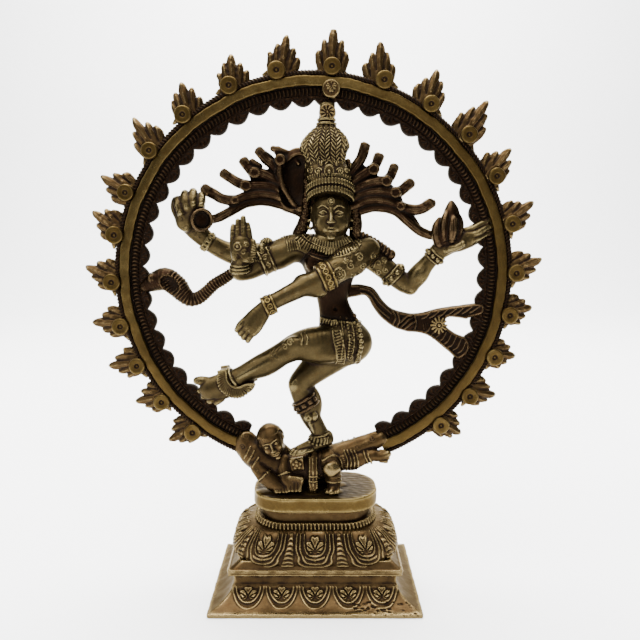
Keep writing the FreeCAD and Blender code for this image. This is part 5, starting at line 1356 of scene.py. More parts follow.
# scrolled armlet standing over the upper arm
q = B.sub((-34, -19, 172), (-16, 7, 197))
band(q, (-26.0, -6.2, 181.6), (-0.89, -0.2, -0.42), 7.2, 2.6, 0.6)
q.do(ell((-25.4, -5.0, 189.4), (4.0, 3.4, 4.4), rot("y", 15)), 1.2)
q.do(ell((-27.4, -9.6, 187.4), (2.6, 2.4, 3.6)), 1.2)
B.add("armlet_front_right", q)
q = B.sub((-46, -22, 170), (-28, -4, 186))
ring_at(q, (-38.3, -12.6, 177.6), (-0.05, -0.35, 0.95), 5.0, 0.75)
ring_at(q, (-38.2, -13.2, 179.2), (-0.05, -0.35, 0.95), 4.9, 0.75)
ring_at(q, (-38.0, -13.8, 180.8), (-0.05, -0.35, 0.95), 4.7, 0.6)
B.add("bracelet_front_right", q)
q = B.sub((-16, -17, 96), (8, 4, 114))
band(q, (-5.2, -7.0, 105.4), AX["calf"], 6.5, 2.5, 0.75)
B.add("calf_band", q)

# pleated anklet of the raised leg
q = B.sub((-53, -25, 108), (-25, -8, 130))
fr_in = spline2([(-45.6, 126.4), (-45.2, 122.0), (-43.0, 118.6), (-39.6, 117.2), (-35.6, 118.8)], 20)
fr_out = spline2([(-49.0, 126.0), (-49.4, 120.4), (-46.8, 115.4), (-42.0, 112.9), (-36.4, 113.8), (-31.0, 119.4)], 20)
for a, b in zip(fr_in, fr_out):
    for y in (-1, 1):
        q.do(cap((a[0], -17 + y * 5.2, a[1]), (b[0], -17.2 + y * 5.6, b[1]), 0.95, 0.8), 0.15)
q.do(tor((-42.0, -17, 121.6), 5.6, 0.8, frame_to(AX["shin"])), 0.8)
X, Y, Z = q.at((slice(None),) * 3)
pl = poly2d([tuple(v) for v in fr_in] + [tuple(v) for v in fr_out[::-1]], X[:, 0, :], Z[0][0][None, :])[:, None, :]
fill = np.maximum(pl, np.abs(Y + F32(17.0)) - F32(5.6))
q.f = smin(q.f, fill.astype(F32), 0.3)
B.add("anklet_raised", q)
FRILL = (fr_in, fr_out)

q = B.sub((-7, -14, 79), (14, 5, 95))
band(q, (2.6, -4.8, 86.6), (-0.18, 0.0, 0.98), 5.0, 0.9, 0.5)
for a in np.linspace(0, 2 * math.pi, 18, endpoint=False):
    q.do(cap((2.4 + 5.2 * math.cos(a), -4.8 + 5.2 * math.sin(a), 86.0), (1.9 + 5.7 * math.cos(a), -4.9 + 5.7 * math.sin(a), 83.4), 0.85, 0.75), 0.1)
B.add("anklet_standing", q)

# waist belt
q = B.sub((-2, -16, 143), (30, 9, 153))
X, Y, Z = q.at((slice(None),) * 3)
sk = Z - F32(149.0) + (X - F32(13)) * F32(0.12)
oval = rrect(X - F32(13.5), Y + F32(2.6), F32(11.4), F32(8.7), F32(8.6))
q.f = np.maximum(np.maximum(oval, -oval - F32(2.4)), np.abs(sk) - F32(1.7)).astype(F32)
q.do(cyl((10.2, -11.4, 149.2), 2.2, 1.0, frame_to((0, -1, 0)), 0.4), 0.3)
B.add("waist_belt", q)

# collar of two ribbed rows
q = B.sub((-14, -17, 181), (30, 10, 200))
ovals(q, [(8.2, -3.4, 184.6, 15.6, 9.2), (8.3, -3.6, 187.6, 14.6, 9.3), (8.4, -3.6, 190.4, 12.8, 9.0), (8.4, -3.6, 193.2, 10.4, 8.4), (8.3, -3.4, 196.2, 8.0, 7.4)])
X, Y, Z = q.at((slice(None),) * 3)
low = F32(185.0) + ((X - F32(8.4)) / F32(15.4)) ** 2 * F32(8.5)
low = np.where(Y > -3.4, F32(187.5) + ((X - F32(8.4)) / F32(15.4)) ** 2 * F32(4.5), low)
q.f = np.maximum(q.f, low - Z).astype(F32)
B.add("collar", q)

q = B.sub((18, -7, 178), (46, 9, 200))
tas = curve([(22.4, -2.5, 195.0, 2.7), (26.8, -1.2, 192.9, 3.1), (31.6, 0, 190.2, 3.3), (36.2, 0.8, 187.2, 3.3), (40.0, 1, 184.6, 3.1)], 26)
q.chain(tas[:, :3], tas[:, 3])
sl_, d_, s_ = along(q, tas[:, :3])
q.f = q.f + (F32(0.55) * (F32(0.5) - F32(0.5) * np.cos(s_ * F32(2 * math.pi / 2.3)))) * (q.f < 1.5)
B.add("shoulder_tassel", q)

U = B.c
# ---- chased and raised ornament on the blended skin
# collar rows
row1 = spline2([(-9.4, 194.0), (-7.2, 191.4), (-3.0, 188.6), (2.2, 186.8), (8.2, 186.0), (14.2, 186.8), (18.8, 189.0), (22.6, 192.4)], 30)
row2 = spline2([(-6.9, 197.0), (-3.6, 194.0), (0.6, 191.7), (4.4, 190.5), (8.5, 190.1), (12.8, 190.6), (16.8, 192.2), (20.5, 195.4)], 30)
ribs(U, row1, 3.0, 1.42, 0.62, lift=0.15)
ribs(U, row2, 2.4, 1.36, 0.52, lift=0.1)
U.draw(spline2([(-10.6, 192.6), (-8.4, 189.3), (-3.6, 186.3), (2.2, 184.5), (8.2, 183.7), (14.2, 184.5), (19.6, 186.8), (23.4, 190.0)], 30), 0.5, lift=0.1)
U.draw(row2 + [0, -1.7], 0.3, lift=0.15)
ribs(U, [(-6, 193.5), (8.3, 190.5), (22, 193.5)], 3.2, 1.5, 0.6, side=1, lift=0.1)
# garland falling to the right breast, fan at the shoulder
U.draw([(-9.1, 187.9), (-6.7, 187.0), (-2.0, 184.3), (4.6, 181.9)], 0.42, lift=0.2)
for i_ in range(6):
    x0 = -14.6 + i_ * 1.25
    U.draw([(x0, 192.2 - 0.15 * i_), (x0 + 1.0, 187.0 + 0.25 * i_)], 0.5, lift=0.12)
ribs(U, [(-30.0, 192.0), (-24.3, 192.4), (-18.3, 194.0), (-12.3, 194.9)], 2.4, 1.35, 0.5, lift=0.1, tilt=0.35)
# sleeve of the front left arm
U.draw(loop2(12.4, 175.6, 3.0, 18), 0.42, lift=0.15)
U.draw(loop2(12.4, 175.6, 1.5, 10), 0.35, lift=0.1)
U.dots([(12.4, 175.6)], 0.75, lift=0.1)
ribs(U, loop2(12.4, 175.6, 2.25, 24), 0.9, 1.3, 0.25)
for (x, z, r_, sd) in ((18.2, 179.8, 2.3, 1), (22.8, 183.8, 2.2, 2), (15.6, 182.6, 1.6, 3), (19.6, 174.4, 1.8, 4), (24.6, 179.0, 1.9, 5), (20.6, 187.6, 1.7, 6)):
    U.draw(spiral(x, z, r_, 1.3, sd * 1.3, 16, 1 if sd % 2 else -1), 0.38, lift=0.12, step=0.5)
    U.dots([(x, z)], 0.5, lift=0.1)
scribble(U, [(14.6, 179.4), (17.0, 184.0), (21.4, 180.6), (25.8, 184.6), (16.4, 176.6), (23.4, 176.4), (10.4, 180.0), (18.4, 187.2)], 1.3, 21)
# chased leaves on the back left upper arm
for (x, z, sd) in ((30.4, 184.2, 1), (33.4, 180.2, 2), (36.2, 182.0, 3), (29.6, 178.8, 4), (37.4, 176.4, 5), (33.6, 175.2, 6)):
    U.draw(spiral(x, z, 1.8, 1.2, sd * 1.7, 14, 1 if sd % 2 else -1), 0.34, lift=0.1, step=0.5)
scribble(U, [(31.6, 181.8), (35.2, 178.6), (34.6, 184.2), (28.4, 181.4), (36.6, 179.6)], 1.2, 22)
# scrolls on the right armlet
for (x, z, r_, a) in ((-26.0, 191.0, 1.6, 0), (-23.6, 188.2, 1.5, 2), (-27.4, 187.2, 1.7, 4), (-25.4, 183.6, 1.6, 1), (-28.0, 182.4, 1.3, 3), (-24.0, 180.0, 1.4, 5)):
    U.draw(spiral(x, z, r_, 1.3, a, 14), 0.36, lift=0.12, step=0.5)
ribs(U, [(-29.8, 190.6), (-31.0, 186.0), (-30.0, 181.0)], 2.0, 1.2, 0.36)
# palm and fingers
U.draw(loop2(-38.7, 189.4, 1.8, 14), 0.36, lift=0.1)
U.dots([(-38.7, 189.4)], 0.8, lift=0.0)
U.draw(spiral(-35.6, 186.6, 1.5, 1.3, 0.5, 12), 0.33, lift=0.1, step=0.4)
U.draw(spiral(-34.0, 190.2, 1.4, 1.3, 2.5, 12, -1), 0.33, lift=0.1, step=0.4)
U.draw([(-41.2, 186.0), (-38.8, 185.4), (-36.4, 182.9)], 0.28, op="-", lift=0.0)
U.draw([(-40.6, 192.2), (-37.4, 191.8), (-33.2, 192.2)], 0.26, op="-", lift=0.0)
for x, z0 in ((-41.3, 194.2), (-39.1, 195.4), (-36.2, 196.4), (-33.4, 195.2)):
    for dz in (0, 3.2):
        U.draw([(x - 1.1, z0 + dz), (x, z0 + dz - 0.4), (x + 1.1, z0 + dz)], 0.26, op="-", lift=0.0)
        scribble(U, [(x, z0 + dz + 1.5)], 0.65, int(x * 7) % 50 + 60, r=0.16)
scribble(U, [(-38.8, 184.0), (-35.6, 180.2), (-32.8, 183.0), (-40.8, 181.0), (-33.4, 187.2)], 1.1, 23)
# knuckles of the hanging hand
for (a, b) in (((-35.4, 152.2), (-36.2, 149.6)), ((-34.9, 149.2), (-36.0, 146.8)), ((-33.4, 147.0), (-34.8, 145.0))):
    U.draw([a, b], 0.2, op="-")
U.draw([(-33.2, 151.4), (-36.6, 149.0), (-38.4, 146.6)], 0.22, op="-")
U.draw([(-32.6, 149.0), (-35.2, 146.9), (-36.9, 144.6)], 0.22, op="-")
U.draw([(-31.4, 148.0), (-33.6, 145.4), (-35.0, 142.6)], 0.22, op="-")
# raised knee
for dx in (0, 2.6):
    U.draw(spline2([(-5.0 - dx, 145.4), (-3.6 - dx, 143.0), (-4.2 - dx, 140.2)], 8), 0.42, lift=0.15)
U.draw(spiral(-12.6, 141.0, 1.8, 1.2, 0.4, 14), 0.4, lift=0.15, step=0.5)
U.draw(spiral(-15.4, 138.6, 1.6, 1.2, 2.4, 14, -1), 0.36, lift=0.1, step=0.5)
for (a, b, c_) in (((-17.8, 138.6), (-19.4, 136.2), (-19.0, 133.4)), ((-20.2, 137.8), (-21.8, 135.0), (-20.6, 132.2)), ((-22.4, 136.4), (-23.0, 134.2), (-21.8, 131.8))):
    U.draw(spline2([a, b, c_], 8), 0.26, op="-")
U.draw([(-19.0, 136.6), (-22.6, 134.6), (-20.4, 133.8)], 0.24, op="-")
# cloth: hem of stacked ribs between two wires, rings, a bead line and a hanging tassel
h1 = spline2([(9.0, 147.0), (9.6, 142.0), (10.9, 137.0), (11.3, 131.6), (10.6, 128.6)], 20)
h2 = spline2([(13.2, 146.4), (14.0, 142.0), (15.2, 137.0), (15.4, 131.4), (14.8, 127.8)], 20)
for hl in (h1, h2):
    for sd in (-1, 1):
        U.draw(hl, 0.5, sd, lift=0.15)
hm = (h1 + h2) / 2
for sd in (-1, 1):
    ribs(U, hm, 2.9, 1.45, 0.46, sd, lift=0.05)
for sd in (-1, 1):
    for (x, z, r_) in ((18.6, 143.4, 1.5), (19.0, 139.7, 1.6), (18.6, 135.6, 1.6), (18.4, 131.6, 1.4)):
        U.draw(loop2(x, z, r_, 14), 0.34, sd, lift=0.12)
        U.dots([(x, z)], 0.6, sd, lift=0.05)
    U.dots(spline2([(20.6, 149.6), (21.6, 145.6), (22.5, 141.2), (22.9, 137.0), (22.6, 132.8)], 20), 0.62, sd, lift=0.1, gap=1.4)
    ribs(U, [(16.8, 148.3), (20.6, 148.4), (24.2, 146.6)], 2.0, 1.3, 0.45, sd, lift=0.1)
    ribs(U, [(2.6, 150.6), (8.0, 149.6), (16.0, 148.6), (24.4, 147.4)], 2.3, 1.35, 0.42, sd, lift=0.1)
scribble(U, [(16.8, 140.6), (20.6, 136.2), (16.6, 133.8), (20.8, 133.0), (20.4, 142.6)], 0.9, 24)
for i_, z in enumerate(np.arange(144.0, 132.6, -1.5)):
    x = 24.6 + 1.5 * math.sin((146 - z) * 0.22)
    for sd, y in ((-1, -6.0), (1, -0.2)):
        U.do(ell((x, y, z), (2.0, 2.2, 0.85), rot("y", 22)), 0.25)
U.do(ell((26.2, -3.6, 133.2), (1.9, 3.4, 1.6)), 0.6)
# calf band blocks, shin stud
Mc = frame_to(AX["calf"])
for a in np.linspace(0, 2 * math.pi, 11, endpoint=False):
    c0 = np.array([-5.2, -7.0, 105.4]) + Mc @ np.array([6.6 * math.cos(a), 6.6 * math.sin(a), 0])
    R_ = frame_to(Mc @ np.array([math.cos(a), math.sin(a), 0]), AX["calf"])
    U.do(box(c0, (1.25, 1.15, 0.8), R_, 0.3), 0.1)
    U.do(ell(c0 + R_[:, 2] * 0.9, (0.6, 0.6, 0.35), R_), 0.1)
U.do(ell((-3.6, -11.6, 98.6), (2.3, 1.5, 2.4)), 0.4)
U.do(ell((-0.6, -10.9, 99.0), (1.9, 1.6, 2.6)), 0.4)
U.dots([(-3.6, 98.6)], 0.7, op="-", lift=0.0)
U.draw(spline2([(-2.4, 96.0), (0.8, 96.4), (1.8, 99.6), (0.2, 102.0)], 10), 0.28, op="-")
# pleats of the frill, front and back
fi, fo = spline2([tuple(v) for v in FRILL[0][::4]] + [tuple(FRILL[0][-1])], 24), spline2([tuple(v) for v in FRILL[1][::4]] + [tuple(FRILL[1][-1])], 24)
for a, b in zip(fi, fo):
    for sd in (-1, 1):
        U.draw([a * 0.92 + b * 0.08, b * 1.04 - a * 0.04], 0.4, sd, "-", 0.2, 0.0, 0.5)
# anklet beads over the standing foot and toe nails
U.dots([(-3.0, 84.4), (-1.2, 83.7), (0.8, 83.3), (2.8, 83.5)], 0.85, lift=0.1)
for a, b in ((( -58.6, 120.2), (-61.6, 120.6)), ((-58.2, 115.0), (-60.4, 114.4)), ((-56.4, 111.9), (-58.4, 110.8)), ((-53.8, 109.6), (-55.4, 108.4))):
    m_ = (np.array(a) * 0.35 + np.array(b) * 0.65)
    U.draw(loop2(m_[0], m_[1], 0.85, 10, 0.6), 0.17, op="-")
# hoops on the drum arm wrist and a plain wire above the elbow
for C_, r_ in (((-56.6, 3.4, 190.8), 5.0), ((-58.6, 2.8, 192.4), 5.1)):
    U.do(tor(C_, r_, 0.75, frame_to((-0.80, -0.2, 0.55))), 0.3)
beads_at(U, (-57.6, 3.1, 191.6), (-0.80, -0.2, 0.55), 5.2, 0.9, 14, 0.1)
scribble(U, [(-44.0, 186.0), (-47.0, 188.6), (-43.0, 182.4), (-49.4, 186.2)], 1.1, 25)
U.f += rough(0.07, 7, 11)(*U.at((slice(None),) * 3))

U = B.c
tas = spline2([(20.6, 152.6), (22.4, 148.0), (23.6, 143.0), (23.8, 137.6), (22.6, 133.0)], 9)
U.dots([tuple(q) for q in tas], 1.45, lift=0.55)
for k_ in (0, 1, 2):
    U.draw(loop2(*(tas[-1] + [0.0, -1.6 - 1.5 * k_]), 0.9 + 0.3 * k_, 10), 0.45, lift=0.2)
for x0, z1, z2 in ((13.2, 152.8, 131.4), (19.0, 151.0, 131.8)):
    U.draw(spline2([(x0, z1), (x0 + 1.4, (z1 + z2) / 2), (x0 + 0.2, z2)], 12), 0.4, lift=0.15)
U.dots([tuple(q) for q in spline2([(16.4, 151.6), (17.8, 142.0), (17.0, 132.4)], 13)], 0.75, lift=0.2)
U.draw(spline2([(8.0, 184.0), (9.6, 176.0), (10.4, 166.0), (10.0, 158.0)], 14), 0.45, 1, "-", 0.3, 0.0, 0.4)
TINT = {"hand_front_right": lambda P: 0.05, "hand_front_left": lambda P: 0.02, "foot_raised": lambda P: 0.05, "anklet_raised": lambda P: 0.05, "foot_standing": lambda P: 0.03, "arm_front_right": lambda P: 0.03, "torso": lambda P: 0.06, "collar": lambda P: -0.13}
for nm, mt, slot, r_ in (("torso", M_DARK, "dark_brass", 0.9), ("shorts", M_FIG, "figure_brass", 0.75), ("waist_belt", M_FIG, "figure_brass", 0.6), ("collar", M_FIG, "figure_brass", 0.6),
                         ("arm_front_right", M_FIG, "figure_brass", 0.8), ("hand_front_right", M_FIG, "figure_brass", 0.6), ("arm_front_left", M_FIG, "figure_brass", 0.8), ("hand_front_left", M_FIG, "figure_brass", 0.6),
                         ("arm_back_right", M_FIG, "figure_brass", 0.8), ("arm_back_left", M_FIG, "figure_brass", 0.8),
                         ("armlet_front_right", M_FIG, "figure_brass", 0.6), ("armlet_front_left", M_POL, "polished_brass", 0.6), ("armlet_back_left", M_FIG, "figure_brass", 0.6),
                         ("bracelet_front_right", M_FIG, "figure_brass", 0.6), ("bracelet_front_left", M_POL, "polished_brass", 0.6), ("bracelet_back_left", M_FIG, "figure_brass", 0.6), ("shoulder_tassel", M_DARK, "dark_brass", 0.6),
                         ("leg_raised", M_FIG, "figure_brass", 0.9), ("foot_raised", M_FIG, "figure_brass", 0.6), ("anklet_raised", M_FIG, "figure_brass", 0.6),
                         ("leg_standing", M_FIG, "figure_brass", 0.9), ("foot_standing", M_FIG, "figure_brass", 0.6), ("anklet_standing", M_FIG, "figure_brass", 0.6), ("calf_band", M_DARK, "dark_brass", 0.6)):
    B.out(nm, mt, [nm], slot, r_, tint=TINT.get(nm))
del B, U


# ------------------------------------------------------------------ head
HX = 8.2
c = Clay((-9, -20.5, 190), (25.5, 11, 226), 0.2)
c.do(ell((HX, -3.2, 209), (10.1, 10.8, 13.0)))
c.do(ell((HX, -5.6, 202.4), (7.9, 8.2, 7.8)), 5.0)
c.do(cap((HX, -3.0, 200), (HX, -3.0, 190), 5.6, 6.2), 2.0)
for s_ in (-1, 1):
    c.do(ell((HX + s_ * 4.6, -10.2, 203.9), (3.4, 3.0, 3.6)), 2.5)
    c.do(ell((HX + s_ * 3.95, -14.9, 209.3), (2.7, 2.0, 1.75)), 1.3, "-")
    c.do(ell((HX + s_ * 3.9, -11.9, 209.1), (2.15, 1.75, 1.45)), 0.35)
    y0 = -13.2
    up = [(HX + s_ * 1.7, y0 - 0.1, 208.9), (HX + s_ * 2.8, y0 - 0.55, 209.95), (HX + s_ * 4.0, y0 - 0.5, 210.25), (HX + s_ * 5.3, y0 + 0.15, 209.8), (HX + s_ * 6.3, y0 + 1.1, 209.0)]
    c.chain(curve([(*q, 0) for q in up], 14)[:, :3], 0.36, 0.15)
    lid = [(HX + s_ * 1.7, y0 - 0.15, 208.8), (HX + s_ * 3.0, y0 - 0.55, 208.3), (HX + s_ * 4.2, y0 - 0.45, 208.15), (HX + s_ * 5.5, y0 + 0.25, 208.4), (HX + s_ * 6.3, y0 + 1.1, 208.9)]
    c.chain(curve([(*q, 0) for q in lid], 14)[:, :3], 0.24, 0.1, "-")
    lo_ = [(q[0], q[1] + 0.05, q[2] - 0.75) for q in lid]
    c.chain(curve([(*q, 0) for q in lo_], 14)[:, :3], 0.3, 0.3)
    br = [(HX + s_ * 1.5, -13.9, 211.4), (HX + s_ * 3.0, -13.9, 212.5), (HX + s_ * 4.8, -13.1, 212.8), (HX + s_ * 6.6, -11.6, 211.9)]
    c.chain(curve([(*q, 0) for q in br], 14)[:, :3], 0.42, 0.5)
    c.do(ell((HX + s_ * 1.35, -15.2, 204.6), (0.95, 1.15, 0.85)), 0.5)
    c.do(ell((HX + s_ * 0.75, -16.1, 203.95), (0.4, 0.6, 0.35)), 0.2, "-")
    # ear with a long lobe and a hoop
    c.do(tor((HX + s_ * 10.2, -3.0, 210.4), 2.1, 0.75, frame_to((1, -0.25 * s_, 0))), 0.3)
    c.do(ell((HX + s_ * 10.0, -3.2, 206.9), (0.9, 1.3, 2.2)), 0.6)
    c.do(ell((HX + s_ * 10.3, -2.8, 210.4), (0.7, 1.0, 1.2)), 0.3, "-")
    c.do(tor((HX + s_ * 10.6, -4.0, 203.6), 2.1, 0.7, frame_to((0.35 * s_, -1, 0))), 0.2)
    c.do(ell((HX + s_ * 10.6, -4.6, 201.3), (0.9, 0.9, 0.9)), 0.2)
limb(c, [(HX, -13.3, 211.2, 0.9), (HX, -14.4, 208.6, 0.85), (HX, -15.6, 206.2, 1.0), (HX, -16.2, 204.8, 1.15)], 10, 0.9)
mouth = curve([(HX - 2.9, -13.6, 201.0, 0), (HX - 1.4, -14.6, 201.15, 0), (HX, -14.9, 200.95, 0), (HX + 1.4, -14.6, 201.15, 0), (HX + 2.9, -13.6, 201.0, 0)], 16)
c.do(ell((HX, -12.6, 201.0), (4.0, 2.4, 2.6)), 1.8)
up = curve([(HX - 2.7, -13.6, 201.2, 0.3), (HX - 1.1, -14.75, 201.85, 0.5), (HX, -15.0, 201.6, 0.48), (HX + 1.1, -14.75, 201.85, 0.5), (HX + 2.7, -13.6, 201.2, 0.3)], 16)
c.chain(up[:, :3], up[:, 3], 0.35)
lw = curve([(HX - 2.2, -13.7, 200.5, 0.3), (HX - 0.9, -14.6, 200.0, 0.55), (HX, -14.8, 199.9, 0.6), (HX + 0.9, -14.6, 200.0, 0.55), (HX + 2.2, -13.7, 200.5, 0.3)], 16)
c.chain(lw[:, :3], lw[:, 3], 0.35)
c.chain(mouth[:, :3], 0.22, 0.15, "-")
c.do(ell((HX, -12.6, 196.9), (2.5, 1.9, 1.8)), 1.6)
c.do(ell((HX, -14.9, 215.0), (1.2, 0.8, 1.2)), 0.2)
c.draw(loop2(HX, 215.0, 1.7, 16), 0.28, lift=0.05)
for z in (193.0, 194.6):
    c.do(tor((HX, -3.0, z), 6.1, 0.35, None), 0.4, "+")
c.f += rough(0.05, 5, 31)(*c.at((slice(None),) * 3))
# the head is 28 high for its width of 20, with the eye line half way up, at 206
c.lo = c.lo + np.array([0.0, 0.0, -3.1])
cast("head", c, M_FIG, ["head"], cav_r=0.7)

# two ribbed rows of the diadem
c = Clay((-7.5, -18.5, 210), (24, 11, 227), 0.22)


def diadem(a, z0, rise, R, Ry):
    return (8.0 + R * math.cos(a), -3.0 + Ry * math.sin(a), z0 + rise * max(0.0, -math.sin(a)) ** 1.3)


for (z0, rise, R, Ry, r0) in ((213.6, 4.6, 10.9, 11.3, 1.7), (218.0, 4.2, 11.2, 11.3, 1.75)):
    ang = np.linspace(0, 2 * math.pi, 72, endpoint=False)
    P_ = np.array([diadem(a, z0, rise, R, Ry) for a in ang])
    c.chain(P_, r0 * 0.86, 0.2, closed=True)
    n_ = 46
    for a in np.linspace(0, 2 * math.pi, n_, endpoint=False):
        q = np.array(diadem(a, z0, rise, R, Ry))
        o = np.array([math.cos(a), math.sin(a), 0])
        c.do(cap(q + o * 1.15 + [0, 0, -1.0], q + o * 1.15 + [0, 0, 1.0], 0.58, 0.58), 0.12)
X, Y, Z = c.at((slice(None),) * 3)
core = rrect(X - F32(8.0), Y + F32(3.0), F32(11.0), F32(11.2), F32(10.9))
rise_ = np.clip(-(Y + 3.0) / 11.2, 0, 1) ** 1.3
c.f = smin(c.f, np.maximum(core, np.abs(Z - (F32(217.0) + F32(4.4) * rise_)) - F32(4.4)).astype(F32), 0.2)
cast("forehead_band", c, M_FIG, ["forehead_band"], cav_r=0.55)

# crown of plaited locks
c = Clay((-9.5, -17, 219), (21, 12, 270), 0.23)
prof = [(7.2, -2.6, 219.5, 11.2, 10.8), (7.0, -2.4, 224.0, 12.2, 11.4), (6.6, -2.2, 228.0, 11.6, 10.6), (5.6, -1.8, 232.6, 9.9, 9.2), (4.9, -1.4, 236.4, 10.9, 9.6), (5.0, -1.3, 240.4, 12.3, 10.2), (5.5, -1.2, 244.6, 10.6, 8.8), (5.7, -1.0, 248.6, 7.0, 6.2), (5.8, -0.8, 251.0, 4.5, 4.2), (6.1, -0.8, 254.0, 4.2, 3.8), (6.4, -0.6, 262.0, 4.0, 3.4)]
ovals(c, prof, n=90)
X, Y, Z = c.at((slice(None),) * 3)
Pc = curve(prof, 90)
cx = np.interp(c.ax[2], Pc[:, 2], Pc[:, 0]).astype(F32)[None, None, :]
cy = np.interp(c.ax[2], Pc[:, 2], Pc[:, 1]).astype(F32)[None, None, :]
ra = np.interp(c.ax[2], Pc[:, 2], Pc[:, 3]).astype(F32)[None, None, :]
an = np.arctan2(X - cx, -(Y - cy))
u = an * F32(11 / (2 * math.pi))
du = u - np.round(u)
dm = np.abs(du) * F32(2 * math.pi / 11) * ra
wcol = F32(math.pi / 11) * ra
leaf = 0.5 + 0.5 * np.cos((Z - dm * F32(0.95)) * F32(2 * math.pi / 2.05))
side_ = np.clip((wcol - dm) / F32(0.8), 0, 1)
mid_ = np.clip(dm / F32(0.45), 0, 1)
pat = (0.15 + 0.85 * leaf * mid_) * side_
zone = step(Z, F32(230.6), F32(232.4)) * step(F32(252) - Z, F32(0.4), F32(1.6))
c.f = (c.f - zone * (pat * F32(0.95) - F32(0.25)) * (np.abs(c.f) < 3)).astype(F32)
# neck collars
for z, r0 in ((251.6, 4.7), (253.6, 4.3)):
    c.do(tor((5.9, -0.8, z), r0, 0.7, None), 0.25)
# ornament belt over the diadem: a central boss between scrolls
c.do(ell((7.2, -13.4, 227.2), (2.7, 1.6, 3.2)), 0.6)
c.draw(loop2(7.2, 226.9, 2.3, 16, 2.7), 0.42, lift=0.2)
c.dots([(7.2, 226.3)], 1.0, lift=0.25)
c.draw(spline2([(5.4, 230.4), (7.2, 232.0), (9.0, 230.4)], 8), 0.45, lift=0.2)
for (x, z, r_, a, hnd) in ((1.6, 226.8, 1.9, 0.3, 1), (12.8, 226.8, 1.9, 2.8, -1), (-2.2, 227.6, 1.8, 1.2, 1), (16.2, 227.8, 1.7, 1.9, -1), (3.4, 230.6, 1.2, 1, 1), (11.0, 230.6, 1.2, 1, -1)):
    c.draw(spiral(x, z, r_, 1.4, a, 16, hnd), 0.42, lift=0.22, step=0.45)
    c.dots([(x, z)], 0.55, lift=0.2)
for side in (-1, 1):
    ribs(c, spline2([(-4.0, 223.6), (0, 224.6), (7.2, 225.0), (14, 224.6), (18.4, 223.6)], 20), 1.2, 1.2, 0.38, side, lift=0.1)
    ribs(c, spline2([(-2.6, 231.2), (2, 231.6), (6.8, 232.4), (12, 231.6), (14.6, 231.2)], 20), 1.0, 1.1, 0.34, side, lift=0.1)
for z in (224.6, 227.4, 230.2):
    for s_ in (-1, 1):
        c.do(tor((6.8 + s_ * 11.6, -1.6, z), 1.1, 0.42, frame_to((1, 0, 0))), 0.15)
# back of the head: a ribbed wheel
c.do(cyl((7.2, 8.0, 224.0), 5.0, 1.6, frame_to((0, 1, 0)), 0.6), 0.6)
for a in np.linspace(0, 2 * math.pi, 16, endpoint=False):
    c.do(cap((7.2 + 2.0 * math.cos(a), 9.7, 224 + 2.0 * math.sin(a)), (7.2 + 4.2 * math.cos(a), 9.6, 224 + 4.2 * math.sin(a)), 0.4, 0.5), 0.15)
c.f += rough(0.05, 5, 32)(*c.at((slice(None),) * 3))
c.f = np.maximum(c.f, F32(221.5) - np.broadcast_to(c.ax[2][None, None, :], c.f.shape) - 4.4 * np.clip(-(np.broadcast_to(c.ax[1][None, :, None], c.f.shape) + 3.0) / 11.2, 0, 1) + 2.0).astype(F32)
cast("crown", c, M_FIG, ["crown"], cav_r=0.55)

# hair beside the face, falling to the shoulders
c = Clay((-14, -7, 190), (29, 8, 237), 0.25)
locks = ([(-3.4, 0.6, 233, 1.5), (-3.9, 0.4, 226, 2.1), (-4.0, 0.2, 219, 2.2), (-4.4, 0, 212, 2.4), (-4.8, -0.6, 206, 2.9), (-6.2, -1.4, 200, 3.5), (-8.6, -1.6, 195.6, 3.4)],
         [(17.2, 0.6, 233, 1.5), (18.6, 0.4, 226, 2.1), (19.2, 0.2, 219, 2.2), (20.0, 0, 212, 2.5), (21.0, -0.6, 206, 3.1), (21.4, -1.4, 200, 3.5), (20.8, -1.6, 195.0, 3.0)])
for L_ in locks:
    limb(c, L_, 30)
    q = curve(L_, 26)
    for i_ in range(1, 25):
        s_ = 1 if i_ % 2 else -1
        c.draw(spiral(q[i_, 0] + s_ * 0.8, q[i_, 2], 1.25, 1.2, i_ * 1.9, 10, s_), 0.3, -1, "+", 0.1, 0.05, 0.45)
        if i_ % 2:
            c.draw(spiral(q[i_, 0], q[i_, 2], 1.3, 1.0, i_ * 1.3, 10, s_), 0.3, 1, "+", 0.1, 0.05, 0.5)
cast("side_locks", c, M_DARK, ["side_locks"], cav_r=0.55)


# ------------------------------------------------------------------ flying hair
def tube_end(c, A, B, r, lip=0.45, deep=1.3):
    """A square-cut, slightly hollow end of a hair strand running from A to B."""
    A, B = np.asarray(A, float), np.asarray(B, float)
    d = (B - A) / np.linalg.norm(B - A)
    M = frame_to(d)
    c.do(box(B - d * 1.4, (r + lip, r + lip, 2.0), M, 0.6), 0.6)
    c.do(cyl(B + d * 0.7, r - 0.75, deep, M, 0.2), 0.15, "-")


def knob(c, x, z, r=2.2, y=-3.2, dx=0.0, dz=0.0):
    M = frame_to((dx, -1, dz))
    c.do(cyl((x, y + 1.4, z), r + 0.55, 2.7, M, 0.7), 0.8)
    c.do(cyl((x, y - 1.4, z), r - 0.45, 0.35, M, 0.1), 0.1, "-")


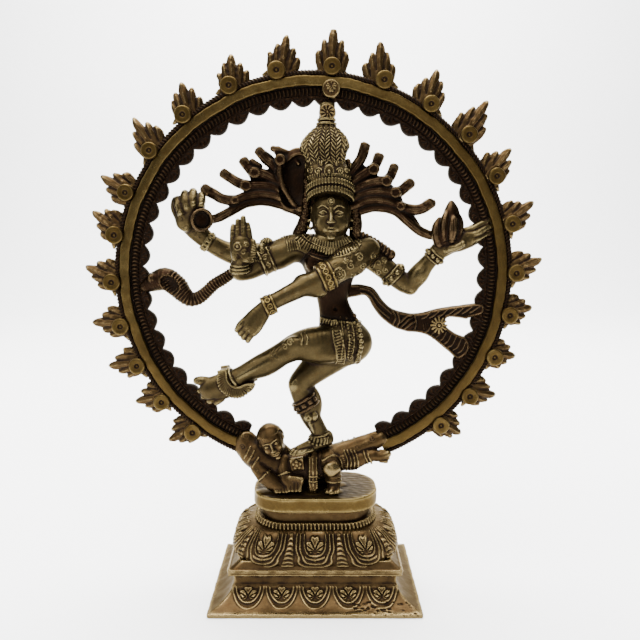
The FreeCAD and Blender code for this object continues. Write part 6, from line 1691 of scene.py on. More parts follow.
def fan(name, lo, hi, outline, strands, ends, knobs, dome=None):
    c = Clay(lo, hi, 0.3)
    X, Y, Z = c.at((slice(None),) * 3)
    pl = poly2d(outline, X[:, 0, :], Z[0, 0][None, :])[:, None, :]
    web = np.maximum(pl + 0.4, np.abs(Y - F32(1.1)) - F32(1.5)).astype(F32)
    c.f = smin(c.f, web, 0.1)
    for S in strands:
        limb(c, [(x, y, z, r + 0.6) for x, z, r, y in S], 9 * len(S), 0.35)
    if dome:
        dome(c)
    for (a, b, r) in ends:
        tube_end(c, (a[0], a[2], a[1]), (b[0], b[2], b[1]), r)
    for q in knobs:
        knob(c, *q)
    # strand grooves
    for S in strands:
        q = spline2([(x, z) for x, z, r, y in S], 26)
        c.draw(q[2:-2] + [0.0, 0.9], 0.2, op="-", k=0.2)
        c.draw(q[2:-2] + [0.0, -0.9], 0.2, op="-", k=0.2)
    c.f += rough(0.10, 6, 33)(*c.at((slice(None),) * 3))
    return cast(name, c, M_DARK, [name], cav_r=0.8)


HL = [(-2.4, 203.3), (-8.5, 205.7), (-18.0, 208.7), (-27.1, 210.8), (-35.2, 209.7), (-43.4, 205.7), (-49.5, 202.2), (-56.6, 200.4), (-57.1, 204.3), (-49.7, 206.4), (-45.4, 209.5), (-49.1, 211.6), (-54.3, 214.2), (-59.2, 216.1), (-56.2, 221.6), (-52.1, 218.4), (-46.9, 215.8), (-40.6, 216.3), (-37.9, 217.3), (-40.5, 219.9), (-46.7, 223.0), (-49.8, 225.6), (-47.7, 228.6), (-43.5, 226.6), (-38.9, 223.5), (-34.1, 223.5), (-36.2, 227.6), (-39.2, 232.2), (-35.5, 234.8), (-32.4, 231.2), (-27.8, 228.6), (-23.6, 229.7), (-27.7, 233.7), (-31.8, 237.3), (-27.6, 240.4), (-23.5, 237.3), (-20.4, 234.8), (-22.9, 239.9), (-18.8, 241.4), (-15.1, 238.3), (-12.0, 234.8), (-4.9, 233.7), (0.8, 226.1), (0.8, 204.5)]
HR = [(16.0, 204.6), (24.8, 206.4), (32.2, 207.5), (40.7, 205.9), (46.0, 202.8), (50.9, 198.1), (56.8, 194.4), (62.7, 192.8), (66.1, 195.5), (57.7, 198.6), (53.9, 203.3), (51.7, 206.4), (57.5, 207.5), (62.8, 209.5), (60.0, 213.2), (55.3, 211.1), (49.6, 210.6), (46.9, 211.6), (45.8, 214.7), (48.9, 216.8), (52.0, 220.9), (47.7, 223.5), (44.6, 219.9), (42.5, 219.4), (40.4, 221.5), (41.4, 224.5), (42.9, 229.2), (38.7, 231.2), (37.2, 226.6), (35.1, 224.5), (33.0, 226.1), (33.5, 229.7), (35.0, 234.8), (30.8, 236.3), (29.8, 232.2), (28.2, 229.7), (25.6, 231.7), (26.6, 235.8), (28.1, 240.9), (24.0, 241.9), (22.9, 237.3), (20.9, 233.7), (16.3, 230.7), (13.3, 220.9)]


def hood(c):
    """The hollow shell of hair beside the crown, open to the front."""
    C_ = (-11.0, 1.6, 223.4)
    c.do(ell(C_, (11.0, 5.0, 17.2), rot("y", 14)), 0.5)
    c.do(ell((C_[0] + 1.6, C_[1] - 4.6, C_[2] - 0.8), (8.8, 6.0, 14.6), rot("y", 14)), 0.5, "-")
    rim = [(-8.4, 207.6, 1.5, -0.6), (-12.6, 213.0, 1.6, -1.6), (-16.8, 220.0, 1.7, -2.4), (-18.4, 227.0, 1.7, -2.8), (-18.2, 233.6, 1.9, -2.8)]
    limb(c, [(x, y, z, r) for x, z, r, y in rim], 30, 0.5)
    limb(c, [(-21.8, 0.4, 239.6, 1.6), (-17.8, 0.6, 238.6, 1.6), (-12.4, 1.2, 236.4, 1.5), (-8.6, 1.8, 232.0, 1.3)], 20, 0.6)


fan("hair_fan_left", (-64, -6, 197), (2, 7.5, 244), HL,
    [[(-4, 205.0, 2.0, 0.4), (-12, 208.6, 2.1, 0.2), (-20, 211.6, 2.1, 0), (-28, 212.9, 2.2, -0.2), (-36, 211.7, 2.2, 0), (-43.6, 207.9, 2.0, 0.4), (-50, 204.5, 1.9, 0.6), (-57, 202.3, 1.7, 0.6)],
     [(-8, 208.4, 1.8, -1.2), (-16, 213.2, 2.1, -1.6), (-25, 215.9, 2.2, -1.8), (-34, 215.2, 2.3, -1.4), (-42, 212.8, 2.2, -0.6), (-48, 213.4, 2.1, -0.2), (-53, 216.0, 2.2, 0), (-57.6, 218.8, 2.2, 0)],
     [(-14, 215.0, 1.8, -1.4), (-22, 219.4, 2.1, -1.6), (-29, 220.4, 2.2, -1.6), (-35, 220.4, 2.2, -1.4), (-40, 221.9, 2.1, -0.4), (-44, 224.4, 2.0, 0), (-47.6, 226.8, 2.0, 0)],
     [(-17, 220.0, 1.7, -1.2), (-23, 224.6, 2.1, -1.4), (-28, 226.6, 2.2, -1.4), (-32, 227.4, 2.1, -1), (-34.9, 229.8, 2.0, 0), (-36.9, 232.9, 2.0, 0)],
     [(-18, 226.0, 1.6, -0.8), (-21.5, 230.6, 2.0, -0.8), (-25.3, 233.8, 2.1, -0.4), (-28.8, 237.8, 2.0, 0)],
     [(-29.0, 230.4, 1.0, 0), (-32.6, 233.0, 1.0, 0)]],
    [((-53, 216, 0), (-58.0, 219.1, 0), 2.2), ((-44, 224.4, 0), (-48.1, 227.1, 0), 2.0), ((-34.9, 229.8, 0), (-37.3, 233.6, 0), 2.0), ((-25.3, 233.8, -0.4), (-29.3, 238.4, 0), 2.0)],
    [(-35.9, 220.4, 2.4), (-31.2, 226.9, 2.3), (-17.9, 233.4, 2.3, -3.8), (-41.6, 212.8, 1.5, -2.4)], hood)

fan("hair_fan_right", (13, -6, 190), (69, 7.5, 245), HR,
    [[(19, 205.6, 2.1, 0.4), (28, 209.2, 2.3, 0), (36, 209.6, 2.4, -0.2), (43, 207.4, 2.3, 0), (49, 202.2, 2.1, 0.3), (55, 197.4, 2.0, 0.5), (60, 195.2, 1.9, 0.6), (64.4, 194.6, 1.8, 0.6)],
     [(19, 209.4, 1.9, -1.4), (27, 212.8, 2.2, -1.8), (35, 213.0, 2.3, -1.6), (42, 211.0, 2.3, -0.8), (48, 208.8, 2.2, -0.2), (53, 208.0, 2.2, 0), (57.5, 209.2, 2.2, 0), (60.6, 211.4, 2.2, 0)],
     [(20, 213.6, 1.8, -1.5), (27, 216.6, 2.1, -1.8), (34, 217.4, 2.2, -1.8), (40.4, 216.9, 2.3, -1.4), (45.0, 218.0, 2.1, -0.4), (49.6, 221.6, 2.1, 0)],
     [(20, 217.8, 1.7, -1.4), (26, 220.8, 2.1, -1.7), (32, 222.4, 2.2, -1.7), (36.6, 222.8, 2.2, -1.2), (39.4, 225.4, 2.0, -0.2), (41.2, 229.6, 2.0, 0)],
     [(19, 222.2, 1.7, -1.2), (24, 225.6, 2.1, -1.5), (29, 228.4, 2.2, -1.2), (31.8, 231.4, 2.0, -0.4), (33.2, 235.2, 2.0, 0)],
     [(17.5, 226.0, 1.6, -0.8), (21, 230.2, 2.1, -1.0), (24.0, 234.6, 2.2, -0.6), (26.0, 240.4, 2.2, 0)]],
    [((57.5, 209.2, 0), (61.0, 211.8, 0), 2.2), ((45.5, 218.4, 0), (50.2, 222.0, 0), 2.1), ((39.8, 226.0, 0), (41.4, 230.3, 0), 2.0), ((32.0, 232.0, 0), (33.5, 235.9, 0), 2.0), ((24.4, 236.0, 0), (26.2, 241.2, 0), 2.2)],
    [(42.0, 216.9, 2.3), (37.2, 222.6, 2.3), (30.4, 228.6, 2.4), (44.6, 209.8, 1.8, -2.6)], None)


# ------------------------------------------------------------------ drum hand, flame hand
H = 0.27
G = Body((-79, -14, 186), (-48, 9, 222), H)
nD = np.array([0.46, -0.86, -0.12])
nD /= np.linalg.norm(nD)
MD = frame_to(nD)
mouthC = np.array([-58.0, -8.6, 202.6])
p = G.sub((-74, -13.5, 194), (-49, 9, 213))
st = [(mouthC - nD * t, r) for t, r in ((0.4, 6.0), (2.4, 5.0), (4.6, 3.9), (6.6, 3.5), (8.8, 4.0), (11.0, 5.2), (12.6, 5.9))]
for (a, ra_), (b, rb_) in zip(st[:-1], st[1:]):
    nn = 5
    for i_ in range(nn):
        t0 = i_ / nn
        q = a + (b - a) * t0
        p.do(cyl(q, ra_ + (rb_ - ra_) * t0, 0.5, MD, 0.2), 0.3)
p.do(tor(mouthC + nD * 0.0, 5.2, 0.75, MD), 0.5)
p.do(tor(mouthC - nD * 12.6, 5.3, 0.85, MD), 0.2)
p.do(cyl(mouthC + nD * 0.6, 4.3, 2.4, MD, 0.6), 0.3, "-")
p.do(tor(mouthC - nD * 6.6, 3.7, 0.6, MD), 0.2)
G.add("drum", p)
p = G.sub((-79, -13, 186.5), (-50, 9, 221))
limb(p, [(-55.6, 3.6, 190.2, 4.7), (-60.4, 2.8, 194.4, 5.0), (-65.2, 2.0, 199.4, 5.4), (-68.0, 1.4, 205.4, 5.6), (-66.6, 1.0, 210.8, 5.2), (-62.6, 1.0, 213.0, 4.0)], 26, 0, flat=((0, 1, 0), 1.15))
for (a, b, c_, d_) in (((-70.0, 1.6, 210.0), (-71.4, -2.0, 213.0), (-70.8, -5.6, 210.6), (-69.4, -7.4, 206.4)),
                       ((-67.2, 1.8, 213.0), (-67.8, -1.6, 216.0), (-67.2, -5.4, 213.6), (-66.0, -7.8, 209.2)),
                       ((-63.8, 1.8, 214.0), (-63.6, -1.6, 217.0), (-63.0, -5.2, 214.8), (-62.4, -7.6, 210.8)),
                       ((-60.4, 1.8, 212.6), (-59.4, -1.6, 215.0), (-58.8, -5.0, 213.2), (-58.6, -7.4, 210.2))):
    limb(p, [(*a, 2.6), (*b, 2.35), (*c_, 2.15), (*d_, 1.6)], 12, 0.45)
limb(p, [(-70.4, -1.0, 203.0, 2.3), (-73.2, -2.4, 207.4, 1.9), (-73.6, -2.6, 211.4, 1.6), (-73.4, -2.2, 213.4, 1.1)], 10, 0.9)
p.do(ell((-65.0, -3.0, 209.6), (7.6, 5.6, 7.0)), 1.5)
p.do(ell((-68.2, -2.6, 203.2), (5.0, 4.6, 6.4)), 2.0)
G.add("hand_back_right", p, 0.5)
U = G.c
scribble(U, [(-69.2, 203.4), (-66.6, 199.0), (-63.4, 195.6), (-68.6, 198.2), (-64.8, 192.8), (-67.0, 206.2), (-60.8, 194.2), (-70.6, 206.4)], 1.3, 41, r=0.24)
for q in ((-68.9, 208.0), (-65.8, 211.0), (-62.6, 212.2), (-58.9, 211.6)):
    U.draw([(q[0] - 1.2, q[1]), (q[0] + 1.2, q[1] + 0.2)], 0.2, op="-")
    U.draw([(q[0] - 1.2, q[1] + 3.0), (q[0] + 1.2, q[1] + 3.0)], 0.2, op="-")
U.f += rough(0.08, 6, 42)(*U.at((slice(None),) * 3))
G.out("drum", M_DARK, ["drum"], "dark_brass", 0.7)
G.out("hand_back_right", M_FIG, ["hand_back_right"], "figure_brass", 0.7, tint=lambda P: 0.07)

G = Body((56, -14, 177), (97, 10, 217), H)
p = G.sub((57, -10, 178), (97, 9, 206))
limb(p, [(62.4, -0.4, 183.0, 4.1), (66.4, -1.2, 187.4, 5.0), (71.0, -1.6, 190.0, 5.2), (76.4, -1.4, 191.6, 5.2), (81.0, -1.0, 193.0, 4.8)], 20, 0, flat=((0, 1, 0), 1.1))
for (a, b, c_, d_, r0) in (((79.0, -1.6, 196.8), (83.0, -2.2, 198.4), (87.6, -1.4, 200.8), (92.6, 0, 203.0), 1.75), ((80.0, -2.8, 194.6), (84.6, -3.4, 195.8), (89.2, -2.2, 198.2), (93.6, 0, 200.0), 1.75), ((80.6, -2.4, 192.0), (85.0, -2.8, 193.0), (89.6, -1.4, 195.2), (93.8, 0.2, 196.8), 1.7), ((79.4, -0.8, 189.8), (83.4, -1.0, 190.8), (87.6, -0.2, 192.6), (92.0, 0.6, 194.0), 1.6)):
    limb(p, [(*a, r0 + 0.3), (*b, r0 + 0.1), (*c_, r0), (*d_, r0)], 14, 0.5)
p.do(ell((86, 1.0, 197.0), (8.0, 2.2, 4.6), rot("y", -24)), 1.2)
limb(p, [(68.2, -4.6, 187.2, 2.2), (73.0, -6.2, 188.6, 1.9), (77.0, -6.0, 190.4, 1.6)], 10, 1.0)
G.add("hand_back_left", p)
p = G.sub((57, -12, 186), (82, 7, 216))
limb(p, [(69.4, -2.4, 190.4, 4.8), (70.2, -2.6, 196.0, 5.6), (71.0, -2.8, 202.0, 5.2), (71.4, -2.8, 207.0, 3.8), (71.2, -3, 211.0, 1.9)], 20, 0, flat=((0, 1, 0), 1.1))
limb(p, [(65.6, -3.2, 190.6, 3.3), (64.4, -3.6, 195.0, 3.5), (64.2, -3.4, 199.0, 3.0), (65.2, -3.0, 202.8, 1.6)], 14, 0.3)
limb(p, [(67.6, -4.8, 192.0, 2.6), (67.4, -5.6, 198.0, 2.9), (67.8, -5.2, 203.0, 2.5), (69.0, -4.4, 206.8, 1.3)], 14, 0.25)
limb(p, [(73.8, -3.8, 193.6, 2.8), (74.8, -4.2, 198.4, 2.9), (75.0, -3.8, 202.6, 2.3), (74.0, -3.2, 206.0, 1.2)], 14, 0.25)
limb(p, [(70.8, -6.0, 192.6, 2.3), (71.1, -7.2, 197.6, 2.7), (71.4, -6.6, 202.2, 2.4), (71.3, -5.4, 205.4, 1.2)], 14, 0.2)
G.add("flame_bud", p, 0.3)
U = G.c
for q in ([(67.4, 194.0), (67.3, 199.0), (68.2, 204.0)], [(71.1, 193.6), (71.3, 198.0), (71.3, 202.6)], [(74.6, 195.0), (75.1, 199.0), (74.6, 203.0)], [(64.4, 193.0), (64.0, 197.0), (64.6, 200.6)]):
    U.draw(spline2(q, 14), 0.26, op="-", k=0.2)
for q in ([(66.0, 190.6), (69.0, 192.0), (75.0, 192.4)], [(68.0, 184.9), (73.0, 187.2), (78.0, 189.4)]):
    U.draw(spline2(q, 14), 0.3, op="-", k=0.2)
scribble(U, [(68.4, 188.0), (72.4, 189.6), (76.4, 190.6), (81.0, 192.6), (84.2, 197.4), (87.4, 197.2), (90.4, 198.6), (79.0, 195.0)], 1.0, 43, r=0.2)
U.f += rough(0.08, 6, 44)(*U.at((slice(None),) * 3))
G.out("flame_bud", M_DARK, ["flame_bud"], "dark_brass", 0.7, tint=lambda P: -0.06)
G.out("hand_back_left", M_FIG, ["hand_back_left"], "figure_brass", 0.7)

# ------------------------------------------------------------------ snake
c = Clay((-96, -9, 154), (-40, 8, 182), 0.28)
body_ = curve([(-90.0, 0, 168.0, 3.8), (-84.6, -0.6, 170.6, 5.4), (-79.2, -1, 171.6, 6.2), (-74.0, -1, 168.0, 6.0), (-70.4, -1.4, 163.8, 5.0), (-66.8, -1.6, 161.0, 4.2), (-62.6, -1.6, 161.4, 3.8), (-58.0, -1.2, 164.8, 3.6), (-53.8, -0.4, 168.8, 3.5), (-49.4, 1, 171.4, 3.4), (-42.5, 3, 176.2, 3.2)], 60)
c.chain(body_[:, :3], body_[:, 3], flat=((0, 1, 0), 1.05))
c.do(ell((-76.6, -6.6, 168.6), (4.2, 3.2, 5.6), rot("y", -40)), 0.8, "-")
sl_, d_, s_ = along(c, body_[:, :3])
dep = np.where(s_ < 13, 0.12, 0.42).astype(F32)
c.f = c.f + dep * (F32(0.5) - F32(0.5) * np.cos(s_ * F32(2 * math.pi / 1.55))) * (c.f < 1.5) * (c.f > -1.5)
# belly plates inside the hood
for i_ in range(7):
    t = i_ / 6
    x0, z0 = -79.6 + 6.4 * t, 172.6 - 7.6 * t
    c.draw([(x0 - 2.2, z0 - 2.2), (x0 + 0.4, z0 - 0.6), (x0 + 2.4, z0 + 2.0)], 0.4, lift=0.05)
c.do(ell((-86.0, -4.4, 172.2), (2.6, 2.2, 2.6)), 0.8)
c.do(ell((-87.0, -6.0, 173.2), (0.7, 0.7, 0.7)), 0.1)
c.do(ell((-85.2, -6.0, 171.6), (0.7, 0.7, 0.7)), 0.1)
c.f += rough(0.06, 6, 45)(*c.at((slice(None),) * 3))
cast("snake", c, M_DARK, ["snake"], cav_r=0.6)

# ------------------------------------------------------------------ sash
SASH = [(10.3, 168.0), (21.3, 169.0), (27.1, 168.3), (31.6, 166.4), (36.0, 160.6), (41.0, 155.9), (48.9, 153.5), (56.6, 153.5), (66.3, 155.9), (77.9, 157.6), (89.4, 158.6), (89.7, 153.0), (83.4, 151.1), (81.3, 150.0), (78.1, 150.6), (71.6, 151.1), (70.0, 148.4), (71.2, 145.6), (75.6, 142.4), (81.9, 139.6), (83.0, 133.0), (77.5, 128.3), (72.0, 132.6), (66.2, 137.3), (60.6, 141.3), (54.0, 142.9), (48.8, 143.4), (42.0, 146.0), (35.8, 150.4), (31.0, 156.6), (27.0, 162.8), (21.3, 162.2), (12.0, 160.9)]
EYE = [(70.6, 148.2), (72.2, 150.4), (79.2, 150.0), (81.0, 149.6), (81.4, 146.6), (79.4, 143.0), (78.0, 142.0), (74.4, 144.4)]
c = Clay((8, -8, 126), (92, 7, 171), 0.29)
X, Y, Z = c.at((slice(None),) * 3)
X2, Z2 = X[:, 0, :], Z[0, 0][None, :]
pl = poly2d([tuple(v) for v in spline2(SASH + SASH[:1], 130)[:-1]], X2, Z2)
he = poly2d(EYE, X2, Z2)
d2 = np.maximum(pl, -he)[:, None, :]
half = np.interp(c.ax[0], [10, 30, 40, 52, 92], [2.6, 3.2, 3.0, 2.0, 2.0]).astype(F32)[:, None, None]
rnd = np.interp(c.ax[0], [10, 36, 50, 92], [3.0, 3.0, 1.4, 1.2]).astype(F32)[:, None, None]
q = np.clip((d2 + rnd) / rnd, 0, 1)
relief = bump(d2, -0.9, 0.8) * 0.7
c.f = np.maximum(d2, np.abs(Y + F32(0.2)) - half * np.sqrt(np.maximum(1 - q ** 2 * 0.8, 0.05)) - relief * (Y < 0)).astype(F32)


def over(pts, n=16):
    return spline2(pts, n)


for q in ([(24, 167.0), (29.5, 165.2), (34.0, 159.6), (40.6, 153.6)], [(24, 164.6), (29.0, 162.8), (33.4, 156.4), (39.4, 151.2)]):
    c.draw(over(q), 0.42, lift=0.25)
c.draw(over([(22, 166.0), (28.6, 164.2), (33.6, 158.2), (40.0, 152.4)]), 0.35, op="-", lift=0.1)
# knot
c.do(ell((43.0, -1.6, 150.6), (3.0, 2.6, 4.2), rot("y", -20)), 1.0)
c.do(ell((48.6, -1.6, 148.0), (5.2, 2.4, 3.6), rot("y", 20)), 0.8)
for q in ([(41.0, 155.0), (42.8, 151.6), (41.4, 147.4)], [(43.6, 154.2), (45.0, 150.2), (43.6, 146.2)], [(46.0, 146.4), (49.6, 149.8), (53.2, 151.8)], [(45.4, 148.6), (48.6, 151.4), (52.0, 152.6)], [(47.6, 145.0), (51.0, 147.8), (53.8, 149.0)], [(53.2, 152.4), (54.0, 148.0), (53.0, 144.0)]):
    c.draw(over(q, 10), 0.5, lift=0.25)
    c.draw(over(q, 10) + [0.95, -0.4], 0.25, op="-")
# leaves of the upper ribbon
for i_ in range(7):
    x0 = 57.0 + i_ * 4.3
    c.draw(over([(x0, 150.4 + i_ * 0.55), (x0 + 2.2, 151.4 + i_ * 0.6), (x0 + 5.2, 154.6 + i_ * 0.45)], 10), 0.4, lift=0.2)
    c.draw(over([(x0 + 1.2, 150.0 + i_ * 0.55), (x0 + 3.4, 151.0 + i_ * 0.6), (x0 + 6.2, 153.8 + i_ * 0.45)], 10), 0.26, op="-")
# folds of the lower ribbon
for i_ in range(8):
    x0, z0 = 58.0 + i_ * 2.7, 145.4 - i_ * 1.3
    c.draw(over([(x0, z0 - 2.8 - 0.25 * i_), (x0 + 2.4, z0 - 1.4 - 0.2 * i_), (x0 + 4.2, z0 + 1.2 + 0.1 * i_)], 9), 0.38, lift=0.2)
    c.draw(over([(x0 + 1.1, z0 - 3.4 - 0.25 * i_), (x0 + 3.5, z0 - 2.0 - 0.2 * i_), (x0 + 5.3, z0 + 0.6 + 0.1 * i_)], 9), 0.24, op="-")
ribs(c, over([(57.5, 146.2), (60.5, 146.6)], 4), 3.0, 1.2, 0.34)
for q in ([(82.2, 152.0), (84.6, 146.0), (83.6, 139.0)], [(84.6, 152.6), (87.0, 146.0), (85.6, 138.0)]):
    c.draw(over(q, 10), 0.4, lift=0.2)
for side in (1,):
    c.draw(over([(24, 166), (30, 164), (36, 156), (44, 150), (56, 149), (70, 153)]), 0.5, side=side, lift=0.2)
    c.draw(over([(56, 147), (66, 143), (76, 136)]), 0.5, side=side, lift=0.2)
c.f += rough(0.09, 6, 46)(*c.at((slice(None),) * 3))
cast("sash", c, M_DARK, ["sash"], cav_r=0.6)

c = Clay((60, -6.5, 140.5), (73, 0.5, 153.5), 0.2)
FX, FZ, FY = 66.3, 147.0, -2.4
c.do(cyl((FX, FY + 0.6, FZ), 3.0, 0.9, frame_to((0, -1, 0)), 0.4))
for a in np.linspace(0, 2 * math.pi, 12, endpoint=False):
    ca, sa = math.cos(a), math.sin(a)
    c.do(cap((FX + 1.9 * ca, FY - 0.7, FZ + 1.9 * sa), (FX + 4.1 * ca, FY - 0.3, FZ + 4.1 * sa), 0.42, 0.6), 0.15)
c.do(tor((FX, FY - 0.7, FZ), 1.75, 0.32, frame_to((0, 1, 0))), 0.1)
c.do(ell((FX, FY - 0.8, FZ), (1.0, 0.9, 1.0)), 0.1)
cast("sash_flower", c, M_CAST, ["sash_flower"], cav_r=0.5)

# ------------------------------------------------------------------ dwarf
D = Body((-46, -18.5, 55), (46, 9, 99), 0.3)
p = D.sub((-46, -15, 56), (44, 9, 96))
limb(p, [(-38.6, 0, 79.0, 6.2), (-33.6, -1.4, 76.2, 8.2), (-27.0, -2.0, 71.6, 8.4), (-17.2, -2, 68.4, 8.6), (-6.8, -2, 67.6, 8.8), (3.7, -1.6, 69.8, 8.8), (12.6, -1, 73.0, 7.8), (19.3, 0, 76.0, 6.4), (27.0, 0, 79.6, 5.4), (36.0, 0, 83.4, 4.6)], 44)
p.do(ell((-38.0, -2.0, 83.0), (5.6, 4.6, 5.4)), 2.0)
p.do(ell((-34.6, -4.4, 75.0), (5.6, 5.0, 4.6)), 2.0)
p.do(ell((3.5, -3.8, 74.6), (9.6, 6.4, 4.6), rot("y", -16)), 2.5)
p.do(ell((24.0, -1.0, 79.4), (9.0, 4.8, 3.6), rot("y", -22)), 2.0)
D.add("dwarf_body", p)
p = D.sub((-22, -6, 55.5), (22, 6, 70))
p.do(box((-16, 0, 60), (5.0, 3.4, 5.2), None, 1.2))
p.do(box((6, 0, 61), (7.0, 3.4, 6.0), None, 1.2), 1.0)
p.do(box((-5, 0.5, 60), (8.0, 2.6, 4.6), None, 1.2), 1.0)
D.add("dwarf_seat", p, 0.6)
# head leaning on the left hand side, eyes closed
Rh = rot("y", -24) @ rot("x", 10)
hc = np.array([-23.4, -7.4, 84.0])


def hp(x, y, z):
    return hc + Rh @ np.array([x, y, z])


p = D.sub((-35, -18, 70), (-11, 3, 97))
p.do(ell(hp(0, 0.6, 1.8), (6.7, 6.8, 7.6), Rh))
p.do(ell(hp(0, -1.2, -3.4), (4.9, 5.0, 5.0), Rh), 3.0)
p.do(cap(hp(0, 2.5, -4), hp(2, 4, -12), 4.0, 4.6), 2.0)
for s_ in (-1, 1):
    p.do(ell(hp(s_ * 2.8, -4.6, -1.9), (2.0, 1.7, 2.2), Rh), 1.2)
    p.do(ell(hp(s_ * 2.55, -7.1, 0.9), (1.7, 1.3, 1.15), Rh), 0.7, "-")
    p.do(ell(hp(s_ * 2.5, -5.4, 0.8), (1.4, 1.15, 0.95), Rh), 0.25)
    p.chain([hp(s_ * 1.1, -6.5, 0.4), hp(s_ * 2.5, -6.75, 0.1), hp(s_ * 3.9, -6.0, 0.5)], 0.2, 0.1, "-")
    p.chain([hp(s_ * 1.0, -6.6, 2.4), hp(s_ * 2.4, -6.7, 3.0), hp(s_ * 4.0, -5.8, 2.6)], 0.34, 0.3)
    p.do(tor(hp(s_ * 6.5, 0.2, 0.6), 1.4, 0.55, Rh @ frame_to((1, 0, 0))), 0.3)
    p.do(ell(hp(s_ * 0.95, -7.6, -2.2), (0.7, 0.8, 0.6), Rh), 0.3)
p.chain([hp(0, -6.4, 1.9), hp(0, -7.4, -0.4), hp(0, -8.1, -2.0)], np.array([0.6, 0.65, 0.85]), 0.6)
p.do(ell(hp(0, -5.8, -4.6), (2.6, 1.6, 1.6), Rh), 1.0)
p.chain([hp(-1.8, -6.7, -4.1), hp(-0.6, -7.3, -3.8), hp(0, -7.4, -3.95), hp(0.6, -7.3, -3.8), hp(1.8, -6.7, -4.1)], 0.36, 0.3)
p.chain([hp(-1.4, -6.7, -5.0), hp(0, -7.2, -5.2), hp(1.4, -6.7, -5.0)], 0.42, 0.3)
p.chain([hp(-2.0, -6.8, -4.5), hp(0, -7.5, -4.5), hp(2.0, -6.8, -4.5)], 0.2, 0.1, "-")
p.do(ell(hp(0, -5.4, -7.4), (1.6, 1.3, 1.2), Rh), 1.0)
# cap of hair with a rolled edge
X, Y, Z = p.at((slice(None),) * 3)
lx, ly, lz = local(hp(0, 0.6, 1.8), Rh)(X, Y, Z)
capf = ell(hp(0, 1.2, 2.2), (7.5, 7.3, 7.9), Rh)[0](X, Y, Z)
edge_ = lz - F32(3.4) + np.maximum(ly + 1.0, 0) * F32(1.6)
p.f = smin(p.f, np.maximum(capf, -edge_).astype(F32), 0.3)
D.add("dwarf_head", p, 0.8)
for nm, st, lo, hi, k_ in (("dwarf_leg_left", [(4.6, -2, 76.0, 4.8), (7.2, -7.6, 73.6, 5.2), (9.2, -10.2, 68.2, 4.7), (9.9, -10.0, 62.4, 3.8), (10.0, -10.4, 59.2, 3.6)], (-3, -18, 55), (18, 4, 82), 1.0),
                           ("dwarf_leg_right", [(14.0, -1, 73.4, 6.2), (19.6, -3, 71.6, 5.4), (25.4, -4.4, 73.8, 4.2), (31.0, -4.8, 75.4, 3.5), (34.6, -5, 74.9, 2.8)], (6, -11, 64), (42, 6, 82), 1.0),
                           ("dwarf_arm_right", [(-32.4, -4.6, 74.0, 4.6), (-30.3, -8.6, 69.0, 4.2), (-26.6, -10.4, 65.2, 4.4), (-22.6, -10.9, 62.6, 4.0)], (-38, -17, 55), (-14, 2, 80), 0.8),
                           ("dwarf_arm_left", [(-17.4, -5.4, 72.0, 4.4), (-16.8, -9.0, 67.0, 4.0), (-14.4, -11.2, 62.6, 3.7), (-10.6, -11.6, 60.6, 3.2)], (-23, -18, 55), (-4, 1, 79), 0.8)):
    p = D.sub(lo, hi)
    limb(p, st, 26)
    if nm == "dwarf_leg_left":
        p.do(ell((8.7, -12.4, 70.3), (4.9, 3.8, 4.8)), 0.3)
        p.do(tor((8.7, -10.2, 70.3), 4.7, 0.5, frame_to((0, -1, 0.2))), 0.3)
        limb(p, [(10.4, -10.2, 60.6, 3.1), (9.4, -12.6, 58.8, 2.7), (8.6, -14.4, 58.0, 2.0)], 8, 0.8)
        for i_, x in enumerate((6.2, 7.9, 9.5, 11.0, 12.3)):
            limb(p, [(x * 0.9 + 0.9, -13.2, 58.9, 1.2), (x, -15.4 + 0.25 * abs(i_ - 2), 58.2, 1.0)], 4, 0.25)
        for z in (66.0, 63.4):
            p.do(tor((9.8, -10.2, z), 4.2, 0.45, None), 0.3)
    if nm == "dwarf_leg_right":
        limb(p, [(34.0, -5, 75.0, 2.9), (37.2, -5.4, 75.4, 2.5), (39.6, -5.6, 76.4, 2.0)], 8, 0.6)
        for i_ in range(4):
            limb(p, [(35.8, -6.0 + i_ * 0.4, 72.6 + i_ * 1.6, 1.2), (40.4 - abs(i_ - 1.5), -6.4 + i_ * 0.4, 72.4 + i_ * 1.7, 0.95)], 5, 0.3)
        for x in (27.6, 29.6):
            p.do(tor((x, -4.5, 74.6), 4.0, 0.5, frame_to((1, 0, 0.35))), 0.3)
    if nm == "dwarf_arm_right":
        limb(p, [(-23.6, -11.2, 62.0, 4.0), (-20.0, -12.0, 60.6, 3.3), (-17.0, -12.4, 59.2, 2.4)], 8, 0.8)
        for i_ in range(4):
            limb(p, [(-21.6 + i_ * 1.9, -13.2, 61.6 - i_ * 0.3, 1.3), (-20.4 + i_ * 1.7, -15.0, 58.6, 1.05)], 5, 0.25)
        p.do(tor((-27.4, -10.2, 66.0), 4.5, 0.55, frame_to((0.7, -0.2, -0.7))), 0.3)
    if nm == "dwarf_arm_left":
        p.do(box((-10.8, -11.6, 63.8), (4.6, 3.0, 3.0), rot("y", 8), 1.4), 1.0)
        for i_ in range(4):
            limb(p, [(-14.4 + i_ * 2.1, -13.4, 63.4 - i_ * 0.1, 1.35), (-14.0 + i_ * 1.9, -14.9, 59.2, 1.1)], 5, 0.25)
        p.do(tor((-16.6, -9.6, 66.0), 4.2, 0.6, frame_to((0.3, -0.5, -0.8))), 0.3)
    D.add(nm, p, k_)
p = D.sub((-16, -17, 65), (-3, -4, 80))
p.do(box((-9.8, -9.6, 72.2), (3.8, 1.6, 3.6), rot("y", -8), 0.9))
for a in np.linspace(0.4, 2 * math.pi + 0.4, 5, endpoint=False):
    p.do(ell((-9.8 + 1.7 * math.cos(a), -11.4, 72.2 + 1.7 * math.sin(a)), (1.15, 0.7, 1.15)), 0.15)
p.do(ell((-9.8, -11.8, 72.2), (0.9, 0.8, 0.9)), 0.1)
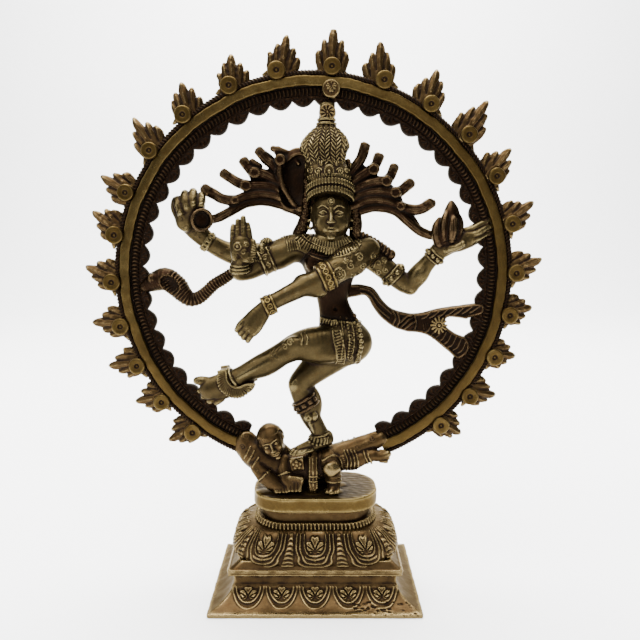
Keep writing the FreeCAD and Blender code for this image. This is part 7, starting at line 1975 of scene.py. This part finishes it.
p.do(cap((-13.4, -9.4, 68.2), (-6.2, -9.4, 67.6), 1.0, 1.0), 0.3)
D.add("dwarf_medallion", p, 0.3)
p = D.sub((-7, -17, 55), (5, -2, 81))
limb(p, [(-1.4, -7.4, 77.0, 2.8), (-1.2, -10.4, 72.0, 2.9), (-1.1, -11.4, 65.0, 2.8), (-1.0, -11.8, 59.4, 3.2)], 14, 0, flat=((0, 1, 0), 1.2))
D.add("dwarf_belt_tail", p, 0.3)
U = D.c
for x in (-3.0, -1.2, 0.8):
    U.draw([(x, 76.0), (x + 0.1, 60.0)], 0.34, lift=0.1)
for z in (66.4, 63.8):
    U.draw([(-4.0, z), (2.0, z)], 0.5, lift=0.15)
ribs(U, [(14.0, 76.4), (15.4, 71.0), (16.0, 66.8)], 2.4, 1.2, 0.4)
for i_ in range(4):
    U.draw(spline2([(15.6 + i_ * 1.9, 78.6), (17.6 + i_ * 1.9, 73.6), (17.0 + i_ * 1.9, 67.6)], 10), 0.42, lift=0.12)
U.draw(spline2([(4.0, 75.0), (9.0, 77.4), (13.6, 74.6), (14.6, 69.0)], 12), 0.5, lift=0.15)
for q in ([(-14.6, 77.6), (-10.0, 76.6), (-5.0, 77.4)], [(-15.4, 79.0), (-10.0, 78.2), (-4.6, 79.2)]):
    U.draw(spline2(q, 10), 0.45, lift=0.1)
for (a, b) in (((-36.4, 73.0), (-33.0, 79.4)), ((-38.4, 75.0), (-35.2, 81.0)), ((-33.8, 71.0), (-30.6, 76.0))):
    U.draw([a, b], 0.45, lift=0.1)
scribble(U, [(-40.6, 84.4), (-37.6, 86.2), (-36.6, 78.6), (-29.0, 72.6), (-8.0, 65.4), (3.6, 66.6), (22.6, 80.0), (27.6, 81.6), (-14.0, 74.6)], 1.2, 51, r=0.24)
scribble(U, [(-39.6, 80.6), (-34.6, 76.6), (-31.0, 69.6), (-27.0, 67.6), (18.6, 76.6), (31.0, 84.6), (12.6, 62.6), (-19.6, 66.6)], 1.5, 53, r=0.28)
for q in ([(-14.6, 79.6), (-8.0, 76.6), (-1.0, 76.0), (6.0, 77.4)], [(-15.4, 81.6), (-8.0, 78.8), (-1.0, 78.2), (6.4, 79.6)], [(14.0, 84.0), (16.6, 77.0), (15.6, 70.0)], [(17.0, 85.0), (19.6, 78.0), (18.8, 71.6)], [(20.2, 85.6), (22.8, 79.6), (22.0, 73.6)], [(-26.0, 80.0), (-23.4, 74.6), (-25.0, 69.0)], [(-29.0, 82.0), (-26.6, 76.6), (-28.0, 71.0)]):
    U.draw(spline2(q, 12), 0.5, 1, lift=0.1)
for x in (-3.4, -0.8, 1.8):
    U.draw([(x, 76.0), (x + 0.2, 67.0)], 0.4, 1, lift=0.1)
U.f += rough(0.10, 6, 52)(*U.at((slice(None),) * 3))
for nm in ("dwarf_body", "dwarf_head", "dwarf_leg_left", "dwarf_leg_right", "dwarf_arm_right", "dwarf_arm_left", "dwarf_medallion", "dwarf_belt_tail"):
    D.out(nm, M_CAST, [nm], "patinated_brass", 0.7, tint=lambda P: 0.055 - 0.24 * np.clip(1.5 - np.hypot(P[:, 0] - 8.7, P[:, 2] - 70.6) / 3.2, 0, 1) * (P[:, 1] < -10))
D.out("dwarf_seat", M_DARK, ["dwarf_seat"], "dark_brass", 0.7)
del D, U, G


# ------------------------------------------------------------------ studio
def area(name, loc, target, size, power, color=(1, 1, 1), size_y=None):
    d = bpy.data.lights.new(name, "AREA")
    d.energy = power
    d.color = color
    d.size = size
    if size_y:
        d.shape = "RECTANGLE"
        d.size_y = size_y
    o = bpy.data.objects.new(name, d)
    bpy.context.scene.collection.objects.link(o)
    o.location = loc
    o.rotation_euler = (Vector(target) - Vector(loc)).to_track_quat("-Z", "Y").to_euler()
    return o


me = bpy.data.meshes.new("sweep_floor")
prof = [(-4.0, 0.0), (1.1, 0.0)] + [(1.1 + 0.5 * math.sin(t), 0.5 - 0.5 * math.cos(t)) for t in np.linspace(0.1, math.pi / 2, 12)] + [(1.6, 3.2)]
vv_, ff_ = [], []
for i, (y, z) in enumerate(prof):
    vv_ += [(-4.5, y, z), (4.5, y, z)]
    if i:
        ff_.append((2 * i - 2, 2 * i - 1, 2 * i + 1, 2 * i))
me.from_pydata(vv_, [], ff_)
me.update()
for p in me.polygons:
    p.use_smooth = True
floor = bpy.data.objects.new("sweep_floor", me)
bpy.context.scene.collection.objects.link(floor)
mf = bpy.data.materials.new("floor_paper")
mf.use_nodes = True
fb = mf.node_tree.nodes["Principled BSDF"]
fb.inputs["Base Color"].default_value = (0.93, 0.93, 0.93, 1)
fb.inputs["Roughness"].default_value = 0.7
me.materials.append(mf)

w = bpy.data.worlds.new("studio")
w.use_nodes = True
w.node_tree.nodes["Background"].inputs["Color"].default_value = (0.86, 0.88, 0.92, 1)
w.node_tree.nodes["Background"].inputs["Strength"].default_value = 0.55
bpy.context.scene.world = w
lights = [
    area("key_top", (-0.25, -0.25, 1.25), (0, 0.05, 0.12), 1.3, 48.0, (1.0, 0.985, 0.96)),
    area("fill_left", (-1.1, -0.6, 0.55), (0, 0, 0.15), 0.8, 8.0, (0.95, 0.97, 1.0)),
    area("rim_right", (0.9, 0.35, 0.75), (0, 0, 0.16), 0.6, 8.0, (1.0, 0.99, 0.97)),
    area("front_soft", (0.25, -1.5, 0.7), (0, 0, 0.15), 0.9, 6.0, (1.0, 0.98, 0.95)),
    area("back_wall", (0.0, 0.55, 1.5), (0, 1.3, 0.3), 1.4, 130.0, (1.0, 1.0, 1.0)),
]

cam = bpy.data.cameras.new("camera")
cam.sensor_width = 36.0
cam.lens = 36.0
cam.clip_start = 0.01
co = bpy.data.objects.new("camera", cam)
bpy.context.scene.collection.objects.link(co)
co.location = (0.0026, -0.3418, 0.1975)
co.rotation_euler = (math.radians(90 - 8), 0, 0)
bpy.context.scene.camera = co

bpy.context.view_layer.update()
print("total %.1f s" % (time.time() - T0))
